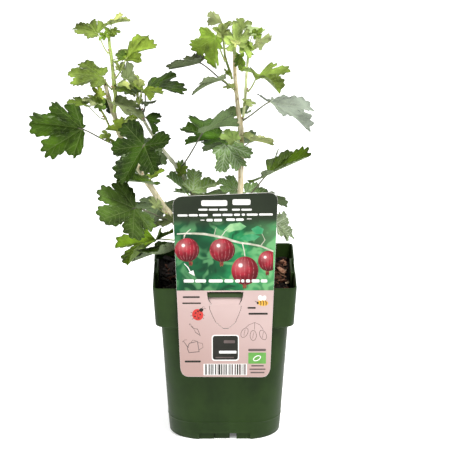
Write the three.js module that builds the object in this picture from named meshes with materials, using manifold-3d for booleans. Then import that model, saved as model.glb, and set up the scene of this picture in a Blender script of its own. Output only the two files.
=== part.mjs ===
// Young gooseberry bush in a square nursery pot. Millimetres, +Z up, +X to the plant's right, +Y to its back.
// The pot stands on z = 0 with its foot centred on the origin.
import * as THREE from "three";
import { mergeVertices } from "three/addons/utils/BufferGeometryUtils.js";
import Module from "manifold-3d";

const wasm = await Module();
wasm.setup();

// ---------- driving dimensions ----------
const GAP = 0.3; // clearance between parts that touch
const POT_H = 152; // rim height
const RIM_HALF = 65; // half the width over the rim
const COLLAR_FOOT_HALF = 62.7; // half the width at the collar's lower edge
const COLLAR_Z = 115; // lower edge of the collar
const SHOULDER_Z = 111; // where the body meets the collar's step
const BODY_HALF = 57.5; // half the width of the body at the shoulder
const FOOT_HALF = 51; // half the width at the foot
const RIM_CORNER = 6;
const SHOULDER_CORNER = 12;
const FOOT_CORNER = 33;
const WALL = 1.6;
const FLOOR_Z = 6.4; // underside of the raised floor
const FLOOR_T = 1.6;
const NOTCH_HALF = 23.5; // half the width of the notch in each side's foot
const NOTCH_H = 7;
const FOOT_PADS = [[-24, 4.6], [10.8, 21.6]]; // x ranges of the pads under the floor
const PAD_HALF_Y = 43;
const DRAIN_R = 4;
const SOIL_Z = 139; // top of the soil
const STRAP_HALF = 18.7; // half the length of each strap loop
const STRAP_Z = [143.5, 147.8];
const POCKET_Z = [137, 134.5]; // ledge of the pocket behind the strap, and its underside
const POCKET_BACK = 62.1; // outer face of the pocket's back wall
const LABEL_T = 0.5;
const LABEL_Y = -66.55; // middle of the card
const LABEL = { top: 241.2, bottom: 68.2, halfTop: 46.6, halfBottom: 41.3, cx: 0.45, rise: 2.0, corner: 9 };
const TONGUE = [[149.6, -15.6, 16.2], [146, -15.4, 16], [141.5, -14.4, 14.9], [137.4, -11.5, 12.6], [136.2, -13.6, 14.6], [133, -13.4, 14.2], [127, -11, 12], [120.5, -8, 9.4], [115, -1.6, 3.4]];
const LEAF_T = 0.8; // thickness of a blade
const STALK_R = 0.75;

// ---------- small helpers ----------
function solidOf(geometry) {
  const g = geometry.clone();
  g.deleteAttribute("normal");
  g.deleteAttribute("uv");
  const m = mergeVertices(g, 1e-4);
  return new wasm.Manifold(
    new wasm.Mesh({
      numProp: 3,
      vertProperties: new Float32Array(m.attributes.position.array),
      triVerts: new Uint32Array(m.index.array),
    }),
  );
}
function geometryOf(solid) {
  const mesh = solid.getMesh();
  const n = mesh.numProp;
  const v = new Float32Array(mesh.numVert * 3);
  for (let i = 0; i < mesh.numVert; i++)
    v.set(mesh.vertProperties.subarray(i * n, i * n + 3), i * 3);
  const g = new THREE.BufferGeometry();
  g.setAttribute("position", new THREE.BufferAttribute(v, 3));
  g.setIndex(new THREE.BufferAttribute(new Uint32Array(mesh.triVerts), 1));
  g.computeVertexNormals();
  return g;
}
function geometryFrom(vertices, faces) {
  const g = new THREE.BufferGeometry();
  g.setAttribute("position", new THREE.BufferAttribute(new Float32Array(vertices.flat()), 3));
  g.setIndex(faces.flat());
  return g;
}
function box(x0, x1, y0, y1, z0, z1) {
  const g = new THREE.BoxGeometry(x1 - x0, y1 - y0, z1 - z0);
  g.translate((x0 + x1) / 2, (y0 + y1) / 2, (z0 + z1) / 2);
  return solidOf(g);
}
// A box given for the front side, turned to side k of four.
function sideBox(k, x0, x1, y0, y1, z0, z1) {
  return box(x0, x1, y0, y1, z0, z1).rotate([0, 0, 90 * k]);
}
function squareRing(half, corner, z, steps = 5) {
  const ring = [];
  for (let q = 0; q < 4; q++) {
    const cx = (half - corner) * (q === 0 || q === 3 ? 1 : -1);
    const cy = (half - corner) * (q < 2 ? 1 : -1);
    for (let i = 0; i <= steps; i++) {
      const a = (Math.PI / 2) * (q + i / steps);
      ring.push([cx + corner * Math.cos(a), cy + corner * Math.sin(a), z]);
    }
  }
  return ring;
}
// Closed body through rings that all have the same number of points.
function loft(rings) {
  const n = rings[0].length;
  const vertices = rings.flat();
  const faces = [];
  for (let r = 0; r + 1 < rings.length; r++)
    for (let i = 0; i < n; i++) {
      const a = r * n + i, b = r * n + ((i + 1) % n);
      faces.push([a, b, b + n], [a, b + n, a + n]);
    }
  const centre = (ring) => ring.reduce((s, p) => s.map((v, i) => v + p[i] / n), [0, 0, 0]);
  const low = vertices.length, high = low + 1;
  vertices.push(centre(rings[0]), centre(rings[rings.length - 1]));
  const last = (rings.length - 1) * n;
  for (let i = 0; i < n; i++) {
    faces.push([low, (i + 1) % n, i], [high, last + i, last + ((i + 1) % n)]);
  }
  return geometryFrom(vertices, faces);
}

// ---------- pot ----------
function mix(a, b, t) { return a + (b - a) * t; }
function bodyHalf(z) { return mix(FOOT_HALF, BODY_HALF, z / SHOULDER_Z); }
function bodyCorner(z) { return mix(FOOT_CORNER, SHOULDER_CORNER, Math.pow(z / SHOULDER_Z, 0.8)); }
function collarHalf(z) { return mix(COLLAR_FOOT_HALF, RIM_HALF, (z - COLLAR_Z) / (POT_H - COLLAR_Z)); }
function shell(inset, zBottom, zTop) {
  const rings = [];
  for (const z of [zBottom, 17.5, 48, 80, SHOULDER_Z])
    rings.push(squareRing(bodyHalf(Math.max(z, 0)) - inset, Math.max(bodyCorner(Math.max(z, 0)) - inset, 2), z));
  rings.push(squareRing(COLLAR_FOOT_HALF - inset, 7.5 - Math.min(inset, 3), COLLAR_Z));
  rings.push(squareRing(collarHalf(zTop) - inset, RIM_CORNER - Math.min(inset, 3), zTop));
  return solidOf(loft(rings));
}
function drainHoles() {
  const holes = [];
  for (const sx of [-1, 1]) for (const sy of [-1, 1]) {
    const g = new THREE.CylinderGeometry(DRAIN_R, DRAIN_R, 12, 14);
    g.rotateX(Math.PI / 2);
    g.translate(sx * 33, sy * 31, 8);
    holes.push(solidOf(g));
  }
  return holes;
}
function makePot() {
  let pot = shell(0, 0, POT_H);
  pot = pot.subtract(shell(WALL, FLOOR_Z + FLOOR_T, POT_H + 4));
  // the foot below the floor is only a skirt with pads inside
  const under = solidOf(loft([0, FLOOR_Z].map((z, i) => squareRing(bodyHalf(z) - WALL, bodyCorner(z) - WALL, i ? z : -2))));
  let pads = null;
  for (const [x0, x1] of FOOT_PADS) {
    const p = box(x0, x1, -PAD_HALF_Y, PAD_HALF_Y, -3, FLOOR_Z + 1);
    pads = pads ? pads.add(p) : p;
  }
  pot = pot.subtract(under.subtract(pads));
  for (const [x0, x1] of FOOT_PADS)
    pot = pot.subtract(box(x0 + WALL, x1 - WALL, -PAD_HALF_Y + WALL, PAD_HALF_Y - WALL, WALL, FLOOR_Z + FLOOR_T + 1));
  for (let k = 0; k < 4; k++)
    pot = pot.subtract(sideBox(k, -NOTCH_HALF, NOTCH_HALF, -FOOT_HALF - 6, -FOOT_HALF + WALL + 3.2, -1, FLOOR_Z));
  for (const h of drainHoles()) pot = pot.subtract(h);
  for (let k = 0; k < 4; k++) {
    pot = pot.add(sideBox(k, -STRAP_HALF - 1.8, STRAP_HALF + 1.8, -63.6, -60.6, POCKET_Z[1], POT_H));
    pot = pot.subtract(sideBox(k, -STRAP_HALF, STRAP_HALF, -70, -POCKET_BACK, POCKET_Z[0], POT_H + 8));
    pot = pot.add(sideBox(k, -STRAP_HALF - 0.5, STRAP_HALF + 0.5, -64.9, -63.6, STRAP_Z[0], STRAP_Z[1]));
  }
  return pot;
}

// ---------- soil ----------
function bump(x, y) {
  return 1.5 * Math.sin(x * 0.11 + 0.8) * Math.cos(y * 0.13 - 0.4) + 1.1 * Math.sin(x * 0.23 - y * 0.19) - 0.5;
}
function makeSoil() {
  const inset = WALL + GAP;
  const rings = [];
  for (const z of [FLOOR_Z + FLOOR_T + GAP, 17.5, 48, 80, SHOULDER_Z])
    rings.push(squareRing(bodyHalf(z) - inset, Math.max(bodyCorner(z) - inset, 2), z));
  rings.push(squareRing(COLLAR_FOOT_HALF - inset, 7.5 - inset, COLLAR_Z));
  const top = squareRing(collarHalf(SOIL_Z - 1.2) - inset, mix(7.5, RIM_CORNER, (SOIL_Z - COLLAR_Z) / (POT_H - COLLAR_Z)) - inset + 0.1, SOIL_Z);
  rings.push(top.map(([x, y]) => [x, y, SOIL_Z - 1.2]));
  for (const s of [0.84, 0.62, 0.4, 0.2])
    rings.push(top.map(([x, y]) => [x * s, y * s, SOIL_Z + bump(x * s, y * s)]));
  let soil = solidOf(loft(rings));
  for (const [x0, x1] of FOOT_PADS)
    soil = soil.add(box(x0 + WALL + GAP, x1 - WALL - GAP, -PAD_HALF_Y + WALL + GAP, PAD_HALF_Y - WALL - GAP, WALL + GAP, FLOOR_Z + FLOOR_T + 3));
  for (let k = 0; k < 4; k++)
    soil = soil.subtract(sideBox(k, -STRAP_HALF - 1.8 - GAP, STRAP_HALF + 1.8 + GAP, -70, -60.6 + GAP, POCKET_Z[1] - GAP, POT_H));
  return soil;
}

// ---------- label ----------
function labelOutline() {
  const { top, bottom, halfTop, halfBottom, cx, rise, corner } = LABEL;
  const s = new THREE.Shape();
  const tl = [cx - halfTop, top - rise], tr = [cx + halfTop, top + rise];
  const bl = [cx - halfBottom, bottom], br = [cx + halfBottom, bottom - 0.6];
  const c = corner;
  s.moveTo(bl[0] + c * 0.9, bl[1]);
  s.lineTo(br[0] - c * 0.9, br[1]);
  s.quadraticCurveTo(br[0], br[1], br[0] + 0.1, br[1] + c * 1.3);
  s.lineTo(tr[0], tr[1] - c);
  s.quadraticCurveTo(tr[0], tr[1], tr[0] - c, tr[1] - 0.4);
  s.lineTo(tl[0] + c, tl[1] + 0.4);
  s.quadraticCurveTo(tl[0], tl[1], tl[0], tl[1] - c);
  s.lineTo(bl[0] - 0.1, bl[1] + c * 1.3);
  s.quadraticCurveTo(bl[0], bl[1], bl[0] + c * 0.9, bl[1]);
  return s;
}
// Turns a flat geometry in x, y into one standing in x, z, with its thickness along y.
function stand(geometry, yFront) {
  geometry.rotateX(Math.PI / 2);
  geometry.translate(0, yFront + LABEL_T, 0);
  return geometry;
}
function tongueY(z) {
  const path = [[150.5, LABEL_Y], [149.6, LABEL_Y], [148.4, -62.9], [143, -62.9], [140.8, -64.0], [138.4, -66.0], [137, LABEL_Y], [0, LABEL_Y]];
  for (let i = 0; i + 1 < path.length; i++)
    if (z <= path[i][0] && z >= path[i + 1][0])
      return mix(path[i][1], path[i + 1][1], (path[i][0] - z) / (path[i][0] - path[i + 1][0]));
  return LABEL_Y;
}
function tongueWidth(z) {
  for (let i = 0; i + 1 < TONGUE.length; i++)
    if (z <= TONGUE[i][0] && z >= TONGUE[i + 1][0]) {
      const t = (TONGUE[i][0] - z) / (TONGUE[i][0] - TONGUE[i + 1][0]);
      return [mix(TONGUE[i][1], TONGUE[i + 1][1], t), mix(TONGUE[i][2], TONGUE[i + 1][2], t)];
    }
  return [TONGUE[0][1], TONGUE[0][2]];
}
function makeLabel() {
  const card = solidOf(stand(new THREE.ExtrudeGeometry(labelOutline(), { depth: LABEL_T, bevelEnabled: false, curveSegments: 5 }), LABEL_Y - LABEL_T / 2));
  const hole = new THREE.Shape();
  const e = 0.4;
  hole.moveTo(TONGUE[0][1] - e, TONGUE[0][0]);
  for (const [z, l] of TONGUE.slice(1)) hole.lineTo(l - e, z);
  const tip = TONGUE[TONGUE.length - 1];
  hole.lineTo(tip[1], tip[0] - 0.6);
  hole.lineTo(tip[2], tip[0] - 0.6);
  for (const [z, , r] of TONGUE.slice(1).reverse()) hole.lineTo(r + e, z);
  hole.lineTo(TONGUE[0][2] + e, TONGUE[0][0]);
  const holeGeometry = new THREE.ExtrudeGeometry(hole, { depth: 6, bevelEnabled: false });
  holeGeometry.rotateX(Math.PI / 2);
  holeGeometry.translate(0, LABEL_Y + 3, 0);
  let label = card.subtract(solidOf(holeGeometry));
  const rows = [150.2, 149.6, 148.4, 146, 143, 141.5, 140.8, 138.4, 137.4, 137, 136.2, 133, 127, 120.5, 115];
  const rings = rows.map((z) => {
    const [l, r] = tongueWidth(z), y = tongueY(z), h = LABEL_T / 2;
    return [[l, y - h, z], [r, y - h, z], [r, y + h, z], [l, y + h, z]];
  });
  label = label.add(solidOf(loft(rings.reverse())));
  return label;
}

// ---------- stems ----------
// Each row: x, y, z, radius.
const STEMS = {
  cane_left: [[-1.0, -7.0, 124.0, 3.2], [-1.37, -6.95, 128.48, 3.19], [-1.71, -6.92, 132.96, 3.17], [-2.3, -6.73, 137.48, 3.16], [-3.18, -6.1, 141.99, 3.14], [-4.08, -4.96, 146.42, 3.13], [-5.74, -4.07, 151.12, 3.11], [-8.93, -4.2, 156.46, 3.09], [-13.85, -5.55, 162.38, 3.06], [-19.78, -7.41, 168.78, 3.03], [-25.93, -9.0, 175.68, 3.0], [-32.55, -10.08, 183.54, 2.97], [-39.6, -10.97, 192.04, 2.94], [-45.92, -11.75, 199.9, 2.91], [-50.55, -12.5, 206.12, 2.88], [-53.85, -13.19, 211.11, 2.85], [-56.57, -13.74, 215.56, 2.82], [-59.39, -14.09, 220.09, 2.79], [-62.05, -14.24, 224.4, 2.76], [-64.62, -14.21, 228.64, 2.73], [-67.37, -14.0, 233.22, 2.7], [-70.52, -13.55, 238.47, 2.66], [-73.85, -12.9, 244.09, 2.61], [-77.09, -12.21, 249.51, 2.57], [-80.04, -11.6, 254.35, 2.52], [-82.83, -11.0, 258.83, 2.47], [-85.43, -10.4, 263.03, 2.43], [-87.78, -9.8, 266.94, 2.38], [-89.84, -9.2, 270.25, 2.34], [-91.69, -8.6, 273.46, 2.29], [-93.45, -8.0, 277.35, 2.25], [-95.11, -7.37, 282.46, 2.21], [-96.65, -6.73, 288.27, 2.16], [-98.12, -6.16, 293.87, 2.12], [-99.56, -5.72, 298.61, 2.06], [-100.98, -5.38, 302.85, 2.0], [-102.28, -5.12, 306.77, 1.94], [-103.38, -4.96, 310.51, 1.88], [-104.24, -4.93, 314.01, 1.83], [-104.97, -4.97, 317.29, 1.79], [-105.68, -5.0, 320.46, 1.75], [-106.39, -5.0, 323.5, 1.73], [-107.07, -5.0, 326.39, 1.72], [-107.74, -5.0, 329.25, 1.7], [-107.96, -5.0, 330.22, 1.7]],
  shoot_left: [[-98.99, -11.0, 301.62, 1.55], [-98.47, -11.36, 305.56, 1.62], [-97.92, -11.74, 309.48, 1.69], [-97.57, -11.98, 313.52, 1.74], [-97.62, -11.94, 317.75, 1.75], [-98.02, -11.69, 322.07, 1.72], [-98.56, -11.3, 326.62, 1.68], [-99.05, -10.84, 331.59, 1.64], [-99.55, -10.22, 337.2, 1.59], [-100.07, -9.56, 343.0, 1.55], [-100.6, -9.0, 348.37, 1.5], [-101.16, -8.63, 353.16, 1.46], [-101.75, -8.35, 357.58, 1.42], [-102.26, -8.1, 361.61, 1.37], [-102.62, -7.8, 365.11, 1.31], [-102.86, -7.5, 368.06, 1.23], [-103.05, -7.2, 370.8, 1.15], [-103.19, -7.0, 372.7, 1.1]],
  cane_middle: [[2.5, 10.5, 124.0, 2.5], [2.11, 10.58, 128.59, 2.49], [1.73, 10.68, 133.21, 2.48], [1.33, 10.66, 137.62, 2.46], [1.15, 10.3, 141.23, 2.43], [1.39, 9.56, 143.76, 2.38], [0.98, 8.99, 147.22, 2.33], [-1.21, 9.19, 153.74, 2.28], [-5.55, 10.34, 163.96, 2.22], [-10.87, 11.84, 175.76, 2.16], [-15.83, 13.0, 186.75, 2.1], [-20.03, 13.52, 196.31, 2.04], [-24.0, 13.74, 205.33, 1.98], [-27.82, 13.91, 213.67, 1.92], [-31.42, 14.2, 221.15, 1.87], [-34.72, 14.5, 227.72, 1.82], [-38.1, 14.8, 233.86, 1.78], [-41.98, 15.1, 240.04, 1.74], [-46.53, 15.4, 246.18, 1.69], [-51.27, 15.7, 252.16, 1.65], [-55.67, 16.0, 257.93, 1.6], [-59.65, 16.33, 263.6, 1.54], [-63.38, 16.67, 269.1, 1.48], [-66.64, 16.94, 274.17, 1.42], [-69.24, 17.08, 278.52, 1.37], [-71.22, 17.12, 282.15, 1.34], [-72.84, 17.08, 285.59, 1.32], [-74.34, 16.94, 289.36, 1.29], [-75.69, 16.67, 293.49, 1.26], [-76.81, 16.33, 297.66, 1.24], [-77.69, 16.0, 301.54, 1.2], [-78.23, 15.7, 304.94, 1.15], [-78.5, 15.4, 308.05, 1.08], [-78.73, 15.1, 311.11, 1.02], [-78.83, 15.0, 312.16, 1.0]],
  cane_right: [[8.6, -0.5, 124.0, 3.05], [8.46, -0.44, 128.49, 3.04], [8.33, -0.39, 132.99, 3.02], [8.11, -0.32, 137.49, 3.01], [7.61, -0.27, 141.73, 2.98], [6.76, -0.26, 145.44, 2.96], [6.14, -0.17, 149.97, 2.92], [6.36, 0.13, 156.75, 2.89], [7.57, 0.68, 166.11, 2.84], [9.22, 1.35, 176.79, 2.8], [10.75, 2.0, 187.37, 2.75], [12.08, 2.63, 197.85, 2.71], [13.37, 3.27, 208.5, 2.66], [14.41, 3.84, 218.36, 2.61], [14.99, 4.28, 226.66, 2.57], [15.17, 4.62, 233.71, 2.52], [15.17, 4.88, 240.07, 2.48], [15.22, 5.04, 246.24, 2.44], [15.26, 5.07, 252.01, 2.41], [15.27, 5.03, 257.46, 2.38], [15.25, 5.0, 262.91, 2.35], [15.24, 5.03, 268.47, 2.32], [15.22, 5.07, 274.0, 2.3], [15.05, 5.04, 279.4, 2.26], [14.64, 4.86, 284.45, 2.22], [14.01, 4.56, 289.06, 2.16], [13.29, 4.22, 293.91, 2.09], [12.6, 3.9, 299.73, 2.03], [11.86, 3.6, 306.91, 1.95], [11.13, 3.3, 314.44, 1.87], [10.53, 3.0, 321.11, 1.8], [10.14, 2.7, 326.25, 1.75], [9.88, 2.4, 330.57, 1.71], [9.67, 2.1, 334.88, 1.66], [9.47, 1.78, 339.94, 1.62], [9.3, 1.44, 345.55, 1.58], [9.18, 1.14, 350.88, 1.54], [9.12, 0.96, 355.12, 1.48], [9.15, 0.93, 358.15, 1.39], [9.23, 0.97, 360.59, 1.29], [9.3, 1.0, 363.1, 1.2]],
  shoot_right: [[17.22, 0.0, 293.58, 1.15], [17.44, -0.63, 296.58, 1.2], [17.66, -1.27, 299.6, 1.25], [17.9, -1.84, 302.55, 1.29], [18.16, -2.28, 305.26, 1.3], [18.46, -2.62, 307.63, 1.29], [18.76, -2.88, 310.3, 1.26], [19.02, -3.04, 313.93, 1.25], [19.27, -3.07, 318.9, 1.23], [19.5, -3.03, 324.28, 1.21], [19.71, -3.0, 328.94, 1.2], [19.89, -3.0, 332.3, 1.19], [20.05, -3.0, 334.98, 1.17], [20.24, -3.0, 337.72, 1.16], [20.51, -3.0, 341.1, 1.13], [20.84, -3.0, 344.84, 1.11], [21.2, -3.0, 348.68, 1.08], [21.59, -3.0, 352.39, 1.03], [22.0, -3.0, 356.0, 0.98], [22.43, -3.0, 359.58, 0.91], [22.86, -3.0, 363.16, 0.85]],
  shoot_centre: [[6.95, -2.5, 329.77, 1.05], [6.52, -2.97, 331.67, 1.08], [6.09, -3.44, 333.57, 1.12], [5.6, -3.87, 335.53, 1.15], [4.98, -4.23, 337.59, 1.15], [4.23, -4.53, 339.73, 1.14], [3.46, -4.81, 341.93, 1.12], [2.75, -5.1, 344.15, 1.09], [2.04, -5.45, 346.33, 1.06], [1.38, -5.77, 348.58, 1.03], [0.82, -6.0, 351.07, 1.0], [0.41, -6.07, 354.02, 0.97], [0.11, -6.05, 357.23, 0.95], [-0.16, -6.0, 360.3, 0.91], [-0.44, -6.0, 362.86, 0.87], [-0.71, -6.0, 365.06, 0.81], [-0.97, -6.0, 367.14, 0.74], [-1.14, -6.0, 368.57, 0.7]],
  side_shoot_left: [[-103.87, -12.5, 289.45, 0.9], [-104.98, -13.27, 292.38, 0.94], [-106.08, -14.04, 295.32, 0.97], [-107.21, -14.77, 298.14, 1.0], [-108.44, -15.45, 300.72, 0.99], [-109.76, -16.09, 303.11, 0.97], [-111.05, -16.67, 305.38, 0.93], [-112.16, -17.14, 307.59, 0.88], [-113.07, -17.47, 309.71, 0.83], [-113.89, -17.73, 311.76, 0.76], [-114.72, -18.0, 313.83, 0.7]],
};
function tube(rows, sides) {
  const points = rows.map((r) => new THREE.Vector3(r[0], r[1], r[2]));
  let side = new THREE.Vector3(1, 0, 0);
  const rings = points.map((p, i) => {
    const t = points[Math.min(i + 1, points.length - 1)].clone().sub(points[Math.max(i - 1, 0)]).normalize();
    side = side.clone().sub(t.clone().multiplyScalar(side.dot(t))).normalize();
    const other = t.clone().cross(side);
    const ring = [];
    for (let k = 0; k < sides; k++) {
      const a = (2 * Math.PI * k) / sides;
      const q = p.clone().addScaledVector(side, rows[i][3] * Math.cos(a)).addScaledVector(other, rows[i][3] * Math.sin(a));
      ring.push([q.x, q.y, q.z]);
    }
    return ring;
  });
  return loft(rings);
}

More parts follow.
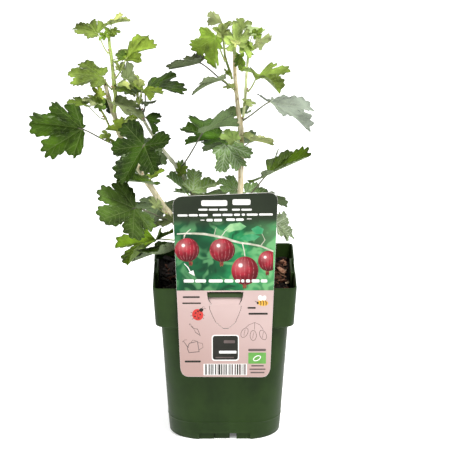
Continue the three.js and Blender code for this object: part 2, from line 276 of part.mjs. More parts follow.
// ---------- leaves ----------
// junction: where the stalk meets the blade; axis, side, normal: the blade's frame; length: junction to main lobe tip;
// width: side scale; lobes: side and basal lobe lengths, spread, lobe half angle; surface: fold (degrees), curl, cup;
// open: half angle of the blade at the junction; stalk: four control points.
const LEAVES = [
  {name: "leaf_B01", tone: "dark", junction: [26.95, 27.82, 209.7], axis: [0.3339, 0.7991, -0.5], side: [-0.9405, 0.3176, -0.1205], normal: [0.0625, 0.5105, 0.8576], length: 38.0, width: 1.025, lobes: [0.862, 0.834, 0.556, 0.592, 0.991, 35.181], surface: [6.488, 0.25, -0.042], open: 150, stalk: [[14.16, 5.9, 201.04], [18.41, 13.45, 202.85], [23.19, 20.73, 209.23], [26.95, 27.82, 209.7]]},
  {name: "leaf_B02", tone: "dark", junction: [-57.36, 13.7, 206.69], axis: [-0.3019, 0.7615, -0.5736], side: [-0.9522, -0.2704, 0.1422], normal: [-0.0468, 0.5891, 0.8067], length: 38.0, width: 0.977, lobes: [0.917, 0.908, 0.643, 0.593, 0.999, 37.707], surface: [6.608, 0.183, -0.087], open: 150, stalk: [[-44.67, -7.82, 197.24], [-47.82, 0.11, 199.44], [-53.6, 6.66, 205.97], [-57.36, 13.7, 206.69]]},
  {name: "leaf_B03", tone: "green", junction: [-19.24, 38.89, 208.41], axis: [-0.1148, 0.9201, -0.3746], side: [-0.9926, -0.0909, 0.0808], normal: [0.0403, 0.3811, 0.9237], length: 36.0, width: 0.928, lobes: [0.882, 0.904, 0.575, 0.648, 1.037, 35.074], surface: [13.075, 0.1, -0.06], open: 150, stalk: [[-19.42, 16.3, 196.47], [-18.63, 24.12, 199.52], [-18.97, 31.4, 206.78], [-19.24, 38.89, 208.41]]},
  {name: "leaf_B04", tone: "dark", junction: [9.43, 28.46, 261.75], axis: [-0.1871, 0.8456, -0.5], side: [-0.9597, -0.2659, -0.0905], normal: [-0.2095, 0.4629, 0.8613], length: 38.0, width: 0.946, lobes: [0.839, 0.897, 0.585, 0.566, 1.02, 36.794], surface: [13.989, 0.135, -0.082], open: 150, stalk: [[14.49, 8.17, 252.02], [12.73, 15.2, 254.35], [11.03, 21.82, 260.64], [9.43, 28.46, 261.75]]},
  {name: "leaf_B05", tone: "dark", junction: [-76.0, 10.86, 258.02], axis: [-0.0177, 0.8479, -0.5299], side: [-0.9916, 0.053, 0.118], normal: [0.1282, 0.5276, 0.8398], length: 36.0, width: 0.986, lobes: [0.861, 0.828, 0.552, 0.653, 0.959, 38.38], surface: [9.679, 0.243, -0.072], open: 150, stalk: [[-77.27, -8.82, 251.29], [-76.26, -2.26, 253.07], [-76.24, 4.62, 257.68], [-76.0, 10.86, 258.02]]},
  {name: "leaf_B06", tone: "green", junction: [18.02, 22.39, 290.54], axis: [-0.0074, 0.8988, -0.4384], side: [-0.9841, -0.0843, -0.1561], normal: [-0.1772, 0.4303, 0.8851], length: 30.0, width: 0.992, lobes: [0.829, 0.889, 0.624, 0.625, 0.996, 35.888], surface: [12.409, 0.116, -0.037], open: 150, stalk: [[15.58, 8.01, 281.29], [16.55, 13.18, 283.47], [17.44, 17.47, 289.01], [18.02, 22.39, 290.54]]},
  {name: "leaf_B07", tone: "dark", junction: [-64.93, 56.17, 250.32], axis: [-0.6754, 0.5421, -0.5], side: [-0.6933, -0.6978, 0.1801], normal: [-0.2513, 0.4683, 0.8471], length: 33.0, width: 0.969, lobes: [0.896, 0.823, 0.593, 0.638, 0.988, 37.853], surface: [12.125, 0.241, -0.001], open: 150, stalk: [[-48.6, 17.82, 247.7], [-53.02, 30.87, 248.01], [-58.35, 45.66, 252.14], [-64.93, 56.17, 250.32]]},
  {name: "leaf_B08", tone: "dark", junction: [-5.18, 33.85, 186.29], axis: [-0.5947, 0.6296, -0.5], side: [-0.6397, -0.7473, -0.1801], normal: [-0.487, 0.2128, 0.8471], length: 34.0, width: 1.025, lobes: [0.818, 0.886, 0.643, 0.594, 1.005, 36.918], surface: [15.585, 0.148, -0.072], open: 150, stalk: [[8.8, 4.81, 183.96], [4.16, 14.34, 185.13], [-0.15, 25.69, 187.73], [-5.18, 33.85, 186.29]]},
  {name: "leaf_L01", tone: "dark", junction: [-128.1, -14.81, 287.03], axis: [-0.8318, 0.5551, -0.0078], side: [-0.0094, -0.0282, -0.9996], normal: [-0.555, -0.8313, 0.0286], length: 51.85, width: 0.88, lobes: [0.701, 0.831, 0.596, 0.543, 0.826, 33.818], surface: [20.458, -0.201, -0.0], open: 150, stalk: [[-93.25, -10.37, 269.91], [-105.51, -13.63, 272.23], [-117.05, -16.22, 283.37], [-128.1, -14.81, 287.03]]},
  {name: "leaf_L03", tone: "green", junction: [-109.9, -16.0, 336.06], axis: [-0.9668, 0.1172, 0.2273], side: [-0.1958, -0.9109, -0.3632], normal: [0.1645, -0.3956, 0.9036], length: 30.01, width: 0.858, lobes: [0.935, 0.971, 0.517, 0.702, 0.861, 34.28], surface: [1.225, 0.207, -0.058], open: 150, stalk: [[-100.61, -12.88, 323.38], [-104.72, -14.72, 326.15], [-106.22, -15.56, 333.0], [-109.9, -16.0, 336.06]]},
  {name: "leaf_L04", tone: "yellow", junction: [-113.13, -15.24, 375.36], axis: [-0.8285, 0.5077, 0.2363], side: [-0.5593, -0.7282, -0.3962], normal: [-0.0291, -0.4604, 0.8872], length: 25.67, width: 0.741, lobes: [0.765, 0.88, 0.67, 0.566, 0.861, 37.873], surface: [13.694, 0.187, -0.015], open: 150, stalk: [[-103.46, -10.15, 356.0], [-108.1, -13.53, 360.57], [-109.13, -14.91, 370.03], [-113.13, -15.24, 375.36]]},
  {name: "leaf_L05", tone: "yellow", junction: [-100.83, 3.24, 379.08], axis: [0.8389, -0.2619, 0.477], side: [0.2789, 0.9596, 0.0364], normal: [-0.4673, 0.1025, 0.8781], length: 17.1, width: 0.891, lobes: [0.807, 0.826, 0.621, 0.496, 0.953, 36.24], surface: [18.609, 0.189, 0.276], open: 150, stalk: [[-102.43, -5.15, 370.63], [-101.57, -1.71, 372.4], [-101.84, 1.06, 376.39], [-100.83, 3.24, 379.08]]},
  {name: "leaf_L06", tone: "yellow", junction: [-87.16, -19.87, 353.23], axis: [0.5645, 0.6207, 0.5441], side: [-0.5967, 0.7623, -0.2506], normal: [-0.5703, -0.1832, 0.8007], length: 31.45, width: 1.059, lobes: [0.929, 0.876, 0.61, 0.492, 0.951, 35.838], surface: [7.268, 0.044, -0.254], open: 130, stalk: [[-97.19, -12.29, 333.75], [-92.59, -15.92, 338.67], [-90.8, -19.33, 347.33], [-87.16, -19.87, 353.23]]},
  {name: "leaf_L07", tone: "pale", junction: [-87.93, 5.74, 327.8], axis: [0.1465, -0.2187, 0.9647], side: [0.6771, -0.6888, -0.259], normal: [0.7212, 0.6911, 0.0472], length: 17.84, width: 0.958, lobes: [0.931, 0.818, 0.498, 0.465, 0.981, 39.711], surface: [4.104, 0.054, -0.038], open: 150, stalk: [[-97.33, -9.37, 326.58], [-94.21, -4.41, 327.15], [-90.75, 1.21, 327.43], [-87.93, 5.74, 327.8]]},
  {name: "leaf_L08", tone: "pale", junction: [-81.32, 25.38, 311.29], axis: [-0.8072, 0.4525, 0.379], side: [-0.5421, -0.8223, -0.1728], normal: [0.2334, -0.345, 0.9091], length: 19.58, width: 0.943, lobes: [0.938, 0.918, 0.458, 0.575, 1.003, 35.159], surface: [19.222, 0.213, 0.026], open: 150, stalk: [[-79.05, 16.77, 310.2], [-79.79, 19.6, 310.68], [-80.04, 23.09, 310.68], [-81.32, 25.38, 311.29]]},
  {name: "leaf_L09", tone: "dark", junction: [-95.06, -25.09, 326.81], axis: [0.9725, 0.0967, -0.212], side: [-0.0958, 0.9953, 0.0147], normal: [0.2125, 0.006, 0.9771], length: 17.23, width: 0.978, lobes: [0.942, 0.768, 0.556, 0.593, 0.887, 38.032], surface: [3.18, 0.082, -0.14], open: 150, stalk: [[-97.64, -13.83, 323.8], [-96.76, -17.55, 324.77], [-96.0, -21.74, 325.95], [-95.06, -25.09, 326.81]]},
  {name: "leaf_L10", tone: "dark", junction: [-71.07, 16.89, 314.17], axis: [0.6317, -0.6046, 0.4852], side: [0.6183, 0.7705, 0.1549], normal: [-0.4675, 0.2021, 0.8606], length: 42.42, width: 0.937, lobes: [0.802, 0.739, 0.561, 0.469, 0.926, 37.057], surface: [15.186, 0.467, -0.02], open: 115, stalk: [[-73.42, 17.03, 294.19], [-70.02, 17.45, 299.88], [-72.87, 18.12, 308.54], [-71.07, 16.89, 314.17]]},
  {name: "leaf_L12", tone: "grey", junction: [-96.53, -27.01, 314.02], axis: [0.8965, -0.3091, -0.3173], side: [0.3204, 0.9471, -0.0175], normal: [0.3059, -0.086, 0.9482], length: 27.85, width: 1.005, lobes: [0.871, 0.807, 0.582, 0.561, 0.883, 37.767], surface: [11.459, 0.083, 0.02], open: 150, stalk: [[-97.5, -14.32, 312.03], [-97.2, -18.52, 312.56], [-97.56, -23.29, 313.75], [-96.53, -27.01, 314.02]]},
  {name: "leaf_L13", tone: "dark", junction: [-71.16, -0.85, 293.83], axis: [0.419, -0.8709, -0.2569], side: [0.7442, 0.4915, -0.4523], normal: [0.5202, -0.0017, 0.8541], length: 22.89, width: 0.861, lobes: [0.898, 0.64, 0.561, 0.679, 0.902, 37.056], surface: [26.144, 0.185, 0.087], open: 130, stalk: [[-72.83, 15.05, 286.93], [-71.91, 9.69, 288.78], [-72.33, 4.16, 292.91], [-71.16, -0.85, 293.83]]},
  {name: "leaf_L14", tone: "yellow", junction: [-93.12, -26.4, 288.25], axis: [0.5654, 0.5034, 0.6534], side: [-0.5087, 0.8364, -0.2041], normal: [-0.6492, -0.217, 0.729], length: 23.92, width: 1.023, lobes: [0.888, 0.733, 0.553, 0.595, 0.949, 40.02], surface: [21.82, 0.289, 0.039], open: 112, stalk: [[-94.71, -10.16, 282.9], [-94.07, -15.52, 284.61], [-93.6, -21.52, 286.65], [-93.12, -26.4, 288.25]]},
  {name: "leaf_L15", tone: "dark", junction: [-71.18, -59.3, 284.71], axis: [-0.5255, -0.5041, -0.6854], side: [0.7642, -0.6337, -0.1198], normal: [-0.374, -0.5868, 0.7182], length: 38.45, width: 1.009, lobes: [0.75, 0.906, 0.732, 0.707, 1.119, 40.944], surface: [17.033, 0.05, -0.068], open: 150, stalk: [[-74.99, -15.47, 248.77], [-71.98, -30.7, 259.28], [-72.32, -46.15, 273.93], [-71.18, -59.3, 284.71]]},
  {name: "leaf_L16", tone: "dark", junction: [-69.14, -35.17, 242.56], axis: [-0.7695, -0.5523, 0.3206], side: [0.5735, -0.8185, -0.0337], normal: [0.281, 0.1579, 0.9466], length: 33.93, width: 0.993, lobes: [0.812, 0.717, 0.614, 0.457, 0.911, 36.308], surface: [12.005, 0.126, -0.049], open: 130, stalk: [[-72.49, -16.25, 242.72], [-71.67, -22.48, 243.56], [-68.84, -29.43, 242.11], [-69.14, -35.17, 242.56]]},
  {name: "leaf_L17", tone: "dark", junction: [-80.2, -58.0, 225.8], axis: [-0.6539, -0.7565, 0.0097], side: [0.5709, -0.5018, -0.6498], normal: [0.4964, -0.4193, 0.7601], length: 43.85, width: 1.049, lobes: [0.827, 0.882, 0.655, 0.571, 0.905, 37.355], surface: [6.45, 0.092, -0.074], open: 150, stalk: [[-48.29, -15.75, 201.26], [-56.42, -32.55, 205.99], [-69.63, -44.8, 221.25], [-80.2, -58.0, 225.8]]},
  {name: "leaf_L18", tone: "yellow", junction: [-62.11, -22.0, 184.45], axis: [-0.6672, -0.7222, -0.1825], side: [0.6756, -0.6899, 0.2601], normal: [-0.3137, 0.0502, 0.9482], length: 41.86, width: 0.862, lobes: [0.959, 0.86, 0.575, 0.547, 1.044, 38.209], surface: [18.846, 0.083, 0.004], open: 112, stalk: [[-35.2, -11.71, 181.13], [-43.79, -15.7, 179.75], [-54.66, -17.51, 184.46], [-62.11, -22.0, 184.45]]},
  {name: "leaf_L19", tone: "dark", junction: [-40.31, -15.04, 177.89], axis: [-0.3836, -0.9216, -0.0588], side: [0.8361, -0.3736, 0.4017], normal: [-0.3921, 0.105, 0.9139], length: 59.61, width: 0.801, lobes: [0.896, 0.832, 0.659, 0.525, 1.025, 35.911], surface: [16.597, -0.193, -0.173], open: 112, stalk: [[-26.56, -10.22, 170.64], [-31.44, -12.47, 170.61], [-36.5, -12.43, 176.3], [-40.31, -15.04, 177.89]]},
  {name: "leaf_R01", tone: "yellow", junction: [-1.26, -6.91, 382.04], axis: [-0.5598, 0.8286, 0.0104], side: [-0.7164, -0.4902, 0.4965], normal: [0.4165, 0.2705, 0.868], length: 18.87, width: 0.976, lobes: [0.866, 0.869, 0.467, 0.772, 0.947, 39.552], surface: [16.483, 0.268, -0.016], open: 112, stalk: [[0.56, -7.03, 368.78], [2.13, -8.23, 372.73], [-0.56, -7.18, 378.09], [-1.26, -6.91, 382.04]]},
  {name: "leaf_R04", tone: "yellow", junction: [-7.5, -18.0, 372.43], axis: [-0.2547, 0.1927, -0.9476], side: [0.604, -0.7336, -0.3115], normal: [-0.7552, -0.6517, 0.0704], length: 32.84, width: 0.867, lobes: [0.927, 0.817, 0.551, 0.565, 0.863, 34.218], surface: [20.191, 0.27, 0.009], open: 150, stalk: [[0.86, -7.94, 348.18], [-2.09, -14.38, 353.88], [-4.99, -14.98, 365.16], [-7.5, -18.0, 372.43]]},
  {name: "leaf_R05", tone: "yellow", junction: [28.87, -2.0, 364.06], axis: [0.9027, 0.4202, 0.0924], side: [0.1956, -0.5922, 0.7817], normal: [0.3831, -0.6876, -0.6168], length: 16.25, width: 0.937, lobes: [0.86, 0.86, 0.6, 0.6, 1.0, 37.0], surface: [12.0, 0.14, -0.05], open: 150, stalk: [[24.13, -2.66, 356.96], [26.53, -2.28, 358.4], [27.0, -2.52, 362.37], [28.87, -2.0, 364.06]]},
  {name: "leaf_R06", tone: "pale", junction: [10.15, -26.29, 369.24], axis: [0.0342, -0.4769, 0.8783], side: [-0.9089, -0.3804, -0.1711], normal: [0.4157, -0.7924, -0.4465], length: 20.51, width: 0.882, lobes: [0.86, 0.86, 0.6, 0.6, 1.0, 37.0], surface: [12.0, 0.14, -0.05], open: 150, stalk: [[9.2, -1.35, 356.2], [9.52, -10.09, 359.34], [9.85, -19.87, 363.76], [10.15, -26.29, 369.24]]},
  {name: "leaf_R07", tone: "dark", junction: [-22.15, -1.68, 344.84], axis: [-0.8422, 0.4054, -0.3555], side: [-0.4486, -0.8926, 0.0448], normal: [-0.2991, 0.1972, 0.9336], length: 31.99, width: 0.897, lobes: [0.761, 0.945, 0.369, 0.576, 0.971, 40.97], surface: [20.88, -0.022, 0.089], open: 130, stalk: [[7.78, 2.7, 320.87], [-3.66, 1.22, 326.26], [-11.83, -1.72, 339.59], [-22.15, -1.68, 344.84]]},
  {name: "leaf_R08", tone: "green", junction: [-1.3, -14.32, 332.22], axis: [-0.9851, 0.0452, -0.1658], side: [-0.0837, -0.9688, 0.2331], normal: [-0.1501, 0.2435, 0.9582], length: 28.91, width: 0.902, lobes: [0.778, 0.875, 0.409, 0.645, 0.822, 36.097], surface: [15.662, 0.263, -0.115], open: 150, stalk: [[9.22, 0.78, 318.83], [5.36, -4.98, 321.71], [3.05, -10.29, 328.83], [-1.3, -14.32, 332.22]]},
  {name: "leaf_R09", tone: "yellow", junction: [30.96, -10.0, 335.9], axis: [0.5781, -0.809, -0.1067], side: [0.8065, 0.5863, -0.0759], normal: [0.124, -0.0421, 0.9914], length: 32.27, width: 0.877, lobes: [0.831, 0.909, 0.591, 0.653, 0.999, 37.284], surface: [23.225, 0.045, 0.084], open: 112, stalk: [[21.22, -4.32, 318.82], [25.86, -7.17, 322.81], [27.5, -7.21, 331.66], [30.96, -10.0, 335.9]]},
  {name: "leaf_R10", tone: "grey", junction: [41.58, 0.0, 307.98], axis: [0.8264, 0.2884, -0.4837], side: [-0.4616, 0.8389, -0.2884], normal: [0.3226, 0.4616, 0.8263], length: 46.8, width: 0.732, lobes: [0.973, 0.943, 0.353, 0.488, 1.03, 38.535], surface: [14.467, 0.178, 0.042], open: 112, stalk: [[16.96, 4.22, 289.47], [25.9, 2.9, 294.32], [33.18, 0.55, 303.96], [41.58, 0.0, 307.98]]},
  {name: "leaf_R12", tone: "dark", junction: [-19.32, -31.98, 288.3], axis: [0.75, 0.5991, 0.2803], side: [-0.5375, 0.799, -0.2696], normal: [-0.3855, 0.0515, 0.9213], length: 36.4, width: 0.992, lobes: [0.881, 0.918, 0.544, 0.592, 1.073, 39.541], surface: [22.566, 0.344, 0.111], open: 150, stalk: [[-40.6, 13.3, 241.07], [-31.7, -1.85, 255.46], [-26.05, -18.69, 274.02], [-19.32, -31.98, 288.3]]},
  {name: "leaf_R13", tone: "dark", junction: [1.53, -6.23, 269.83], axis: [0.5023, 0.0475, -0.8634], side: [0.8647, -0.0233, 0.5018], normal: [0.0037, -0.9986, -0.0528], length: 29.47, width: 0.902, lobes: [0.942, 0.897, 0.52, 0.48, 0.87, 35.77], surface: [21.101, 0.222, 0.024], open: 150, stalk: [[12.71, 2.95, 257.44], [8.34, -0.63, 260.2], [4.88, -3.48, 266.12], [1.53, -6.23, 269.83]]},
  {name: "leaf_R13b", joined: "leaf_R13", tone: "dark", junction: [-3.38, 5.0, 271.85], axis: [-0.9069, -0.4069, 0.1092], side: [0.3799, -0.9019, -0.2056], normal: [0.1822, -0.145, 0.9725], length: 33.45, width: 0.961, lobes: [0.808, 0.881, 0.551, 0.517, 0.859, 37.082], surface: [13.89, 0.156, 0.023], open: 150, stalk: [[12.35, 5.06, 275.75], [7.02, 5.04, 275.32], [1.38, 5.81, 272.37], [-3.38, 5.0, 271.85]]},
  {name: "leaf_R14", tone: "pale", junction: [13.69, -11.94, 366.6], axis: [0.526, -0.424, -0.7373], side: [0.5122, 0.85, -0.1234], normal: [0.679, -0.3127, 0.6642], length: 17.61, width: 0.994, lobes: [0.86, 0.86, 0.6, 0.6, 1.0, 37.0], surface: [12.0, 0.14, -0.05], open: 150, stalk: [[9.88, -1.1, 359.81], [11.2, -5.0, 361.38], [12.38, -8.58, 364.85], [13.69, -11.94, 366.6]]},
  {name: "leaf_R16", tone: "yellow", junction: [24.62, -10.14, 274.5], axis: [0.845, 0.5106, -0.1589], side: [-0.5295, 0.8404, -0.1155], normal: [0.0745, 0.1817, 0.9805], length: 22.84, width: 1.061, lobes: [0.868, 0.853, 0.607, 0.576, 0.987, 39.259], surface: [17.019, 0.234, 0.009], open: 150, stalk: [[16.93, 2.29, 264.77], [19.75, -2.27, 266.96], [22.31, -6.41, 271.58], [24.62, -10.14, 274.5]]},
  {name: "leaf_R17", tone: "dark", junction: [39.73, -6.29, 241.47], axis: [0.7437, -0.4144, 0.5246], side: [0.3747, 0.9083, 0.1862], normal: [-0.5536, 0.0581, 0.8307], length: 47.25, width: 0.95, lobes: [0.841, 0.679, 0.544, 0.71, 0.987, 35.103], surface: [15.867, 0.077, -0.037], open: 112, stalk: [[17.38, 2.01, 214.99], [26.64, -2.05, 221.0], [32.42, -2.96, 234.42], [39.73, -6.29, 241.47]]},
  {name: "leaf_R18", tone: "green", junction: [-28.68, -0.06, 223.79], axis: [0.781, 0.5503, 0.2952], side: [-0.6065, 0.781, 0.1487], normal: [-0.1487, -0.2952, 0.9438], length: 28.24, width: 1.029, lobes: [0.793, 0.908, 0.704, 0.433, 0.939, 35.182], surface: [20.617, 0.179, 0.081], open: 150, stalk: [[-25.97, 11.03, 211.32], [-25.96, 6.38, 214.4], [-27.87, 3.27, 220.05], [-28.68, -0.06, 223.79]]},
  {name: "leaf_R18b", tone: "green", junction: [-34.03, 16.18, 217.11], axis: [-0.4631, -0.4459, 0.766], side: [0.1737, -0.8931, -0.4149], normal: [0.8691, -0.0591, 0.4911], length: 28.19, width: 1.027, lobes: [1.011, 0.853, 0.618, 0.528, 0.936, 39.41], surface: [9.73, 0.143, 0.158], open: 112, stalk: [[-29.06, 15.26, 209.79], [-31.59, 16.29, 210.86], [-32.58, 16.49, 214.89], [-34.03, 16.18, 217.11]]},
  {name: "leaf_R19", tone: "green", junction: [11.32, 20.01, 218.92], axis: [-0.8571, 0.1383, 0.4962], side: [-0.3844, -0.813, -0.4374], normal: [0.3429, -0.5656, 0.75], length: 19.47, width: 0.89, lobes: [0.927, 0.921, 0.435, 0.47, 0.883, 35.031], surface: [7.898, 0.123, -0.168], open: 150, stalk: [[13.45, 6.94, 215.1], [12.66, 11.33, 215.97], [12.8, 16.46, 217.39], [11.32, 20.01, 218.92]]},
  {name: "leaf_R20", tone: "green", junction: [20.16, 16.87, 217.14], axis: [0.9252, -0.3328, 0.1826], side: [0.3078, 0.9392, 0.1523], normal: [-0.2222, -0.0847, 0.9713], length: 18.83, width: 0.942, lobes: [0.855, 0.753, 0.541, 0.602, 0.905, 36.17], surface: [25.017, 0.083, 0.042], open: 150, stalk: [[15.14, 6.64, 211.59], [16.85, 10.32, 212.62], [18.25, 14.06, 215.44], [20.16, 16.87, 217.14]]},
  {name: "leaf_R21", tone: "grey", junction: [47.73, 6.0, 190.21], axis: [0.5522, 0.5816, -0.5973], side: [-0.1113, 0.7615, 0.6386], normal: [0.8263, -0.2862, 0.4852], length: 29.01, width: 0.776, lobes: [0.756, 0.934, 0.638, 0.517, 0.946, 37.764], surface: [15.858, 0.061, -0.058], open: 150, stalk: [[12.81, 1.7, 176.22], [24.91, 3.05, 179.01], [36.91, 3.28, 188.08], [47.73, 6.0, 190.21]]},
];
const rad = (d) => (d * Math.PI) / 180;
function lobeRadius(theta, [lL, lR, bL, bR, spread, half]) {
  let r = 0.13;
  for (const [a, l, wide] of [[0, 1, 1], [48, lR, 1], [-48, lL, 1], [98, bR, 1.12], [-98, bL, 1.12]]) {
    const x = Math.abs((theta - rad(a) * spread) / (rad(half) * wide));
    if (x < 1) r = Math.max(r, l * Math.pow(1 - Math.pow(x, 2.2), 0.55));
  }
  return r;
}
function surfaceHeight(u, v, [fold, curl, cup]) {
  return Math.tan(rad(fold)) * (Math.sqrt(v * v + 0.0016) - 0.04) - curl * u * Math.abs(u) + cup * v * v;
}
function bladeGeometry(leaf) {
  const angles = leaf.length > 22
    ? [-1, -0.82, -0.65, -0.5, -0.33, -0.2, -0.08, 0.08, 0.2, 0.33, 0.5, 0.65, 0.82, 1]
    : [-1, -0.72, -0.5, -0.33, -0.17, 0, 0.17, 0.33, 0.5, 0.72, 1];
  const n = angles.length;
  const point = (k, theta) => {
    const r = lobeRadius(theta, leaf.lobes) * k;
    const u = r * Math.cos(theta), v = r * Math.sin(theta) * leaf.width;
    const h = surfaceHeight(u, v, leaf.surface);
    return [0, 1, 2].map((i) => leaf.junction[i] + leaf.length * (u * leaf.axis[i] + v * leaf.side[i] + h * leaf.normal[i]));
  };
  const normalAt = (k, theta) => {
    const e = 0.02;
    const r = lobeRadius(theta, leaf.lobes) * k;
    const u = r * Math.cos(theta), v = r * Math.sin(theta) * leaf.width;
    const f = (a, b) => surfaceHeight(a, b, leaf.surface);
    const du = (f(u + e, v) - f(u - e, v)) / (2 * e), dv = (f(u, v + e) - f(u, v - e)) / (2 * e);
    const m = [0, 1, 2].map((i) => leaf.normal[i] - du * leaf.axis[i] - dv * leaf.side[i]);
    const l = Math.hypot(...m);
    return m.map((c) => c / l);
  };
  const top = [], bottom = [];
  const put = (k, theta) => {
    const p = point(k, theta), m = normalAt(k, theta);
    top.push(p.map((c, i) => c + (m[i] * LEAF_T) / 2));
    bottom.push(p.map((c, i) => c - (m[i] * LEAF_T) / 2));
  };
  put(0, 0);
  for (const k of [0.5, 1]) for (const a of angles) put(k, rad(leaf.open) * a);
  const faces = [];
  const half = top.length;
  const both = (a, b, c) => faces.push([a, b, c], [half + a, half + c, half + b]);
  for (let i = 0; i + 1 < n; i++) {
    both(0, 1 + i, 2 + i);
    both(1 + i, 1 + n + i, 2 + n + i);
    both(1 + i, 2 + n + i, 2 + i);
  }
  const rim = [0, 1];
  for (let i = 0; i < n; i++) rim.push(1 + n + i);
  rim.push(n);
  for (let i = 0; i < rim.length; i++) {
    const a = rim[i], b = rim[(i + 1) % rim.length];
    faces.push([a, half + a, half + b], [a, half + b, b]);
  }
  return geometryFrom([...top, ...bottom], faces);
}
function stalkGeometry(leaf) {
  const [p0, p1, p2, p3] = leaf.stalk.map((p) => new THREE.Vector3(...p));
  const curve = new THREE.CubicBezierCurve3(p0, p1, p2, p3);
  const rows = curve.getPoints(leaf.length > 22 ? 3 : 2).map((p, i, all) => [p.x, p.y, p.z, STALK_R * (i === 0 ? 1.25 : 1) * (leaf.length > 22 ? 1 : 0.8)]);
  const end = new THREE.Vector3(...leaf.axis).multiplyScalar(leaf.length * 0.05).add(p3);
  rows.push([end.x, end.y, end.z, STALK_R * 0.7]);
  return tube(rows, 5);
}
function makeLeaf(leaf) {
  return solidOf(bladeGeometry(leaf)).add(solidOf(stalkGeometry(leaf)));
}

// ---------- assembly ----------
const group = new THREE.Group();
group.name = "potted_gooseberry_bush";
function place(name, geometry, color, roughness) {
  const mesh = new THREE.Mesh(geometry, new THREE.MeshStandardMaterial({ color, roughness, metalness: 0 }));
  mesh.name = name;
  group.add(mesh);
}
const stemSolids = {};
for (const [name, rows] of Object.entries(STEMS)) stemSolids[name] = solidOf(tube(rows, 8));
let soil = makeSoil();
for (const name of ["cane_left", "cane_middle", "cane_right"]) {
  // each cane stands in its own hole in the soil
  const rows = STEMS[name].filter((row) => row[2] < 170).map(([x, y, z, r]) => [x, y, z, r + GAP]);
  rows[0][2] -= GAP;
  soil = soil.subtract(solidOf(tube(rows, 8)));
}
place("pot", geometryOf(makePot()), 0x3d4f33, 0.5);
place("soil", geometryOf(soil), 0x2a211b, 0.95);
place("plant_label", geometryOf(makeLabel()), 0xe4dcd2, 0.4);
const stemColor = { cane_left: 0x9a8a74, cane_middle: 0x8b7f70, cane_right: 0xb39a74, shoot_left: 0xa6b06a, shoot_right: 0xc3c684, shoot_centre: 0x8f9d58, side_shoot_left: 0x97a35c };
for (const [name, solid] of Object.entries(stemSolids)) place(name, geometryOf(solid), stemColor[name], 0.7);
const leafColor = { dark: 0x3f5f22, green: 0x5d7d34, yellow: 0x93ab3c, pale: 0xb9c98f, grey: 0x9fb0a0 };
const leafSolids = new Map();
for (const leaf of LEAVES.filter((l) => !l.joined)) leafSolids.set(leaf.name, [leaf, makeLeaf(leaf)]);
// a leaf folded so far that its two halves lie in different planes is given as two rows and joined here
for (const leaf of LEAVES.filter((l) => l.joined)) {
  const [main, solid] = leafSolids.get(leaf.joined);
  leafSolids.set(leaf.joined, [main, solid.add(makeLeaf(leaf))]);
}
for (const [name, [leaf, solid]] of leafSolids) place(name, geometryOf(solid), leafColor[leaf.tone], 0.55);

export default group;
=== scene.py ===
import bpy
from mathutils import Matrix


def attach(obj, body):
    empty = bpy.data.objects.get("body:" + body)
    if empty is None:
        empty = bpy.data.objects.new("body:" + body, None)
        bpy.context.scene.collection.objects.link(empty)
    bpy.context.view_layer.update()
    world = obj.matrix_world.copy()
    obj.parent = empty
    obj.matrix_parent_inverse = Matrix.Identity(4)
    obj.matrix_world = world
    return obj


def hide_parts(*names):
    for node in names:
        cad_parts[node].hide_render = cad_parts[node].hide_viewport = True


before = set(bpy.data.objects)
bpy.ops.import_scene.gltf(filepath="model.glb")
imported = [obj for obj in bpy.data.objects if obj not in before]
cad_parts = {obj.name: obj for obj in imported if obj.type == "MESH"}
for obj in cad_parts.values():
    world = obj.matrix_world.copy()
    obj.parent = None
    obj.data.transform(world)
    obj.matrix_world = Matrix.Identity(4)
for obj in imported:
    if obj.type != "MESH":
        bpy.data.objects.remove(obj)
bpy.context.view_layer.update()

import math

import bmesh
import bpy
import numpy as np
from mathutils import Vector

MM = 0.001
scene = bpy.context.scene
scene.view_settings.view_transform = "Standard"
scene.view_settings.look = "None"

# ------------------------------------------------------------------ camera
cam_data = bpy.data.cameras.new("camera")
cam_data.sensor_width = 36.0
cam_data.lens = 214.146
cam_data.clip_start, cam_data.clip_end = 0.1, 100.0
cam = bpy.data.objects.new("camera", cam_data)
scene.collection.objects.link(cam)
cam.location = (-0.01666542, -2.35101005, 0.95734170)
cam.rotation_euler = (math.radians(90 - 18.09726083), 0.0, math.radians(-0.4665986))
scene.camera = cam

# ------------------------------------------------------------------ node helpers
def srgb(r, g, b, a=1.0):
    f = lambda c: c / 12.92 if c <= 0.04045 else ((c + 0.055) / 1.055) ** 2.4
    return (f(r / 255), f(g / 255), f(b / 255), a)


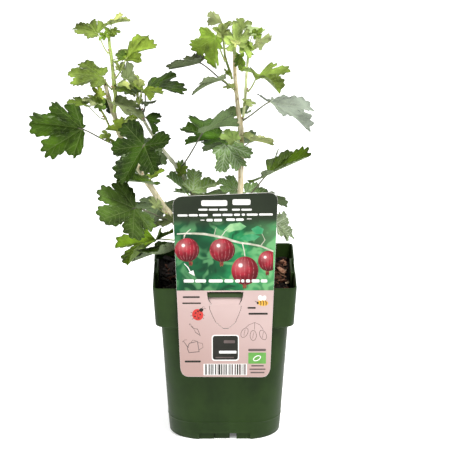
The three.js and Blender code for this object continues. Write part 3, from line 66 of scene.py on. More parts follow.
class Nodes:
    """A small helper for writing node trees."""

    def __init__(self, name):
        self.m = bpy.data.materials.new(name)
        self.m.use_nodes = True
        self.t = self.m.node_tree
        self.t.nodes.clear()
        self.out = self.t.nodes.new("ShaderNodeOutputMaterial")

    def node(self, kind, **settings):
        n = self.t.nodes.new(kind)
        for k, v in settings.items():
            setattr(n, k, v)
        return n

    def link(self, a, b):
        self.t.links.new(a, b)

    def put(self, socket, value):
        if hasattr(value, "is_linked") or hasattr(value, "links"):
            self.link(value, socket)
        else:
            socket.default_value = value

    def math(self, op, a, b=None, c=None, clamp=False):
        n = self.node("ShaderNodeMath", operation=op, use_clamp=clamp)
        for i, v in enumerate((a, b, c)):
            if v is not None:
                self.put(n.inputs[i], v)
        return n.outputs[0]

    def mix(self, fac, a, b, blend="MIX"):
        n = self.node("ShaderNodeMix", data_type="RGBA", blend_type=blend)
        self.put(n.inputs["Factor"], fac)
        self.put([s for s in n.inputs if s.name == "A" and s.type == "RGBA"][0], a)
        self.put([s for s in n.inputs if s.name == "B" and s.type == "RGBA"][0], b)
        return [s for s in n.outputs if s.type == "RGBA"][0]

    def noise(self, vector, scale, detail=3.0, rough=0.5, distortion=0.0):
        n = self.node("ShaderNodeTexNoise")
        self.link(vector, n.inputs["Vector"])
        n.inputs["Scale"].default_value = scale
        n.inputs["Detail"].default_value = detail
        n.inputs["Roughness"].default_value = rough
        n.inputs["Distortion"].default_value = distortion
        return n.outputs["Fac"]

    def ramp(self, fac, stops):
        n = self.node("ShaderNodeValToRGB")
        self.link(fac, n.inputs["Fac"])
        e = n.color_ramp.elements
        e[0].position, e[0].color = stops[0]
        e[1].position, e[1].color = stops[-1]
        for p, c in stops[1:-1]:
            x = e.new(p)
            x.color = c
        return n.outputs["Color"]

    def maprange(self, v, a, b, c, d, smooth=True):
        n = self.node("ShaderNodeMapRange", interpolation_type="SMOOTHSTEP" if smooth else "LINEAR")
        self.put(n.inputs["Value"], v)
        for k, x in zip(("From Min", "From Max", "To Min", "To Max"), (a, b, c, d)):
            self.put(n.inputs[k], x)
        return n.outputs["Result"]

    def obj(self):
        return self.node("ShaderNodeTexCoord").outputs["Object"]

    def scaled(self, vector, s):
        n = self.node("ShaderNodeMapping", vector_type="POINT")
        self.link(vector, n.inputs["Vector"])
        n.inputs["Scale"].default_value = s
        return n.outputs["Vector"]

    def principled(self, color, rough, bump=None, strength=0.3, distance=0.001, **extra):
        p = self.node("ShaderNodeBsdfPrincipled")
        self.put(p.inputs["Base Color"], color)
        self.put(p.inputs["Roughness"], rough)
        for k, v in extra.items():
            p.inputs[k.replace("_", " ")].default_value = v
        if bump is not None:
            b = self.node("ShaderNodeBump")
            b.inputs["Strength"].default_value = strength
            b.inputs["Distance"].default_value = distance
            self.link(bump, b.inputs["Height"])
            self.link(b.outputs["Normal"], p.inputs["Normal"])
            self.normal = b.outputs["Normal"]
        return p

    def finish(self, shader):
        self.link(shader.outputs[0], self.out.inputs["Surface"])
        return self.m


# ------------------------------------------------------------------ materials
def leaf_material(name, deep, mid, light, vein, rough, translucent, under=False, bumpy=0.6, side_strength=0.5, net_strength=0.22, gloss=0.12, vein_mix=0.8, vein_width=1.0):
    n = Nodes(name)
    o = n.obj()
    uv = n.node("ShaderNodeUVMap", uv_map="lobe").outputs["UV"]
    sep = n.node("ShaderNodeSeparateXYZ")
    n.link(uv, sep.inputs[0])
    t, d = sep.outputs[0], sep.outputs[1]
    # main veins: thin to nothing towards each lobe's tip
    width = n.maprange(t, 0.0, 1.0, 0.024 * vein_width, 0.007 * vein_width, smooth=False)
    main = n.math("SUBTRACT", 1.0, n.math("DIVIDE", d, width), clamp=True)
    # side veins leave the main vein at a slant
    slant = n.math("SUBTRACT", t, n.math("MULTIPLY", d, 1.15))
    wob = n.math("MULTIPLY", n.math("SUBTRACT", n.noise(o, 150.0, 3.0), 0.5), 0.16)
    saw = n.math("PINGPONG", n.math("ADD", slant, wob), 0.072)
    side = n.math("SUBTRACT", 1.0, n.math("DIVIDE", saw, 0.011 * vein_width), clamp=True)
    fade = n.maprange(d, 0.0, 0.30, side_strength, side_strength * 0.45)
    side = n.math("MULTIPLY", side, fade)
    # fine net
    vor = n.node("ShaderNodeTexVoronoi", feature="DISTANCE_TO_EDGE")
    n.link(o, vor.inputs["Vector"])
    vor.inputs["Scale"].default_value = 620.0
    net = n.maprange(vor.outputs["Distance"], 0.0, 0.10, 1.0, 0.0)
    veins = n.math("MAXIMUM", main, n.math("MAXIMUM", side, n.math("MULTIPLY", net, net_strength)))
    big = n.noise(o, 52.0, 2.0, 0.5)
    fine = n.noise(o, 190.0, 4.0, 0.6)
    body = n.mix(n.maprange(big, 0.36, 0.54, 0.0, 1.0), deep, mid)
    body = n.mix(n.maprange(big, 0.52, 0.68, 0.0, 0.8), body, light)
    body = n.mix(n.maprange(d, 0.02, 0.16, 0.22, 0.0), body, light)
    body = n.mix(n.math("MULTIPLY", n.maprange(fine, 0.45, 0.75, 0.0, 1.0), 0.35), body, light)
    # a darker margin: painted shade along the edge of the blade
    uv2 = n.node("ShaderNodeUVMap", uv_map="blade").outputs["UV"]
    sep2 = n.node("ShaderNodeSeparateXYZ")
    n.link(uv2, sep2.inputs[0])
    edge = n.maprange(sep2.outputs[0], 0.90, 1.0, 0.0, 0.5)
    body = n.mix(edge, body, deep)
    colour = n.mix(n.math("MULTIPLY", veins, vein_mix), body, vein)
    height = n.math("ADD", n.math("MULTIPLY", veins, 0.9 if under else -0.9), n.math("MULTIPLY", fine, 0.35))
    p = n.principled(colour, n.maprange(fine, 0.3, 0.7, rough - 0.06, rough + 0.08), bump=height, strength=bumpy, distance=0.0006)
    p.inputs["Specular IOR Level"].default_value = gloss if not under else 0.06
    p.inputs["Sheen Weight"].default_value = 0.0 if not under else 0.15
    tr = n.node("ShaderNodeBsdfTranslucent")
    n.link(colour, tr.inputs["Color"])
    mixer = n.node("ShaderNodeMixShader")
    mixer.inputs[0].default_value = translucent
    n.link(p.outputs[0], mixer.inputs[1])
    n.link(tr.outputs[0], mixer.inputs[2])
    n.link(mixer.outputs[0], n.out.inputs["Surface"])
    return n.m


def shade(c, f, towards=None, t=0.0):
    """Colour c in linear light, scaled by f and drawn towards another colour by t."""
    q = [min(max(v * f, 0.002), 0.92) for v in c[:3]]
    if towards is not None:
        q = [a + (b - a) * t for a, b in zip(q, towards[:3])]
    return (*q, 1.0)


ROUGH = {"dark": 0.40, "green": 0.44, "yellow": 0.48, "pale": 0.54, "grey": 0.56}
# leaves whose glossy sheen is painted in: near-white veins on a darker body
PAINTED_SHEEN_LEAVES = {"leaf_R13", "leaf_R18", "leaf_R18b", "leaf_R19", "leaf_R20", "leaf_R21"}
CLEAR = {"dark": 0.16, "green": 0.24, "yellow": 0.34, "pale": 0.36, "grey": 0.22}


def leaf_pair(o):
    """Top and underside materials of one leaf, from its own green."""
    tone, c = o["tone"], o["tint"]
    seen_under = o["side"] == "under"
    top = c if not seen_under else shade(c, 0.55)[:3]
    pale = srgb(196, 208, 150)
    painted_sheen = o["name"] in PAINTED_SHEEN_LEAVES
    # painted sheen: near-white veins over a darker body stand in for the glossy reflection
    if painted_sheen:
        a = leaf_material(o["name"] + "_top", shade(top, 0.30), shade(top, 0.55), shade(top, 1.0), shade(top, 1.4, srgb(226, 234, 214), 0.8), 0.5, 0.14, side_strength=1.0, net_strength=0.3, gloss=0.16, vein_mix=0.95, vein_width=1.9)
    else:
        a = leaf_material(o["name"] + "_top", shade(top, 0.34), shade(top, 0.95), shade(top, 2.1), shade(top, 1.9, pale, 0.26), ROUGH[tone], CLEAR[tone], gloss=0.14 if tone == "dark" else 0.10, vein_width=1.0, side_strength=0.85)
    und = c if seen_under else shade(c, 1.5, srgb(170, 186, 150), 0.30)[:3]
    b = leaf_material(o["name"] + "_under", shade(und, 0.6), shade(und, 1.0), shade(und, 1.25), shade(und, 1.5, pale, 0.3), 0.62, CLEAR[tone], under=True, side_strength=0.8, net_strength=0.5, vein_mix=0.7)
    return a, b


def stalk_material(name, a, b, c):
    n = Nodes(name)
    o = n.scaled(n.obj(), (1.0, 1.0, 0.35))
    f = n.noise(o, 160.0, 3.0, 0.55)
    g = n.noise(o, 900.0, 2.0, 0.6)
    col = n.mix(n.maprange(f, 0.35, 0.65, 0, 1), a, b)
    col = n.mix(n.math("MULTIPLY", n.maprange(g, 0.55, 0.75, 0, 1), 0.5), col, c)
    return n.finish(n.principled(col, n.maprange(g, 0.3, 0.7, 0.45, 0.6), bump=g, strength=0.35, distance=0.0004))


STALK = {
    "dark": stalk_material("stalk_old", srgb(80, 84, 62), srgb(106, 104, 82), srgb(126, 104, 90)),
    "green": stalk_material("stalk_green", srgb(120, 138, 70), srgb(146, 156, 92), srgb(160, 140, 104)),
    "yellow": stalk_material("stalk_young", srgb(150, 168, 84), srgb(172, 184, 108), srgb(184, 176, 124)),
    "pale": stalk_material("stalk_pale", srgb(168, 184, 110), srgb(190, 200, 138), srgb(200, 196, 150)),
    "grey": stalk_material("stalk_grey", srgb(104, 112, 80), srgb(130, 130, 100), srgb(140, 120, 104)),
}


def bark_material(name, base, light, dark, streak, grey):
    n = Nodes(name)
    o = n.obj()
    along = n.scaled(o, (1.0, 1.0, 0.10))
    a = n.noise(along, 620.0, 4.0, 0.6, 0.3)
    b = n.noise(o, 90.0, 3.0, 0.55)
    c = n.noise(n.scaled(o, (1.0, 1.0, 0.45)), 420.0, 2.0, 0.5)
    col = n.mix(n.maprange(a, 0.38, 0.62, 0, 1), base, light)
    col = n.mix(n.math("MULTIPLY", n.maprange(b, 0.48, 0.66, 0, 1), 0.6), col, streak)
    col = n.mix(n.math("MULTIPLY", n.maprange(c, 0.60, 0.70, 0, 1), 0.75), col, dark)
    col = n.mix(n.math("MULTIPLY", n.maprange(n.noise(o, 40.0, 1.0), 0.5, 0.7, 0, 1), 0.4), col, grey)
    h = n.math("ADD", n.math("MULTIPLY", a, 1.0), n.math("MULTIPLY", n.maprange(c, 0.58, 0.68, 0, 1), -0.6))
    return n.finish(n.principled(col, n.maprange(a, 0.3, 0.7, 0.6, 0.8), bump=h, strength=0.6, distance=0.0006))


BARK = {
    "cane_left": bark_material("bark_left", srgb(186, 176, 142), srgb(218, 208, 178), srgb(112, 96, 70), srgb(150, 150, 104), srgb(196, 192, 168)),
    "cane_middle": bark_material("bark_middle", srgb(180, 180, 152), srgb(208, 208, 186), srgb(112, 108, 82), srgb(150, 152, 118), srgb(196, 198, 180)),
    "cane_right": bark_material("bark_right", srgb(220, 202, 160), srgb(246, 236, 208), srgb(156, 128, 86), srgb(222, 196, 142), srgb(224, 214, 186)),
    "shoot_left": bark_material("shoot_left", srgb(162, 182, 88), srgb(192, 208, 124), srgb(120, 118, 62), srgb(150, 164, 84), srgb(180, 190, 124)),
    "shoot_right": bark_material("shoot_right", srgb(204, 214, 146), srgb(228, 234, 186), srgb(160, 158, 100), srgb(188, 192, 122), srgb(208, 212, 166)),
    "shoot_centre": bark_material("shoot_centre", srgb(112, 130, 58), srgb(148, 160, 84), srgb(90, 84, 44), srgb(124, 132, 62), srgb(150, 156, 100)),
    "side_shoot_left": bark_material("side_shoot_left", srgb(128, 140, 68), srgb(158, 166, 94), srgb(104, 92, 56), srgb(138, 140, 74), srgb(160, 164, 110)),
}
TIP_GREEN = bark_material("cane_tip_green", srgb(188, 200, 130), srgb(214, 222, 160), srgb(112, 110, 62), srgb(150, 158, 84), srgb(180, 186, 130))
CUT_WOOD = bark_material("cut_wood", srgb(66, 54, 40), srgb(96, 80, 58), srgb(32, 26, 20), srgb(70, 56, 38), srgb(90, 82, 70))
BUD = bark_material("bud_scale", srgb(150, 104, 70), srgb(190, 146, 104), srgb(98, 62, 42), srgb(168, 120, 78), srgb(180, 160, 130))
BRACT = bark_material("dry_bract", srgb(190, 172, 128), srgb(214, 200, 160), srgb(140, 116, 78), srgb(196, 176, 126), srgb(206, 196, 166))


def pot_material():
    n = Nodes("pot_plastic")
    o = n.obj()
    grain = n.noise(o, 2600.0, 2.0, 0.5)
    cloud = n.noise(o, 26.0, 4.0, 0.6)
    flow = n.noise(n.scaled(o, (1.0, 1.0, 0.16)), 70.0, 3.0, 0.6)
    dust = n.noise(o, 480.0, 5.0, 0.75)
    col = n.mix(n.maprange(cloud, 0.35, 0.65, 0, 1), srgb(28, 46, 13), srgb(37, 57, 19))
    col = n.mix(n.math("MULTIPLY", n.maprange(flow, 0.45, 0.7, 0, 1), 0.35), col, srgb(40, 61, 24))
    col = n.mix(n.math("MULTIPLY", n.maprange(dust, 0.66, 0.80, 0, 1), 0.22), col, srgb(96, 106, 80))
    geo = n.node("ShaderNodeNewGeometry")
    # lighter on sharp convex edges
    convex_edge_lighter = n.maprange(geo.outputs["Pointiness"], 0.52, 0.62, 0.0, 0.35)
    col = n.mix(convex_edge_lighter, col, srgb(78, 94, 62))
    rough = n.maprange(cloud, 0.3, 0.7, 0.36, 0.50)
    h = n.math("ADD", n.math("MULTIPLY", grain, 0.5), n.math("MULTIPLY", flow, 0.9))
    p = n.principled(col, rough, bump=h, strength=0.16, distance=0.0005)
    p.inputs["Specular IOR Level"].default_value = 0.14
    return n.finish(p)


def soil_material():
    n = Nodes("potting_soil")
    o = n.obj()
    a = n.noise(o, 150.0, 6.0, 0.7)
    b = n.noise(o, 700.0, 4.0, 0.7)
    # very dark browns: the soil's own colour, set darker still as painted shade for the shaded inside of the pot
    col = n.mix(n.maprange(a, 0.35, 0.65, 0, 1), srgb(8, 6, 4), srgb(22, 15, 10))
    col = n.mix(n.math("MULTIPLY", n.maprange(b, 0.60, 0.74, 0, 1), 0.35), col, srgb(58, 38, 26))
    h = n.math("ADD", a, n.math("MULTIPLY", b, 0.5))
    p = n.principled(col, n.maprange(b, 0.3, 0.7, 0.8, 0.95), bump=h, strength=1.0, distance=0.003)
    p.inputs["Specular IOR Level"].default_value = 0.1
    return n.finish(p)


def chip_material(name, a, b, c):
    n = Nodes(name)
    o = n.obj()
    st = n.scaled(o, (1.0, 0.25, 1.0))
    f = n.noise(st, 520.0, 4.0, 0.65)
    g = n.noise(o, 120.0, 2.0, 0.5)
    col = n.mix(n.maprange(f, 0.38, 0.62, 0, 1), a, b)
    col = n.mix(n.math("MULTIPLY", n.maprange(g, 0.5, 0.7, 0, 1), 0.7), col, c)
    p = n.principled(col, n.maprange(f, 0.3, 0.7, 0.7, 0.9), bump=f, strength=0.8, distance=0.0012)
    p.inputs["Specular IOR Level"].default_value = 0.2
    return n.finish(p)


CHIPS = [
    chip_material("bark_brown", srgb(48, 24, 14), srgb(84, 48, 32), srgb(28, 14, 9)),
    chip_material("bark_pinkish", srgb(120, 76, 56), srgb(170, 128, 104), srgb(84, 48, 34)),
    chip_material("bark_dark", srgb(14, 8, 5), srgb(30, 17, 11), srgb(9, 6, 4)),
    chip_material("bark_light", srgb(178, 150, 122), srgb(206, 184, 158), srgb(140, 110, 84)),
]
POT_MAT, SOIL_MAT = pot_material(), soil_material()


def card_material():
    n = Nodes("label_card")
    o = n.obj()
    fibre = n.noise(o, 1500.0, 4.0, 0.7)
    col = n.mix(n.maprange(fibre, 0.4, 0.6, 0, 1), srgb(226, 222, 216), srgb(240, 237, 232))
    p = n.principled(col, n.maprange(fibre, 0.3, 0.7, 0.5, 0.6), bump=fibre, strength=0.15, distance=0.0003)
    p.inputs["Specular IOR Level"].default_value = 0.15
    return n.finish(p)


CARD_MAT = card_material()

# ------------------------------------------------------------------ mesh helpers
def make_object(name, verts, faces, materials, index=None, uvs=None, smooth=True, sharp=50.0):
    me = bpy.data.meshes.new(name)
    me.from_pydata([tuple(v) for v in np.asarray(verts)], [], [tuple(int(i) for i in f) for f in faces])
    for m in materials:
        me.materials.append(m)
    if index is not None:
        me.polygons.foreach_set("material_index", np.asarray(index, np.int32))
    if smooth:
        me.polygons.foreach_set("use_smooth", np.ones(len(me.polygons), bool))
    loops = np.zeros(len(me.loops), np.int32)
    me.loops.foreach_get("vertex_index", loops)
    for key, data in (uvs or {}).items():
        layer = me.uv_layers.new(name=key)
        layer.data.foreach_set("uv", np.asarray(data, np.float32)[loops].ravel())
    me.update()
    if smooth and sharp:
        me.set_sharp_from_angle(angle=math.radians(sharp))
    ob = bpy.data.objects.new(name, me)
    scene.collection.objects.link(ob)
    return ob


def bezier(p, n):
    p = np.asarray(p, float)
    t = np.linspace(0, 1, n)[:, None]
    return (1 - t) ** 3 * p[0] + 3 * (1 - t) ** 2 * t * p[1] + 3 * (1 - t) * t * t * p[2] + t**3 * p[3]


def tube_mesh(points, radii, sides, ripple=None):
    """Closed tube: vertices and faces. ripple(i, k) scales a vertex's radius."""
    points = np.asarray(points, float)
    n = len(points)
    side = np.array([1.0, 0.0, 0.0])
    v = []
    for i in range(n):
        t = points[min(i + 1, n - 1)] - points[max(i - 1, 0)]
        t /= np.linalg.norm(t) + 1e-12
        side = side - t * (side @ t)
        side /= np.linalg.norm(side) + 1e-12
        other = np.cross(t, side)
        for k in range(sides):
            a = 2 * math.pi * k / sides
            s = ripple(i, k) if ripple else 1.0
            v.append(points[i] + radii[i] * s * (side * math.cos(a) + other * math.sin(a)))
    f = []
    for i in range(n - 1):
        for k in range(sides):
            a, b = i * sides + k, i * sides + (k + 1) % sides
            f.append((a, b, b + sides, a + sides))
    v.append(points[0])
    v.append(points[-1])
    lo, hi = n * sides, n * sides + 1
    for k in range(sides):
        f.append((lo, (k + 1) % sides, k))
        f.append((hi, (n - 1) * sides + k, (n - 1) * sides + (k + 1) % sides))
    return np.array(v), f


# ------------------------------------------------------------------ plant tables (millimetres)
STEMS = {
    "cane_left": [[-1.0, -7.0, 124.0, 3.2], [-1.37, -6.95, 128.48, 3.19], [-1.71, -6.92, 132.96, 3.17], [-2.3, -6.73, 137.48, 3.16], [-3.18, -6.1, 141.99, 3.14], [-4.08, -4.96, 146.42, 3.13], [-5.74, -4.07, 151.12, 3.11], [-8.93, -4.2, 156.46, 3.09], [-13.85, -5.55, 162.38, 3.06], [-19.78, -7.41, 168.78, 3.03], [-25.93, -9.0, 175.68, 3.0], [-32.55, -10.08, 183.54, 2.97], [-39.6, -10.97, 192.04, 2.94], [-45.92, -11.75, 199.9, 2.91], [-50.55, -12.5, 206.12, 2.88], [-53.85, -13.19, 211.11, 2.85], [-56.57, -13.74, 215.56, 2.82], [-59.39, -14.09, 220.09, 2.79], [-62.05, -14.24, 224.4, 2.76], [-64.62, -14.21, 228.64, 2.73], [-67.37, -14.0, 233.22, 2.7], [-70.52, -13.55, 238.47, 2.66], [-73.85, -12.9, 244.09, 2.61], [-77.09, -12.21, 249.51, 2.57], [-80.04, -11.6, 254.35, 2.52], [-82.83, -11.0, 258.83, 2.47], [-85.43, -10.4, 263.03, 2.43], [-87.78, -9.8, 266.94, 2.38], [-89.84, -9.2, 270.25, 2.34], [-91.69, -8.6, 273.46, 2.29], [-93.45, -8.0, 277.35, 2.25], [-95.11, -7.37, 282.46, 2.21], [-96.65, -6.73, 288.27, 2.16], [-98.12, -6.16, 293.87, 2.12], [-99.56, -5.72, 298.61, 2.06], [-100.98, -5.38, 302.85, 2.0], [-102.28, -5.12, 306.77, 1.94], [-103.38, -4.96, 310.51, 1.88], [-104.24, -4.93, 314.01, 1.83], [-104.97, -4.97, 317.29, 1.79], [-105.68, -5.0, 320.46, 1.75], [-106.39, -5.0, 323.5, 1.73], [-107.07, -5.0, 326.39, 1.72], [-107.74, -5.0, 329.25, 1.7], [-107.96, -5.0, 330.22, 1.7]],
    "shoot_left": [[-98.99, -11.0, 301.62, 1.55], [-98.47, -11.36, 305.56, 1.62], [-97.92, -11.74, 309.48, 1.69], [-97.57, -11.98, 313.52, 1.74], [-97.62, -11.94, 317.75, 1.75], [-98.02, -11.69, 322.07, 1.72], [-98.56, -11.3, 326.62, 1.68], [-99.05, -10.84, 331.59, 1.64], [-99.55, -10.22, 337.2, 1.59], [-100.07, -9.56, 343.0, 1.55], [-100.6, -9.0, 348.37, 1.5], [-101.16, -8.63, 353.16, 1.46], [-101.75, -8.35, 357.58, 1.42], [-102.26, -8.1, 361.61, 1.37], [-102.62, -7.8, 365.11, 1.31], [-102.86, -7.5, 368.06, 1.23], [-103.05, -7.2, 370.8, 1.15], [-103.19, -7.0, 372.7, 1.1]],
    "cane_middle": [[2.5, 10.5, 124.0, 2.5], [2.11, 10.58, 128.59, 2.49], [1.73, 10.68, 133.21, 2.48], [1.33, 10.66, 137.62, 2.46], [1.15, 10.3, 141.23, 2.43], [1.39, 9.56, 143.76, 2.38], [0.98, 8.99, 147.22, 2.33], [-1.21, 9.19, 153.74, 2.28], [-5.55, 10.34, 163.96, 2.22], [-10.87, 11.84, 175.76, 2.16], [-15.83, 13.0, 186.75, 2.1], [-20.03, 13.52, 196.31, 2.04], [-24.0, 13.74, 205.33, 1.98], [-27.82, 13.91, 213.67, 1.92], [-31.42, 14.2, 221.15, 1.87], [-34.72, 14.5, 227.72, 1.82], [-38.1, 14.8, 233.86, 1.78], [-41.98, 15.1, 240.04, 1.74], [-46.53, 15.4, 246.18, 1.69], [-51.27, 15.7, 252.16, 1.65], [-55.67, 16.0, 257.93, 1.6], [-59.65, 16.33, 263.6, 1.54], [-63.38, 16.67, 269.1, 1.48], [-66.64, 16.94, 274.17, 1.42], [-69.24, 17.08, 278.52, 1.37], [-71.22, 17.12, 282.15, 1.34], [-72.84, 17.08, 285.59, 1.32], [-74.34, 16.94, 289.36, 1.29], [-75.69, 16.67, 293.49, 1.26], [-76.81, 16.33, 297.66, 1.24], [-77.69, 16.0, 301.54, 1.2], [-78.23, 15.7, 304.94, 1.15], [-78.5, 15.4, 308.05, 1.08], [-78.73, 15.1, 311.11, 1.02], [-78.83, 15.0, 312.16, 1.0]],
    "cane_right": [[8.6, -0.5, 124.0, 3.05], [8.46, -0.44, 128.49, 3.04], [8.33, -0.39, 132.99, 3.02], [8.11, -0.32, 137.49, 3.01], [7.61, -0.27, 141.73, 2.98], [6.76, -0.26, 145.44, 2.96], [6.14, -0.17, 149.97, 2.92], [6.36, 0.13, 156.75, 2.89], [7.57, 0.68, 166.11, 2.84], [9.22, 1.35, 176.79, 2.8], [10.75, 2.0, 187.37, 2.75], [12.08, 2.63, 197.85, 2.71], [13.37, 3.27, 208.5, 2.66], [14.41, 3.84, 218.36, 2.61], [14.99, 4.28, 226.66, 2.57], [15.17, 4.62, 233.71, 2.52], [15.17, 4.88, 240.07, 2.48], [15.22, 5.04, 246.24, 2.44], [15.26, 5.07, 252.01, 2.41], [15.27, 5.03, 257.46, 2.38], [15.25, 5.0, 262.91, 2.35], [15.24, 5.03, 268.47, 2.32], [15.22, 5.07, 274.0, 2.3], [15.05, 5.04, 279.4, 2.26], [14.64, 4.86, 284.45, 2.22], [14.01, 4.56, 289.06, 2.16], [13.29, 4.22, 293.91, 2.09], [12.6, 3.9, 299.73, 2.03], [11.86, 3.6, 306.91, 1.95], [11.13, 3.3, 314.44, 1.87], [10.53, 3.0, 321.11, 1.8], [10.14, 2.7, 326.25, 1.75], [9.88, 2.4, 330.57, 1.71], [9.67, 2.1, 334.88, 1.66], [9.47, 1.78, 339.94, 1.62], [9.3, 1.44, 345.55, 1.58], [9.18, 1.14, 350.88, 1.54], [9.12, 0.96, 355.12, 1.48], [9.15, 0.93, 358.15, 1.39], [9.23, 0.97, 360.59, 1.29], [9.3, 1.0, 363.1, 1.2]],
    "shoot_right": [[17.22, 0.0, 293.58, 1.15], [17.44, -0.63, 296.58, 1.2], [17.66, -1.27, 299.6, 1.25], [17.9, -1.84, 302.55, 1.29], [18.16, -2.28, 305.26, 1.3], [18.46, -2.62, 307.63, 1.29], [18.76, -2.88, 310.3, 1.26], [19.02, -3.04, 313.93, 1.25], [19.27, -3.07, 318.9, 1.23], [19.5, -3.03, 324.28, 1.21], [19.71, -3.0, 328.94, 1.2], [19.89, -3.0, 332.3, 1.19], [20.05, -3.0, 334.98, 1.17], [20.24, -3.0, 337.72, 1.16], [20.51, -3.0, 341.1, 1.13], [20.84, -3.0, 344.84, 1.11], [21.2, -3.0, 348.68, 1.08], [21.59, -3.0, 352.39, 1.03], [22.0, -3.0, 356.0, 0.98], [22.43, -3.0, 359.58, 0.91], [22.86, -3.0, 363.16, 0.85]],
    "shoot_centre": [[6.95, -2.5, 329.77, 1.05], [6.52, -2.97, 331.67, 1.08], [6.09, -3.44, 333.57, 1.12], [5.6, -3.87, 335.53, 1.15], [4.98, -4.23, 337.59, 1.15], [4.23, -4.53, 339.73, 1.14], [3.46, -4.81, 341.93, 1.12], [2.75, -5.1, 344.15, 1.09], [2.04, -5.45, 346.33, 1.06], [1.38, -5.77, 348.58, 1.03], [0.82, -6.0, 351.07, 1.0], [0.41, -6.07, 354.02, 0.97], [0.11, -6.05, 357.23, 0.95], [-0.16, -6.0, 360.3, 0.91], [-0.44, -6.0, 362.86, 0.87], [-0.71, -6.0, 365.06, 0.81], [-0.97, -6.0, 367.14, 0.74], [-1.14, -6.0, 368.57, 0.7]],
    "side_shoot_left": [[-103.87, -12.5, 289.45, 0.9], [-104.98, -13.27, 292.38, 0.94], [-106.08, -14.04, 295.32, 0.97], [-107.21, -14.77, 298.14, 1.0], [-108.44, -15.45, 300.72, 0.99], [-109.76, -16.09, 303.11, 0.97], [-111.05, -16.67, 305.38, 0.93], [-112.16, -17.14, 307.59, 0.88], [-113.07, -17.47, 309.71, 0.83], [-113.89, -17.73, 311.76, 0.76], [-114.72, -18.0, 313.83, 0.7]],
}
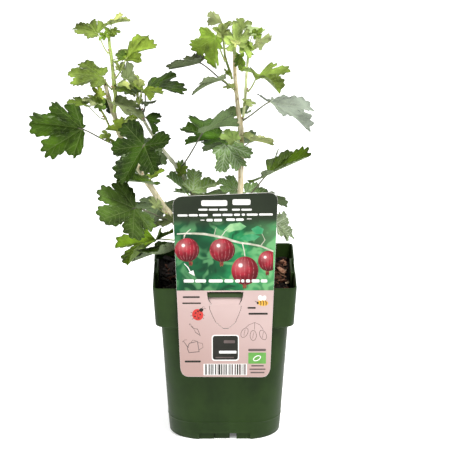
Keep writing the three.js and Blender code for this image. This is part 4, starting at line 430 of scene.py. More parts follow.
LEAVES = [
    {"tint": [0.0259, 0.0561, 0.002], "name": "leaf_L19", "tone": "dark", "side": "top", "stem": "cane_left", "B": [-40.31, -15.04, 177.89], "R": [-0.3836, 0.8361, -0.3921, -0.9216, -0.3736, 0.105, -0.0588, 0.4017, 0.9139], "L": 59.61, "w": 0.801, "p": [0.896, 0.832, 0.659, 0.525, 1.025, 35.911], "s": [16.597, -0.193, -0.173], "tm": 112.0, "pet": [[-26.56, -10.22, 170.64], [-31.44, -12.47, 170.61], [-36.5, -12.43, 176.3], [-40.31, -15.04, 177.89]], "cad": ["leaf_L19"]},
    {"tint": [0.0478, 0.104, 0.0036], "name": "leaf_L01", "tone": "dark", "side": "top", "stem": "cane_left", "B": [-128.1, -14.81, 287.03], "R": [-0.8318, -0.0094, -0.555, 0.5551, -0.0282, -0.8313, -0.0078, -0.9996, 0.0286], "L": 51.85, "w": 0.88, "p": [0.701, 0.831, 0.596, 0.543, 0.826, 33.818], "s": [20.458, -0.201, -0.0], "tm": 150.0, "pet": [[-93.25, -10.37, 269.91], [-105.51, -13.63, 272.23], [-117.05, -16.22, 283.37], [-128.1, -14.81, 287.03]], "cad": ["leaf_L01"]},
    {"tint": [0.5043, 0.572, 0.4748], "name": "leaf_R10", "tone": "grey", "side": "under", "stem": "cane_right", "B": [41.58, 0.0, 307.98], "R": [0.8264, -0.4616, 0.3226, 0.2884, 0.8389, 0.4616, -0.4837, -0.2884, 0.8263], "L": 46.8, "w": 0.732, "p": [0.973, 0.943, 0.353, 0.488, 1.03, 38.535], "s": [14.467, 0.178, 0.042], "tm": 112.0, "pet": [[16.96, 4.22, 289.47], [25.9, 2.9, 294.32], [33.18, 0.55, 303.96], [41.58, 0.0, 307.98]], "cad": ["leaf_R10"]},
    {"tint": [0.0471, 0.0879, 0.002], "name": "leaf_R17", "tone": "dark", "side": "top", "stem": "cane_right", "B": [39.73, -6.29, 241.47], "R": [0.7437, 0.3747, -0.5536, -0.4144, 0.9083, 0.0581, 0.5246, 0.1862, 0.8307], "L": 47.25, "w": 0.95, "p": [0.841, 0.679, 0.544, 0.71, 0.987, 35.103], "s": [15.867, 0.077, -0.037], "tm": 112.0, "pet": [[17.38, 2.01, 214.99], [26.64, -2.05, 221.0], [32.42, -2.96, 234.42], [39.73, -6.29, 241.47]], "cad": ["leaf_R17"]},
    {"tint": [0.0414, 0.0892, 0.003], "name": "leaf_L10", "tone": "dark", "side": "top", "stem": "cane_middle", "B": [-71.07, 16.89, 314.17], "R": [0.6317, 0.6183, -0.4675, -0.6046, 0.7705, 0.2021, 0.4852, 0.1549, 0.8606], "L": 42.42, "w": 0.937, "p": [0.802, 0.739, 0.561, 0.469, 0.926, 37.057], "s": [15.186, 0.467, -0.02], "tm": 115.0, "pet": [[-73.42, 17.03, 294.19], [-70.02, 17.45, 299.88], [-72.87, 18.12, 308.54], [-71.07, 16.89, 314.17]], "cad": ["leaf_L10"]},
    {"tint": [0.0559, 0.1033, 0.0148], "name": "leaf_L17", "tone": "dark", "side": "top", "stem": "cane_left", "B": [-80.2, -58.0, 225.8], "R": [-0.6539, 0.5709, 0.4964, -0.7565, -0.5018, -0.4193, 0.0097, -0.6498, 0.7601], "L": 43.85, "w": 1.049, "p": [0.827, 0.882, 0.655, 0.571, 0.905, 37.355], "s": [6.45, 0.092, -0.074], "tm": 150.0, "pet": [[-48.29, -15.75, 201.26], [-56.42, -32.55, 205.99], [-69.63, -44.8, 221.25], [-80.2, -58.0, 225.8]], "cad": ["leaf_L17"]},
    {"tint": [0.2125, 0.343, 0.0192], "name": "leaf_L18", "tone": "yellow", "side": "top", "stem": "cane_left", "B": [-62.11, -22.0, 184.45], "R": [-0.6672, 0.6756, -0.3137, -0.7222, -0.6899, 0.0502, -0.1825, 0.2601, 0.9482], "L": 41.86, "w": 0.862, "p": [0.959, 0.86, 0.575, 0.547, 1.044, 38.209], "s": [18.846, 0.083, 0.004], "tm": 112.0, "pet": [[-35.2, -11.71, 181.13], [-43.79, -15.7, 179.75], [-54.66, -17.51, 184.46], [-62.11, -22.0, 184.45]], "cad": ["leaf_L18"]},
    {"tint": [0.0338, 0.0491, 0.002], "name": "leaf_R07", "tone": "dark", "side": "top", "stem": "cane_right", "B": [-22.15, -1.68, 344.84], "R": [-0.8422, -0.4486, -0.2991, 0.4054, -0.8926, 0.1972, -0.3555, 0.0448, 0.9336], "L": 31.99, "w": 0.897, "p": [0.761, 0.945, 0.369, 0.576, 0.971, 40.97], "s": [20.88, -0.022, 0.089], "tm": 130.0, "pet": [[7.78, 2.7, 320.87], [-3.66, 1.22, 326.26], [-11.83, -1.72, 339.59], [-22.15, -1.68, 344.84]], "cad": ["leaf_R07"]},
    {"tint": [0.053, 0.1116, 0.0022], "name": "leaf_L16", "tone": "dark", "side": "top", "stem": "cane_left", "B": [-69.14, -35.17, 242.56], "R": [-0.7695, 0.5735, 0.281, -0.5523, -0.8185, 0.1579, 0.3206, -0.0337, 0.9466], "L": 33.93, "w": 0.993, "p": [0.812, 0.717, 0.614, 0.457, 0.911, 36.308], "s": [12.005, 0.126, -0.049], "tm": 130.0, "pet": [[-72.49, -16.25, 242.72], [-71.67, -22.48, 243.56], [-68.84, -29.43, 242.11], [-69.14, -35.17, 242.56]], "cad": ["leaf_L16"]},
    {"tint": [0.38, 0.6265, 0.1885], "name": "leaf_R13", "tone": "dark", "side": "top", "stem": "cane_right", "B": [1.53, -6.23, 269.83], "R": [0.5023, 0.8647, 0.0037, 0.0475, -0.0233, -0.9986, -0.8634, 0.5018, -0.0528], "L": 29.47, "w": 0.902, "p": [0.942, 0.897, 0.52, 0.48, 0.87, 35.77], "s": [21.101, 0.222, 0.024], "tm": 150.0, "pet": [[12.71, 2.95, 257.44], [8.34, -0.63, 260.2], [4.88, -3.48, 266.12], [1.53, -6.23, 269.83]], "cad": ["leaf_R13"]},
    {"tint": [0.0237, 0.0563, 0.002], "name": "leaf_L15", "tone": "dark", "side": "top", "stem": "cane_left", "B": [-71.18, -59.3, 284.71], "R": [-0.5255, 0.7642, -0.374, -0.5041, -0.6337, -0.5868, -0.6854, -0.1198, 0.7182], "L": 38.45, "w": 1.009, "p": [0.75, 0.906, 0.732, 0.707, 1.119, 40.944], "s": [17.033, 0.05, -0.068], "tm": 150.0, "pet": [[-74.99, -15.47, 248.77], [-71.98, -30.7, 259.28], [-72.32, -46.15, 273.93], [-71.18, -59.3, 284.71]], "cad": ["leaf_L15"]},
    {"tint": [0.0392, 0.0934, 0.002], "name": "leaf_R12", "tone": "dark", "side": "top", "stem": "cane_middle", "B": [-19.32, -31.98, 288.3], "R": [0.75, -0.5375, -0.3855, 0.5991, 0.799, 0.0515, 0.2803, -0.2696, 0.9213], "L": 36.4, "w": 0.992, "p": [0.881, 0.918, 0.544, 0.592, 1.073, 39.541], "s": [22.566, 0.344, 0.111], "tm": 150.0, "pet": [[-40.6, 13.3, 241.07], [-31.7, -1.85, 255.46], [-26.05, -18.69, 274.02], [-19.32, -31.98, 288.3]], "cad": ["leaf_R12"]},
    {"tint": [0.1954, 0.2353, 0.1021], "name": "leaf_L12", "tone": "grey", "side": "top", "stem": "shoot_left", "B": [-96.53, -27.01, 314.02], "R": [0.8965, 0.3204, 0.3059, -0.3091, 0.9471, -0.086, -0.3173, -0.0175, 0.9482], "L": 27.85, "w": 1.005, "p": [0.871, 0.807, 0.582, 0.561, 0.883, 37.767], "s": [11.459, 0.083, 0.02], "tm": 150.0, "pet": [[-97.5, -14.32, 312.03], [-97.2, -18.52, 312.56], [-97.56, -23.29, 313.75], [-96.53, -27.01, 314.02]], "cad": ["leaf_L12"]},
    {"tint": [0.2738, 0.392, 0.0571], "name": "leaf_R04", "tone": "yellow", "side": "top", "stem": "shoot_centre", "B": [-7.5, -18.0, 372.43], "R": [-0.2547, 0.604, -0.7552, 0.1927, -0.7336, -0.6517, -0.9476, -0.3115, 0.0704], "L": 32.84, "w": 0.867, "p": [0.927, 0.817, 0.551, 0.565, 0.863, 34.218], "s": [20.191, 0.27, 0.009], "tm": 150.0, "pet": [[0.86, -7.94, 348.18], [-2.09, -14.38, 353.88], [-4.99, -14.98, 365.16], [-7.5, -18.0, 372.43]], "cad": ["leaf_R04"]},
    {"tint": [0.1429, 0.1832, 0.0769], "name": "leaf_R08", "tone": "green", "side": "top", "stem": "cane_right", "B": [-1.3, -14.32, 332.22], "R": [-0.9851, -0.0837, -0.1501, 0.0452, -0.9688, 0.2435, -0.1658, 0.2331, 0.9582], "L": 28.91, "w": 0.902, "p": [0.778, 0.875, 0.409, 0.645, 0.822, 36.097], "s": [15.662, 0.263, -0.115], "tm": 150.0, "pet": [[9.22, 0.78, 318.83], [5.36, -4.98, 321.71], [3.05, -10.29, 328.83], [-1.3, -14.32, 332.22]], "cad": ["leaf_R08"]},
    {"tint": [0.2835, 0.3948, 0.0506], "name": "leaf_L06", "tone": "yellow", "side": "top", "stem": "shoot_left", "B": [-87.16, -19.87, 353.23], "R": [0.5645, -0.5967, -0.5703, 0.6207, 0.7623, -0.1832, 0.5441, -0.2506, 0.8007], "L": 31.45, "w": 1.059, "p": [0.929, 0.876, 0.61, 0.492, 0.951, 35.838], "s": [7.268, 0.044, -0.254], "tm": 130.0, "pet": [[-97.19, -12.29, 333.75], [-92.59, -15.92, 338.67], [-90.8, -19.33, 347.33], [-87.16, -19.87, 353.23]], "cad": ["leaf_L06"]},
    {"tint": [0.2695, 0.3723, 0.068], "name": "leaf_R09", "tone": "yellow", "side": "top", "stem": "shoot_right", "B": [30.96, -10.0, 335.9], "R": [0.5781, 0.8065, 0.124, -0.809, 0.5863, -0.0421, -0.1067, -0.0759, 0.9914], "L": 32.27, "w": 0.877, "p": [0.831, 0.909, 0.591, 0.653, 0.999, 37.284], "s": [23.225, 0.045, 0.084], "tm": 112.0, "pet": [[21.22, -4.32, 318.82], [25.86, -7.17, 322.81], [27.5, -7.21, 331.66], [30.96, -10.0, 335.9]], "cad": ["leaf_R09"]},
    {"tint": [0.1932, 0.2764, 0.0424], "name": "leaf_L03", "tone": "green", "side": "top", "stem": "shoot_left", "B": [-109.9, -16.0, 336.06], "R": [-0.9668, -0.1958, 0.1645, 0.1172, -0.9109, -0.3956, 0.2273, -0.3632, 0.9036], "L": 30.01, "w": 0.858, "p": [0.935, 0.971, 0.517, 0.702, 0.861, 34.28], "s": [1.225, 0.207, -0.058], "tm": 150.0, "pet": [[-100.61, -12.88, 323.38], [-104.72, -14.72, 326.15], [-106.22, -15.56, 333.0], [-109.9, -16.0, 336.06]], "cad": ["leaf_L03"]},
    {"tint": [0.2693, 0.3809, 0.1496], "name": "leaf_R21", "tone": "grey", "side": "top", "stem": "cane_right", "B": [47.73, 6.0, 190.21], "R": [0.5522, -0.1113, 0.8263, 0.5816, 0.7615, -0.2862, -0.5973, 0.6386, 0.4852], "L": 29.01, "w": 0.776, "p": [0.756, 0.934, 0.638, 0.517, 0.946, 37.764], "s": [15.858, 0.061, -0.058], "tm": 150.0, "pet": [[12.81, 1.7, 176.22], [24.91, 3.05, 179.01], [36.91, 3.28, 188.08], [47.73, 6.0, 190.21]], "cad": ["leaf_R21"]},
    {"tint": [0.4243, 0.632, 0.1824], "name": "leaf_R18", "tone": "green", "side": "top", "stem": "cane_middle", "B": [-28.68, -0.06, 223.79], "R": [0.781, -0.6065, -0.1487, 0.5503, 0.781, -0.2952, 0.2952, 0.1487, 0.9438], "L": 28.24, "w": 1.029, "p": [0.793, 0.908, 0.704, 0.433, 0.939, 35.182], "s": [20.617, 0.179, 0.081], "tm": 150.0, "pet": [[-25.97, 11.03, 211.32], [-25.96, 6.38, 214.4], [-27.87, 3.27, 220.05], [-28.68, -0.06, 223.79]], "cad": ["leaf_R18"]},
    {"tint": [0.192, 0.2568, 0.0522], "name": "leaf_L04", "tone": "yellow", "side": "top", "stem": "shoot_left", "B": [-113.13, -15.24, 375.36], "R": [-0.8285, -0.5593, -0.0291, 0.5077, -0.7282, -0.4604, 0.2363, -0.3962, 0.8872], "L": 25.67, "w": 0.741, "p": [0.765, 0.88, 0.67, 0.566, 0.861, 37.873], "s": [13.694, 0.187, -0.015], "tm": 150.0, "pet": [[-103.46, -10.15, 356.0], [-108.1, -13.53, 360.57], [-109.13, -14.91, 370.03], [-113.13, -15.24, 375.36]], "cad": ["leaf_L04"]},
    {"tint": [0.342, 0.5638, 0.1696], "name": "leaf_R18b", "tone": "green", "side": "top", "stem": "cane_middle", "B": [-34.03, 16.18, 217.11], "R": [-0.4631, 0.1737, 0.8691, -0.4459, -0.8931, -0.0591, 0.766, -0.4149, 0.4911], "L": 28.19, "w": 1.027, "p": [1.011, 0.853, 0.618, 0.528, 0.936, 39.41], "s": [9.73, 0.143, 0.158], "tm": 112.0, "pet": [[-29.06, 15.26, 209.79], [-31.59, 16.29, 210.86], [-32.58, 16.49, 214.89], [-34.03, 16.18, 217.11]], "cad": ["leaf_R18b"]},
    {"tint": [0.0525, 0.09, 0.003], "name": "leaf_L09", "tone": "dark", "side": "top", "stem": "shoot_left", "B": [-95.06, -25.09, 326.81], "R": [0.9725, -0.0958, 0.2125, 0.0967, 0.9953, 0.006, -0.212, 0.0147, 0.9771], "L": 17.23, "w": 0.978, "p": [0.942, 0.768, 0.556, 0.593, 0.887, 38.032], "s": [3.18, 0.082, -0.14], "tm": 150.0, "pet": [[-97.64, -13.83, 323.8], [-96.76, -17.55, 324.77], [-96.0, -21.74, 325.95], [-95.06, -25.09, 326.81]], "cad": ["leaf_L09"]},
    {"tint": [0.0197, 0.0468, 0.002], "name": "leaf_L13", "tone": "dark", "side": "top", "stem": "cane_middle", "B": [-71.16, -0.85, 293.83], "R": [0.419, 0.7442, 0.5202, -0.8709, 0.4915, -0.0017, -0.2569, -0.4523, 0.8541], "L": 22.89, "w": 0.861, "p": [0.898, 0.64, 0.561, 0.679, 0.902, 37.056], "s": [26.144, 0.185, 0.087], "tm": 130.0, "pet": [[-72.83, 15.05, 286.93], [-71.91, 9.69, 288.78], [-72.33, 4.16, 292.91], [-71.16, -0.85, 293.83]], "cad": ["leaf_L13"]},
    {"tint": [0.3563, 0.4681, 0.0665], "name": "leaf_L14", "tone": "yellow", "side": "top", "stem": "cane_left", "B": [-93.12, -26.4, 288.25], "R": [0.5654, -0.5087, -0.6492, 0.5034, 0.8364, -0.217, 0.6534, -0.2041, 0.729], "L": 23.92, "w": 1.023, "p": [0.888, 0.733, 0.553, 0.595, 0.949, 40.02], "s": [21.82, 0.289, 0.039], "tm": 112.0, "pet": [[-94.71, -10.16, 282.9], [-94.07, -15.52, 284.61], [-93.6, -21.52, 286.65], [-93.12, -26.4, 288.25]], "cad": ["leaf_L14"]},
    {"tint": [0.5544, 0.66, 0.2471], "name": "leaf_R16", "tone": "yellow", "side": "top", "stem": "cane_right", "B": [24.62, -10.14, 274.5], "R": [0.845, -0.5295, 0.0745, 0.5106, 0.8404, 0.1817, -0.1589, -0.1155, 0.9805], "L": 22.84, "w": 1.061, "p": [0.868, 0.853, 0.607, 0.576, 0.987, 39.259], "s": [17.019, 0.234, 0.009], "tm": 150.0, "pet": [[16.93, 2.29, 264.77], [19.75, -2.27, 266.96], [22.31, -6.41, 271.58], [24.62, -10.14, 274.5]], "cad": ["leaf_R16"]},
    {"tint": [0.4632, 0.5896, 0.191], "name": "leaf_L08", "tone": "pale", "side": "top", "stem": "cane_middle", "B": [-81.32, 25.38, 311.29], "R": [-0.8072, -0.5421, 0.2334, 0.4525, -0.8223, -0.345, 0.379, -0.1728, 0.9091], "L": 19.58, "w": 0.943, "p": [0.938, 0.918, 0.458, 0.575, 1.003, 35.159], "s": [19.222, 0.213, 0.026], "tm": 150.0, "pet": [[-79.05, 16.77, 310.2], [-79.79, 19.6, 310.68], [-80.04, 23.09, 310.68], [-81.32, 25.38, 311.29]], "cad": ["leaf_L08"]},
    {"tint": [0.342, 0.5638, 0.1696], "name": "leaf_R19", "tone": "green", "side": "top", "stem": "cane_right", "B": [11.32, 20.01, 218.92], "R": [-0.8571, -0.3844, 0.3429, 0.1383, -0.813, -0.5656, 0.4962, -0.4374, 0.75], "L": 19.47, "w": 0.89, "p": [0.927, 0.921, 0.435, 0.47, 0.883, 35.031], "s": [7.898, 0.123, -0.168], "tm": 150.0, "pet": [[13.45, 6.94, 215.1], [12.66, 11.33, 215.97], [12.8, 16.46, 217.39], [11.32, 20.01, 218.92]], "cad": ["leaf_R19"]},
    {"tint": [0.5676, 0.66, 0.363], "name": "leaf_L07", "tone": "pale", "side": "under", "stem": "shoot_left", "B": [-87.93, 5.74, 327.8], "R": [0.1465, 0.6771, 0.7212, -0.2187, -0.6888, 0.6911, 0.9647, -0.259, 0.0472], "L": 17.84, "w": 0.958, "p": [0.931, 0.818, 0.498, 0.465, 0.981, 39.711], "s": [4.104, 0.054, -0.038], "tm": 150.0, "pet": [[-97.33, -9.37, 326.58], [-94.21, -4.41, 327.15], [-90.75, 1.21, 327.43], [-87.93, 5.74, 327.8]], "cad": ["leaf_L07"]},
    {"tint": [0.216, 0.3059, 0.0334], "name": "small_L11", "tone": "yellow", "side": "top", "stem": "cane_middle", "B": [-72.86, -24.58, 325.25], "R": [0.3521, 0.9059, 0.2353, -0.9312, 0.3136, 0.186, 0.0947, -0.2846, 0.954], "L": 20.37, "w": 1.021, "p": [0.786, 0.924, 0.672, 0.643, 1.049, 35.766], "s": [14.661, 0.234, 0.104], "tm": 150.0, "pet": [[-77.81, 13.72, 304.8], [-75.62, 0.31, 309.62], [-75.68, -12.5, 320.98], [-72.86, -24.58, 325.25]], "cad": []},
    {"tint": [0.342, 0.5638, 0.1696], "name": "leaf_R20", "tone": "green", "side": "top", "stem": "cane_right", "B": [20.16, 16.87, 217.14], "R": [0.9252, 0.3078, -0.2222, -0.3328, 0.9392, -0.0847, 0.1826, 0.1523, 0.9713], "L": 18.83, "w": 0.942, "p": [0.855, 0.753, 0.541, 0.602, 0.905, 36.17], "s": [25.017, 0.083, 0.042], "tm": 150.0, "pet": [[15.14, 6.64, 211.59], [16.85, 10.32, 212.62], [18.25, 14.06, 215.44], [20.16, 16.87, 217.14]], "cad": ["leaf_R20"]},
    {"tint": [0.4647, 0.5679, 0.1682], "name": "leaf_L05", "tone": "yellow", "side": "top", "stem": "shoot_left", "B": [-100.83, 3.24, 379.08], "R": [0.8389, 0.2789, -0.4673, -0.2619, 0.9596, 0.1025, 0.477, 0.0364, 0.8781], "L": 17.1, "w": 0.891, "p": [0.807, 0.826, 0.621, 0.496, 0.953, 36.24], "s": [18.609, 0.189, 0.276], "tm": 150.0, "pet": [[-102.43, -5.15, 370.63], [-101.57, -1.71, 372.4], [-101.84, 1.06, 376.39], [-100.83, 3.24, 379.08]], "cad": ["leaf_L05"]},
    {"tint": [0.5544, 0.66, 0.2772], "name": "leaf_R01", "tone": "yellow", "side": "top", "stem": "shoot_centre", "B": [-1.26, -6.91, 382.04], "R": [-0.5598, -0.7164, 0.4165, 0.8286, -0.4902, 0.2705, 0.0104, 0.4965, 0.868], "L": 18.87, "w": 0.976, "p": [0.866, 0.869, 0.467, 0.772, 0.947, 39.552], "s": [16.483, 0.268, -0.016], "tm": 112.0, "pet": [[0.56, -7.03, 368.78], [2.13, -8.23, 372.73], [-0.56, -7.18, 378.09], [-1.26, -6.91, 382.04]], "cad": ["leaf_R01"]},
    {"tint": [0.216, 0.2966, 0.0844], "name": "small_R15", "tone": "pale", "side": "top", "stem": "cane_right", "B": [8.68, -51.68, 286.54], "R": [-0.5743, -0.813, 0.0961, 0.6547, -0.5266, -0.5423, 0.4915, -0.2485, 0.8347], "L": 16.56, "w": 0.819, "p": [0.797, 0.908, 0.495, 0.549, 0.934, 39.639], "s": [7.458, 0.126, -0.069], "tm": 150.0, "pet": [[14.89, 1.99, 268.49], [12.81, -16.04, 273.4], [10.54, -35.58, 281.13], [8.68, -51.68, 286.54]], "cad": []},
    {"tint": [0.1403, 0.2084, 0.0265], "name": "small_L02", "tone": "green", "side": "top", "stem": "side_shoot_left", "B": [-124.09, -27.2, 312.88], "R": [-0.9722, 0.1128, 0.2052, -0.1242, -0.9913, -0.0436, 0.1985, -0.0679, 0.9777], "L": 16.94, "w": 0.987, "p": [0.86, 0.86, 0.6, 0.6, 1.0, 37.0], "s": [12.0, 0.14, -0.05], "tm": 150.0, "pet": [[-108.32, -15.78, 296.29], [-114.64, -20.66, 299.05], [-118.04, -24.55, 308.98], [-124.09, -27.2, 312.88]], "cad": []},
    {"tint": [0.104, 0.1333, 0.0457], "name": "small_L20", "tone": "green", "side": "top", "stem": "cane_left", "B": [-45.22, -28.36, 203.71], "R": [-0.992, 0.0647, -0.1088, -0.0577, -0.9961, -0.0664, -0.1127, -0.0596, 0.9918], "L": 18.91, "w": 0.994, "p": [0.86, 0.86, 0.6, 0.6, 1.0, 37.0], "s": [12.0, 0.14, -0.05], "tm": 150.0, "pet": [[-41.13, -14.97, 194.99], [-41.38, -19.99, 197.07], [-43.24, -24.51, 201.32], [-45.22, -28.36, 203.71]], "cad": []},
    {"tint": [0.2511, 0.3494, 0.0419], "name": "small_L21", "tone": "yellow", "side": "top", "stem": "cane_left", "B": [-66.07, -21.76, 242.74], "R": [0.7572, 0.0095, -0.6531, -0.1464, 0.9769, -0.1555, 0.6366, 0.2134, 0.7411], "L": 14.52, "w": 0.996, "p": [0.86, 0.86, 0.6, 0.6, 1.0, 37.0], "s": [12.0, 0.14, -0.05], "tm": 150.0, "pet": [[-66.71, -16.71, 236.12], [-65.89, -18.7, 237.85], [-66.89, -20.52, 240.72], [-66.07, -21.76, 242.74]], "cad": []},
    {"tint": [0.3471, 0.4394, 0.1116], "name": "small_L22", "tone": "yellow", "side": "top", "stem": "cane_left", "B": [-103.49, -21.7, 280.26], "R": [-0.7037, 0.3108, 0.6389, -0.5944, -0.7501, -0.2898, 0.3892, -0.5837, 0.7126], "L": 10.71, "w": 0.967, "p": [0.86, 0.86, 0.6, 0.6, 1.0, 37.0], "s": [12.0, 0.14, -0.05], "tm": 150.0, "pet": [[-92.51, -11.66, 272.08], [-95.75, -15.91, 273.77], [-100.07, -18.68, 278.01], [-103.49, -21.7, 280.26]], "cad": []},
    {"tint": [0.3652, 0.4347, 0.1826], "name": "small_L23", "tone": "yellow", "side": "top", "stem": "cane_left", "B": [-61.49, -27.34, 217.31], "R": [-0.3898, -0.674, 0.6275, 0.5643, -0.7133, -0.4157, 0.7278, 0.1921, 0.6584], "L": 12.25, "w": 0.963, "p": [0.86, 0.86, 0.6, 0.6, 1.0, 37.0], "s": [12.0, 0.14, -0.05], "tm": 150.0, "pet": [[-52.2, -16.53, 207.07], [-54.39, -21.58, 208.89], [-58.51, -24.92, 213.71], [-61.49, -27.34, 217.31]], "cad": []},
    {"tint": [0.5544, 0.66, 0.2772], "name": "small_L24", "tone": "yellow", "side": "top", "stem": "side_shoot_left", "B": [-113.82, -22.01, 313.49], "R": [-0.8877, 0.2625, 0.3781, -0.329, -0.9364, -0.1224, 0.3219, -0.2331, 0.9176], "L": 13.86, "w": 0.974, "p": [0.86, 0.86, 0.6, 0.6, 1.0, 37.0], "s": [12.0, 0.14, -0.05], "tm": 150.0, "pet": [[-114.47, -19.21, 313.77], [-114.26, -20.14, 313.76], [-113.96, -21.16, 313.56], [-113.82, -22.01, 313.49]], "cad": []},
    {"tint": [0.3135, 0.3762, 0.0625], "name": "small_L25", "tone": "yellow", "side": "top", "stem": "cane_left", "B": [-109.89, -15.73, 317.43], "R": [-0.6864, -0.1347, 0.7146, -0.2074, -0.9056, -0.37, 0.697, -0.4021, 0.5937], "L": 12.03, "w": 0.984, "p": [0.86, 0.86, 0.6, 0.6, 1.0, 37.0], "s": [12.0, 0.14, -0.05], "tm": 150.0, "pet": [[-105.01, -7.39, 312.63], [-106.55, -10.47, 313.55], [-108.05, -13.81, 315.59], [-109.89, -15.73, 317.43]], "cad": []},
    {"tint": [0.0204, 0.0435, 0.002], "name": "small_L26", "tone": "green", "side": "top", "stem": "cane_left", "B": [-103.05, 5.35, 300.16], "R": [-0.6266, 0.2906, 0.7232, -0.6148, -0.7546, -0.2295, 0.479, -0.5884, 0.6514], "L": 12.71, "w": 0.977, "p": [0.86, 0.86, 0.6, 0.6, 1.0, 37.0], "s": [12.0, 0.14, -0.05], "tm": 150.0, "pet": [[-100.63, -2.99, 299.66], [-101.34, -0.21, 299.7], [-102.32, 2.85, 300.01], [-103.05, 5.35, 300.16]], "cad": []},
    {"tint": [0.2051, 0.2635, 0.0714], "name": "small_R02", "tone": "green", "side": "top", "stem": "cane_right", "B": [16.82, 5.24, 373.26], "R": [-0.1848, -0.9667, 0.177, 0.7999, -0.2526, -0.5444, 0.571, 0.041, 0.8199], "L": 16.04, "w": 0.858, "p": [0.86, 0.86, 0.6, 0.6, 1.0, 37.0], "s": [12.0, 0.14, -0.05], "tm": 150.0, "pet": [[11.32, 2.15, 361.31], [14.38, 3.88, 364.05], [15.84, 3.43, 369.77], [16.82, 5.24, 373.26]], "cad": []},
    {"tint": [0.5148, 0.66, 0.2772], "name": "small_R03", "tone": "green", "side": "under", "stem": "shoot_right", "B": [22.05, -1.16, 377.32], "R": [0.9336, -0.2244, -0.2792, -0.168, -0.9627, 0.212, -0.3164, -0.151, -0.9365], "L": 14.09, "w": 0.991, "p": [0.86, 0.86, 0.6, 0.6, 1.0, 37.0], "s": [12.0, 0.14, -0.05], "tm": 150.0, "pet": [[21.0, -1.73, 362.17], [19.17, -0.03, 366.52], [21.74, -1.33, 372.78], [22.05, -1.16, 377.32]], "cad": []},
    {"tint": [0.5544, 0.66, 0.2772], "name": "leaf_R05", "tone": "yellow", "side": "top", "stem": "shoot_right", "B": [28.87, -2.0, 364.06], "R": [0.9027, 0.1956, 0.3831, 0.4202, -0.5922, -0.6876, 0.0924, 0.7817, -0.6168], "L": 16.25, "w": 0.937, "p": [0.86, 0.86, 0.6, 0.6, 1.0, 37.0], "s": [12.0, 0.14, -0.05], "tm": 150.0, "pet": [[24.13, -2.66, 356.96], [26.53, -2.28, 358.4], [27.0, -2.52, 362.37], [28.87, -2.0, 364.06]], "cad": ["leaf_R05"]},
    {"tint": [0.3606, 0.4651, 0.1348], "name": "leaf_R06", "tone": "pale", "side": "top", "stem": "cane_right", "B": [10.15, -26.29, 369.24], "R": [0.0342, -0.9089, 0.4157, -0.4769, -0.3804, -0.7924, 0.8783, -0.1711, -0.4465], "L": 20.51, "w": 0.882, "p": [0.86, 0.86, 0.6, 0.6, 1.0, 37.0], "s": [12.0, 0.14, -0.05], "tm": 150.0, "pet": [[9.2, -1.35, 356.2], [9.52, -10.09, 359.34], [9.85, -19.87, 363.76], [10.15, -26.29, 369.24]], "cad": ["leaf_R06"]},
    {"tint": [0.3816, 0.4892, 0.1759], "name": "small_R11", "tone": "green", "side": "top", "stem": "shoot_right", "B": [19.18, -8.31, 310.51], "R": [0.9318, -0.1798, -0.3152, -0.3502, -0.6734, -0.6511, -0.0952, 0.7171, -0.6905], "L": 9.74, "w": 0.994, "p": [0.86, 0.86, 0.6, 0.6, 1.0, 37.0], "s": [12.0, 0.14, -0.05], "tm": 150.0, "pet": [[18.39, -4.7, 305.7], [18.6, -6.51, 306.53], [18.65, -7.18, 309.18], [19.18, -8.31, 310.51]], "cad": []},
    {"tint": [0.3671, 0.4989, 0.1189], "name": "leaf_R14", "tone": "pale", "side": "top", "stem": "cane_right", "B": [13.69, -11.94, 366.6], "R": [0.526, 0.5122, 0.679, -0.424, 0.85, -0.3127, -0.7373, -0.1234, 0.6642], "L": 17.61, "w": 0.994, "p": [0.86, 0.86, 0.6, 0.6, 1.0, 37.0], "s": [12.0, 0.14, -0.05], "tm": 150.0, "pet": [[9.88, -1.1, 359.81], [11.2, -5.0, 361.38], [12.38, -8.58, 364.85], [13.69, -11.94, 366.6]], "cad": ["leaf_R14"]},
    {"tint": [0.0786, 0.187, 0.0116], "name": "leaf_R13b", "tone": "dark", "side": "top", "stem": "cane_right", "B": [-3.38, 5.0, 271.85], "R": [-0.9069, 0.3799, 0.1822, -0.4069, -0.9019, -0.145, 0.1092, -0.2056, 0.9725], "L": 33.45, "w": 0.961, "p": [0.808, 0.881, 0.551, 0.517, 0.859, 37.082], "s": [13.89, 0.156, 0.023], "tm": 150.0, "pet": [[12.35, 5.06, 275.75], [7.02, 5.04, 275.32], [1.38, 5.81, 272.37], [-3.38, 5.0, 271.85]], "cad": []},
    {"tint": [0.0423, 0.0887, 0.013], "name": "leaf_B01", "tone": "dark", "side": "top", "stem": "cane_right", "B": [26.95, 27.82, 209.7], "R": [0.3339, -0.9405, 0.0625, 0.7991, 0.3176, 0.5105, -0.5, -0.1205, 0.8576], "L": 38.0, "w": 1.025, "p": [0.862, 0.834, 0.556, 0.592, 0.991, 35.181], "s": [6.488, 0.25, -0.042], "tm": 150.0, "pet": [[14.16, 5.9, 201.04], [18.41, 13.45, 202.85], [23.19, 20.73, 209.23], [26.95, 27.82, 209.7]], "cad": ["leaf_B01"]},
    {"tint": [0.0423, 0.0887, 0.013], "name": "leaf_B02", "tone": "dark", "side": "top", "stem": "cane_left", "B": [-57.36, 13.7, 206.69], "R": [-0.3019, -0.9522, -0.0468, 0.7615, -0.2704, 0.5891, -0.5736, 0.1422, 0.8067], "L": 38.0, "w": 0.977, "p": [0.917, 0.908, 0.643, 0.593, 0.999, 37.707], "s": [6.608, 0.183, -0.087], "tm": 150.0, "pet": [[-44.67, -7.82, 197.24], [-47.82, 0.11, 199.44], [-53.6, 6.66, 205.97], [-57.36, 13.7, 206.69]], "cad": ["leaf_B02"]},
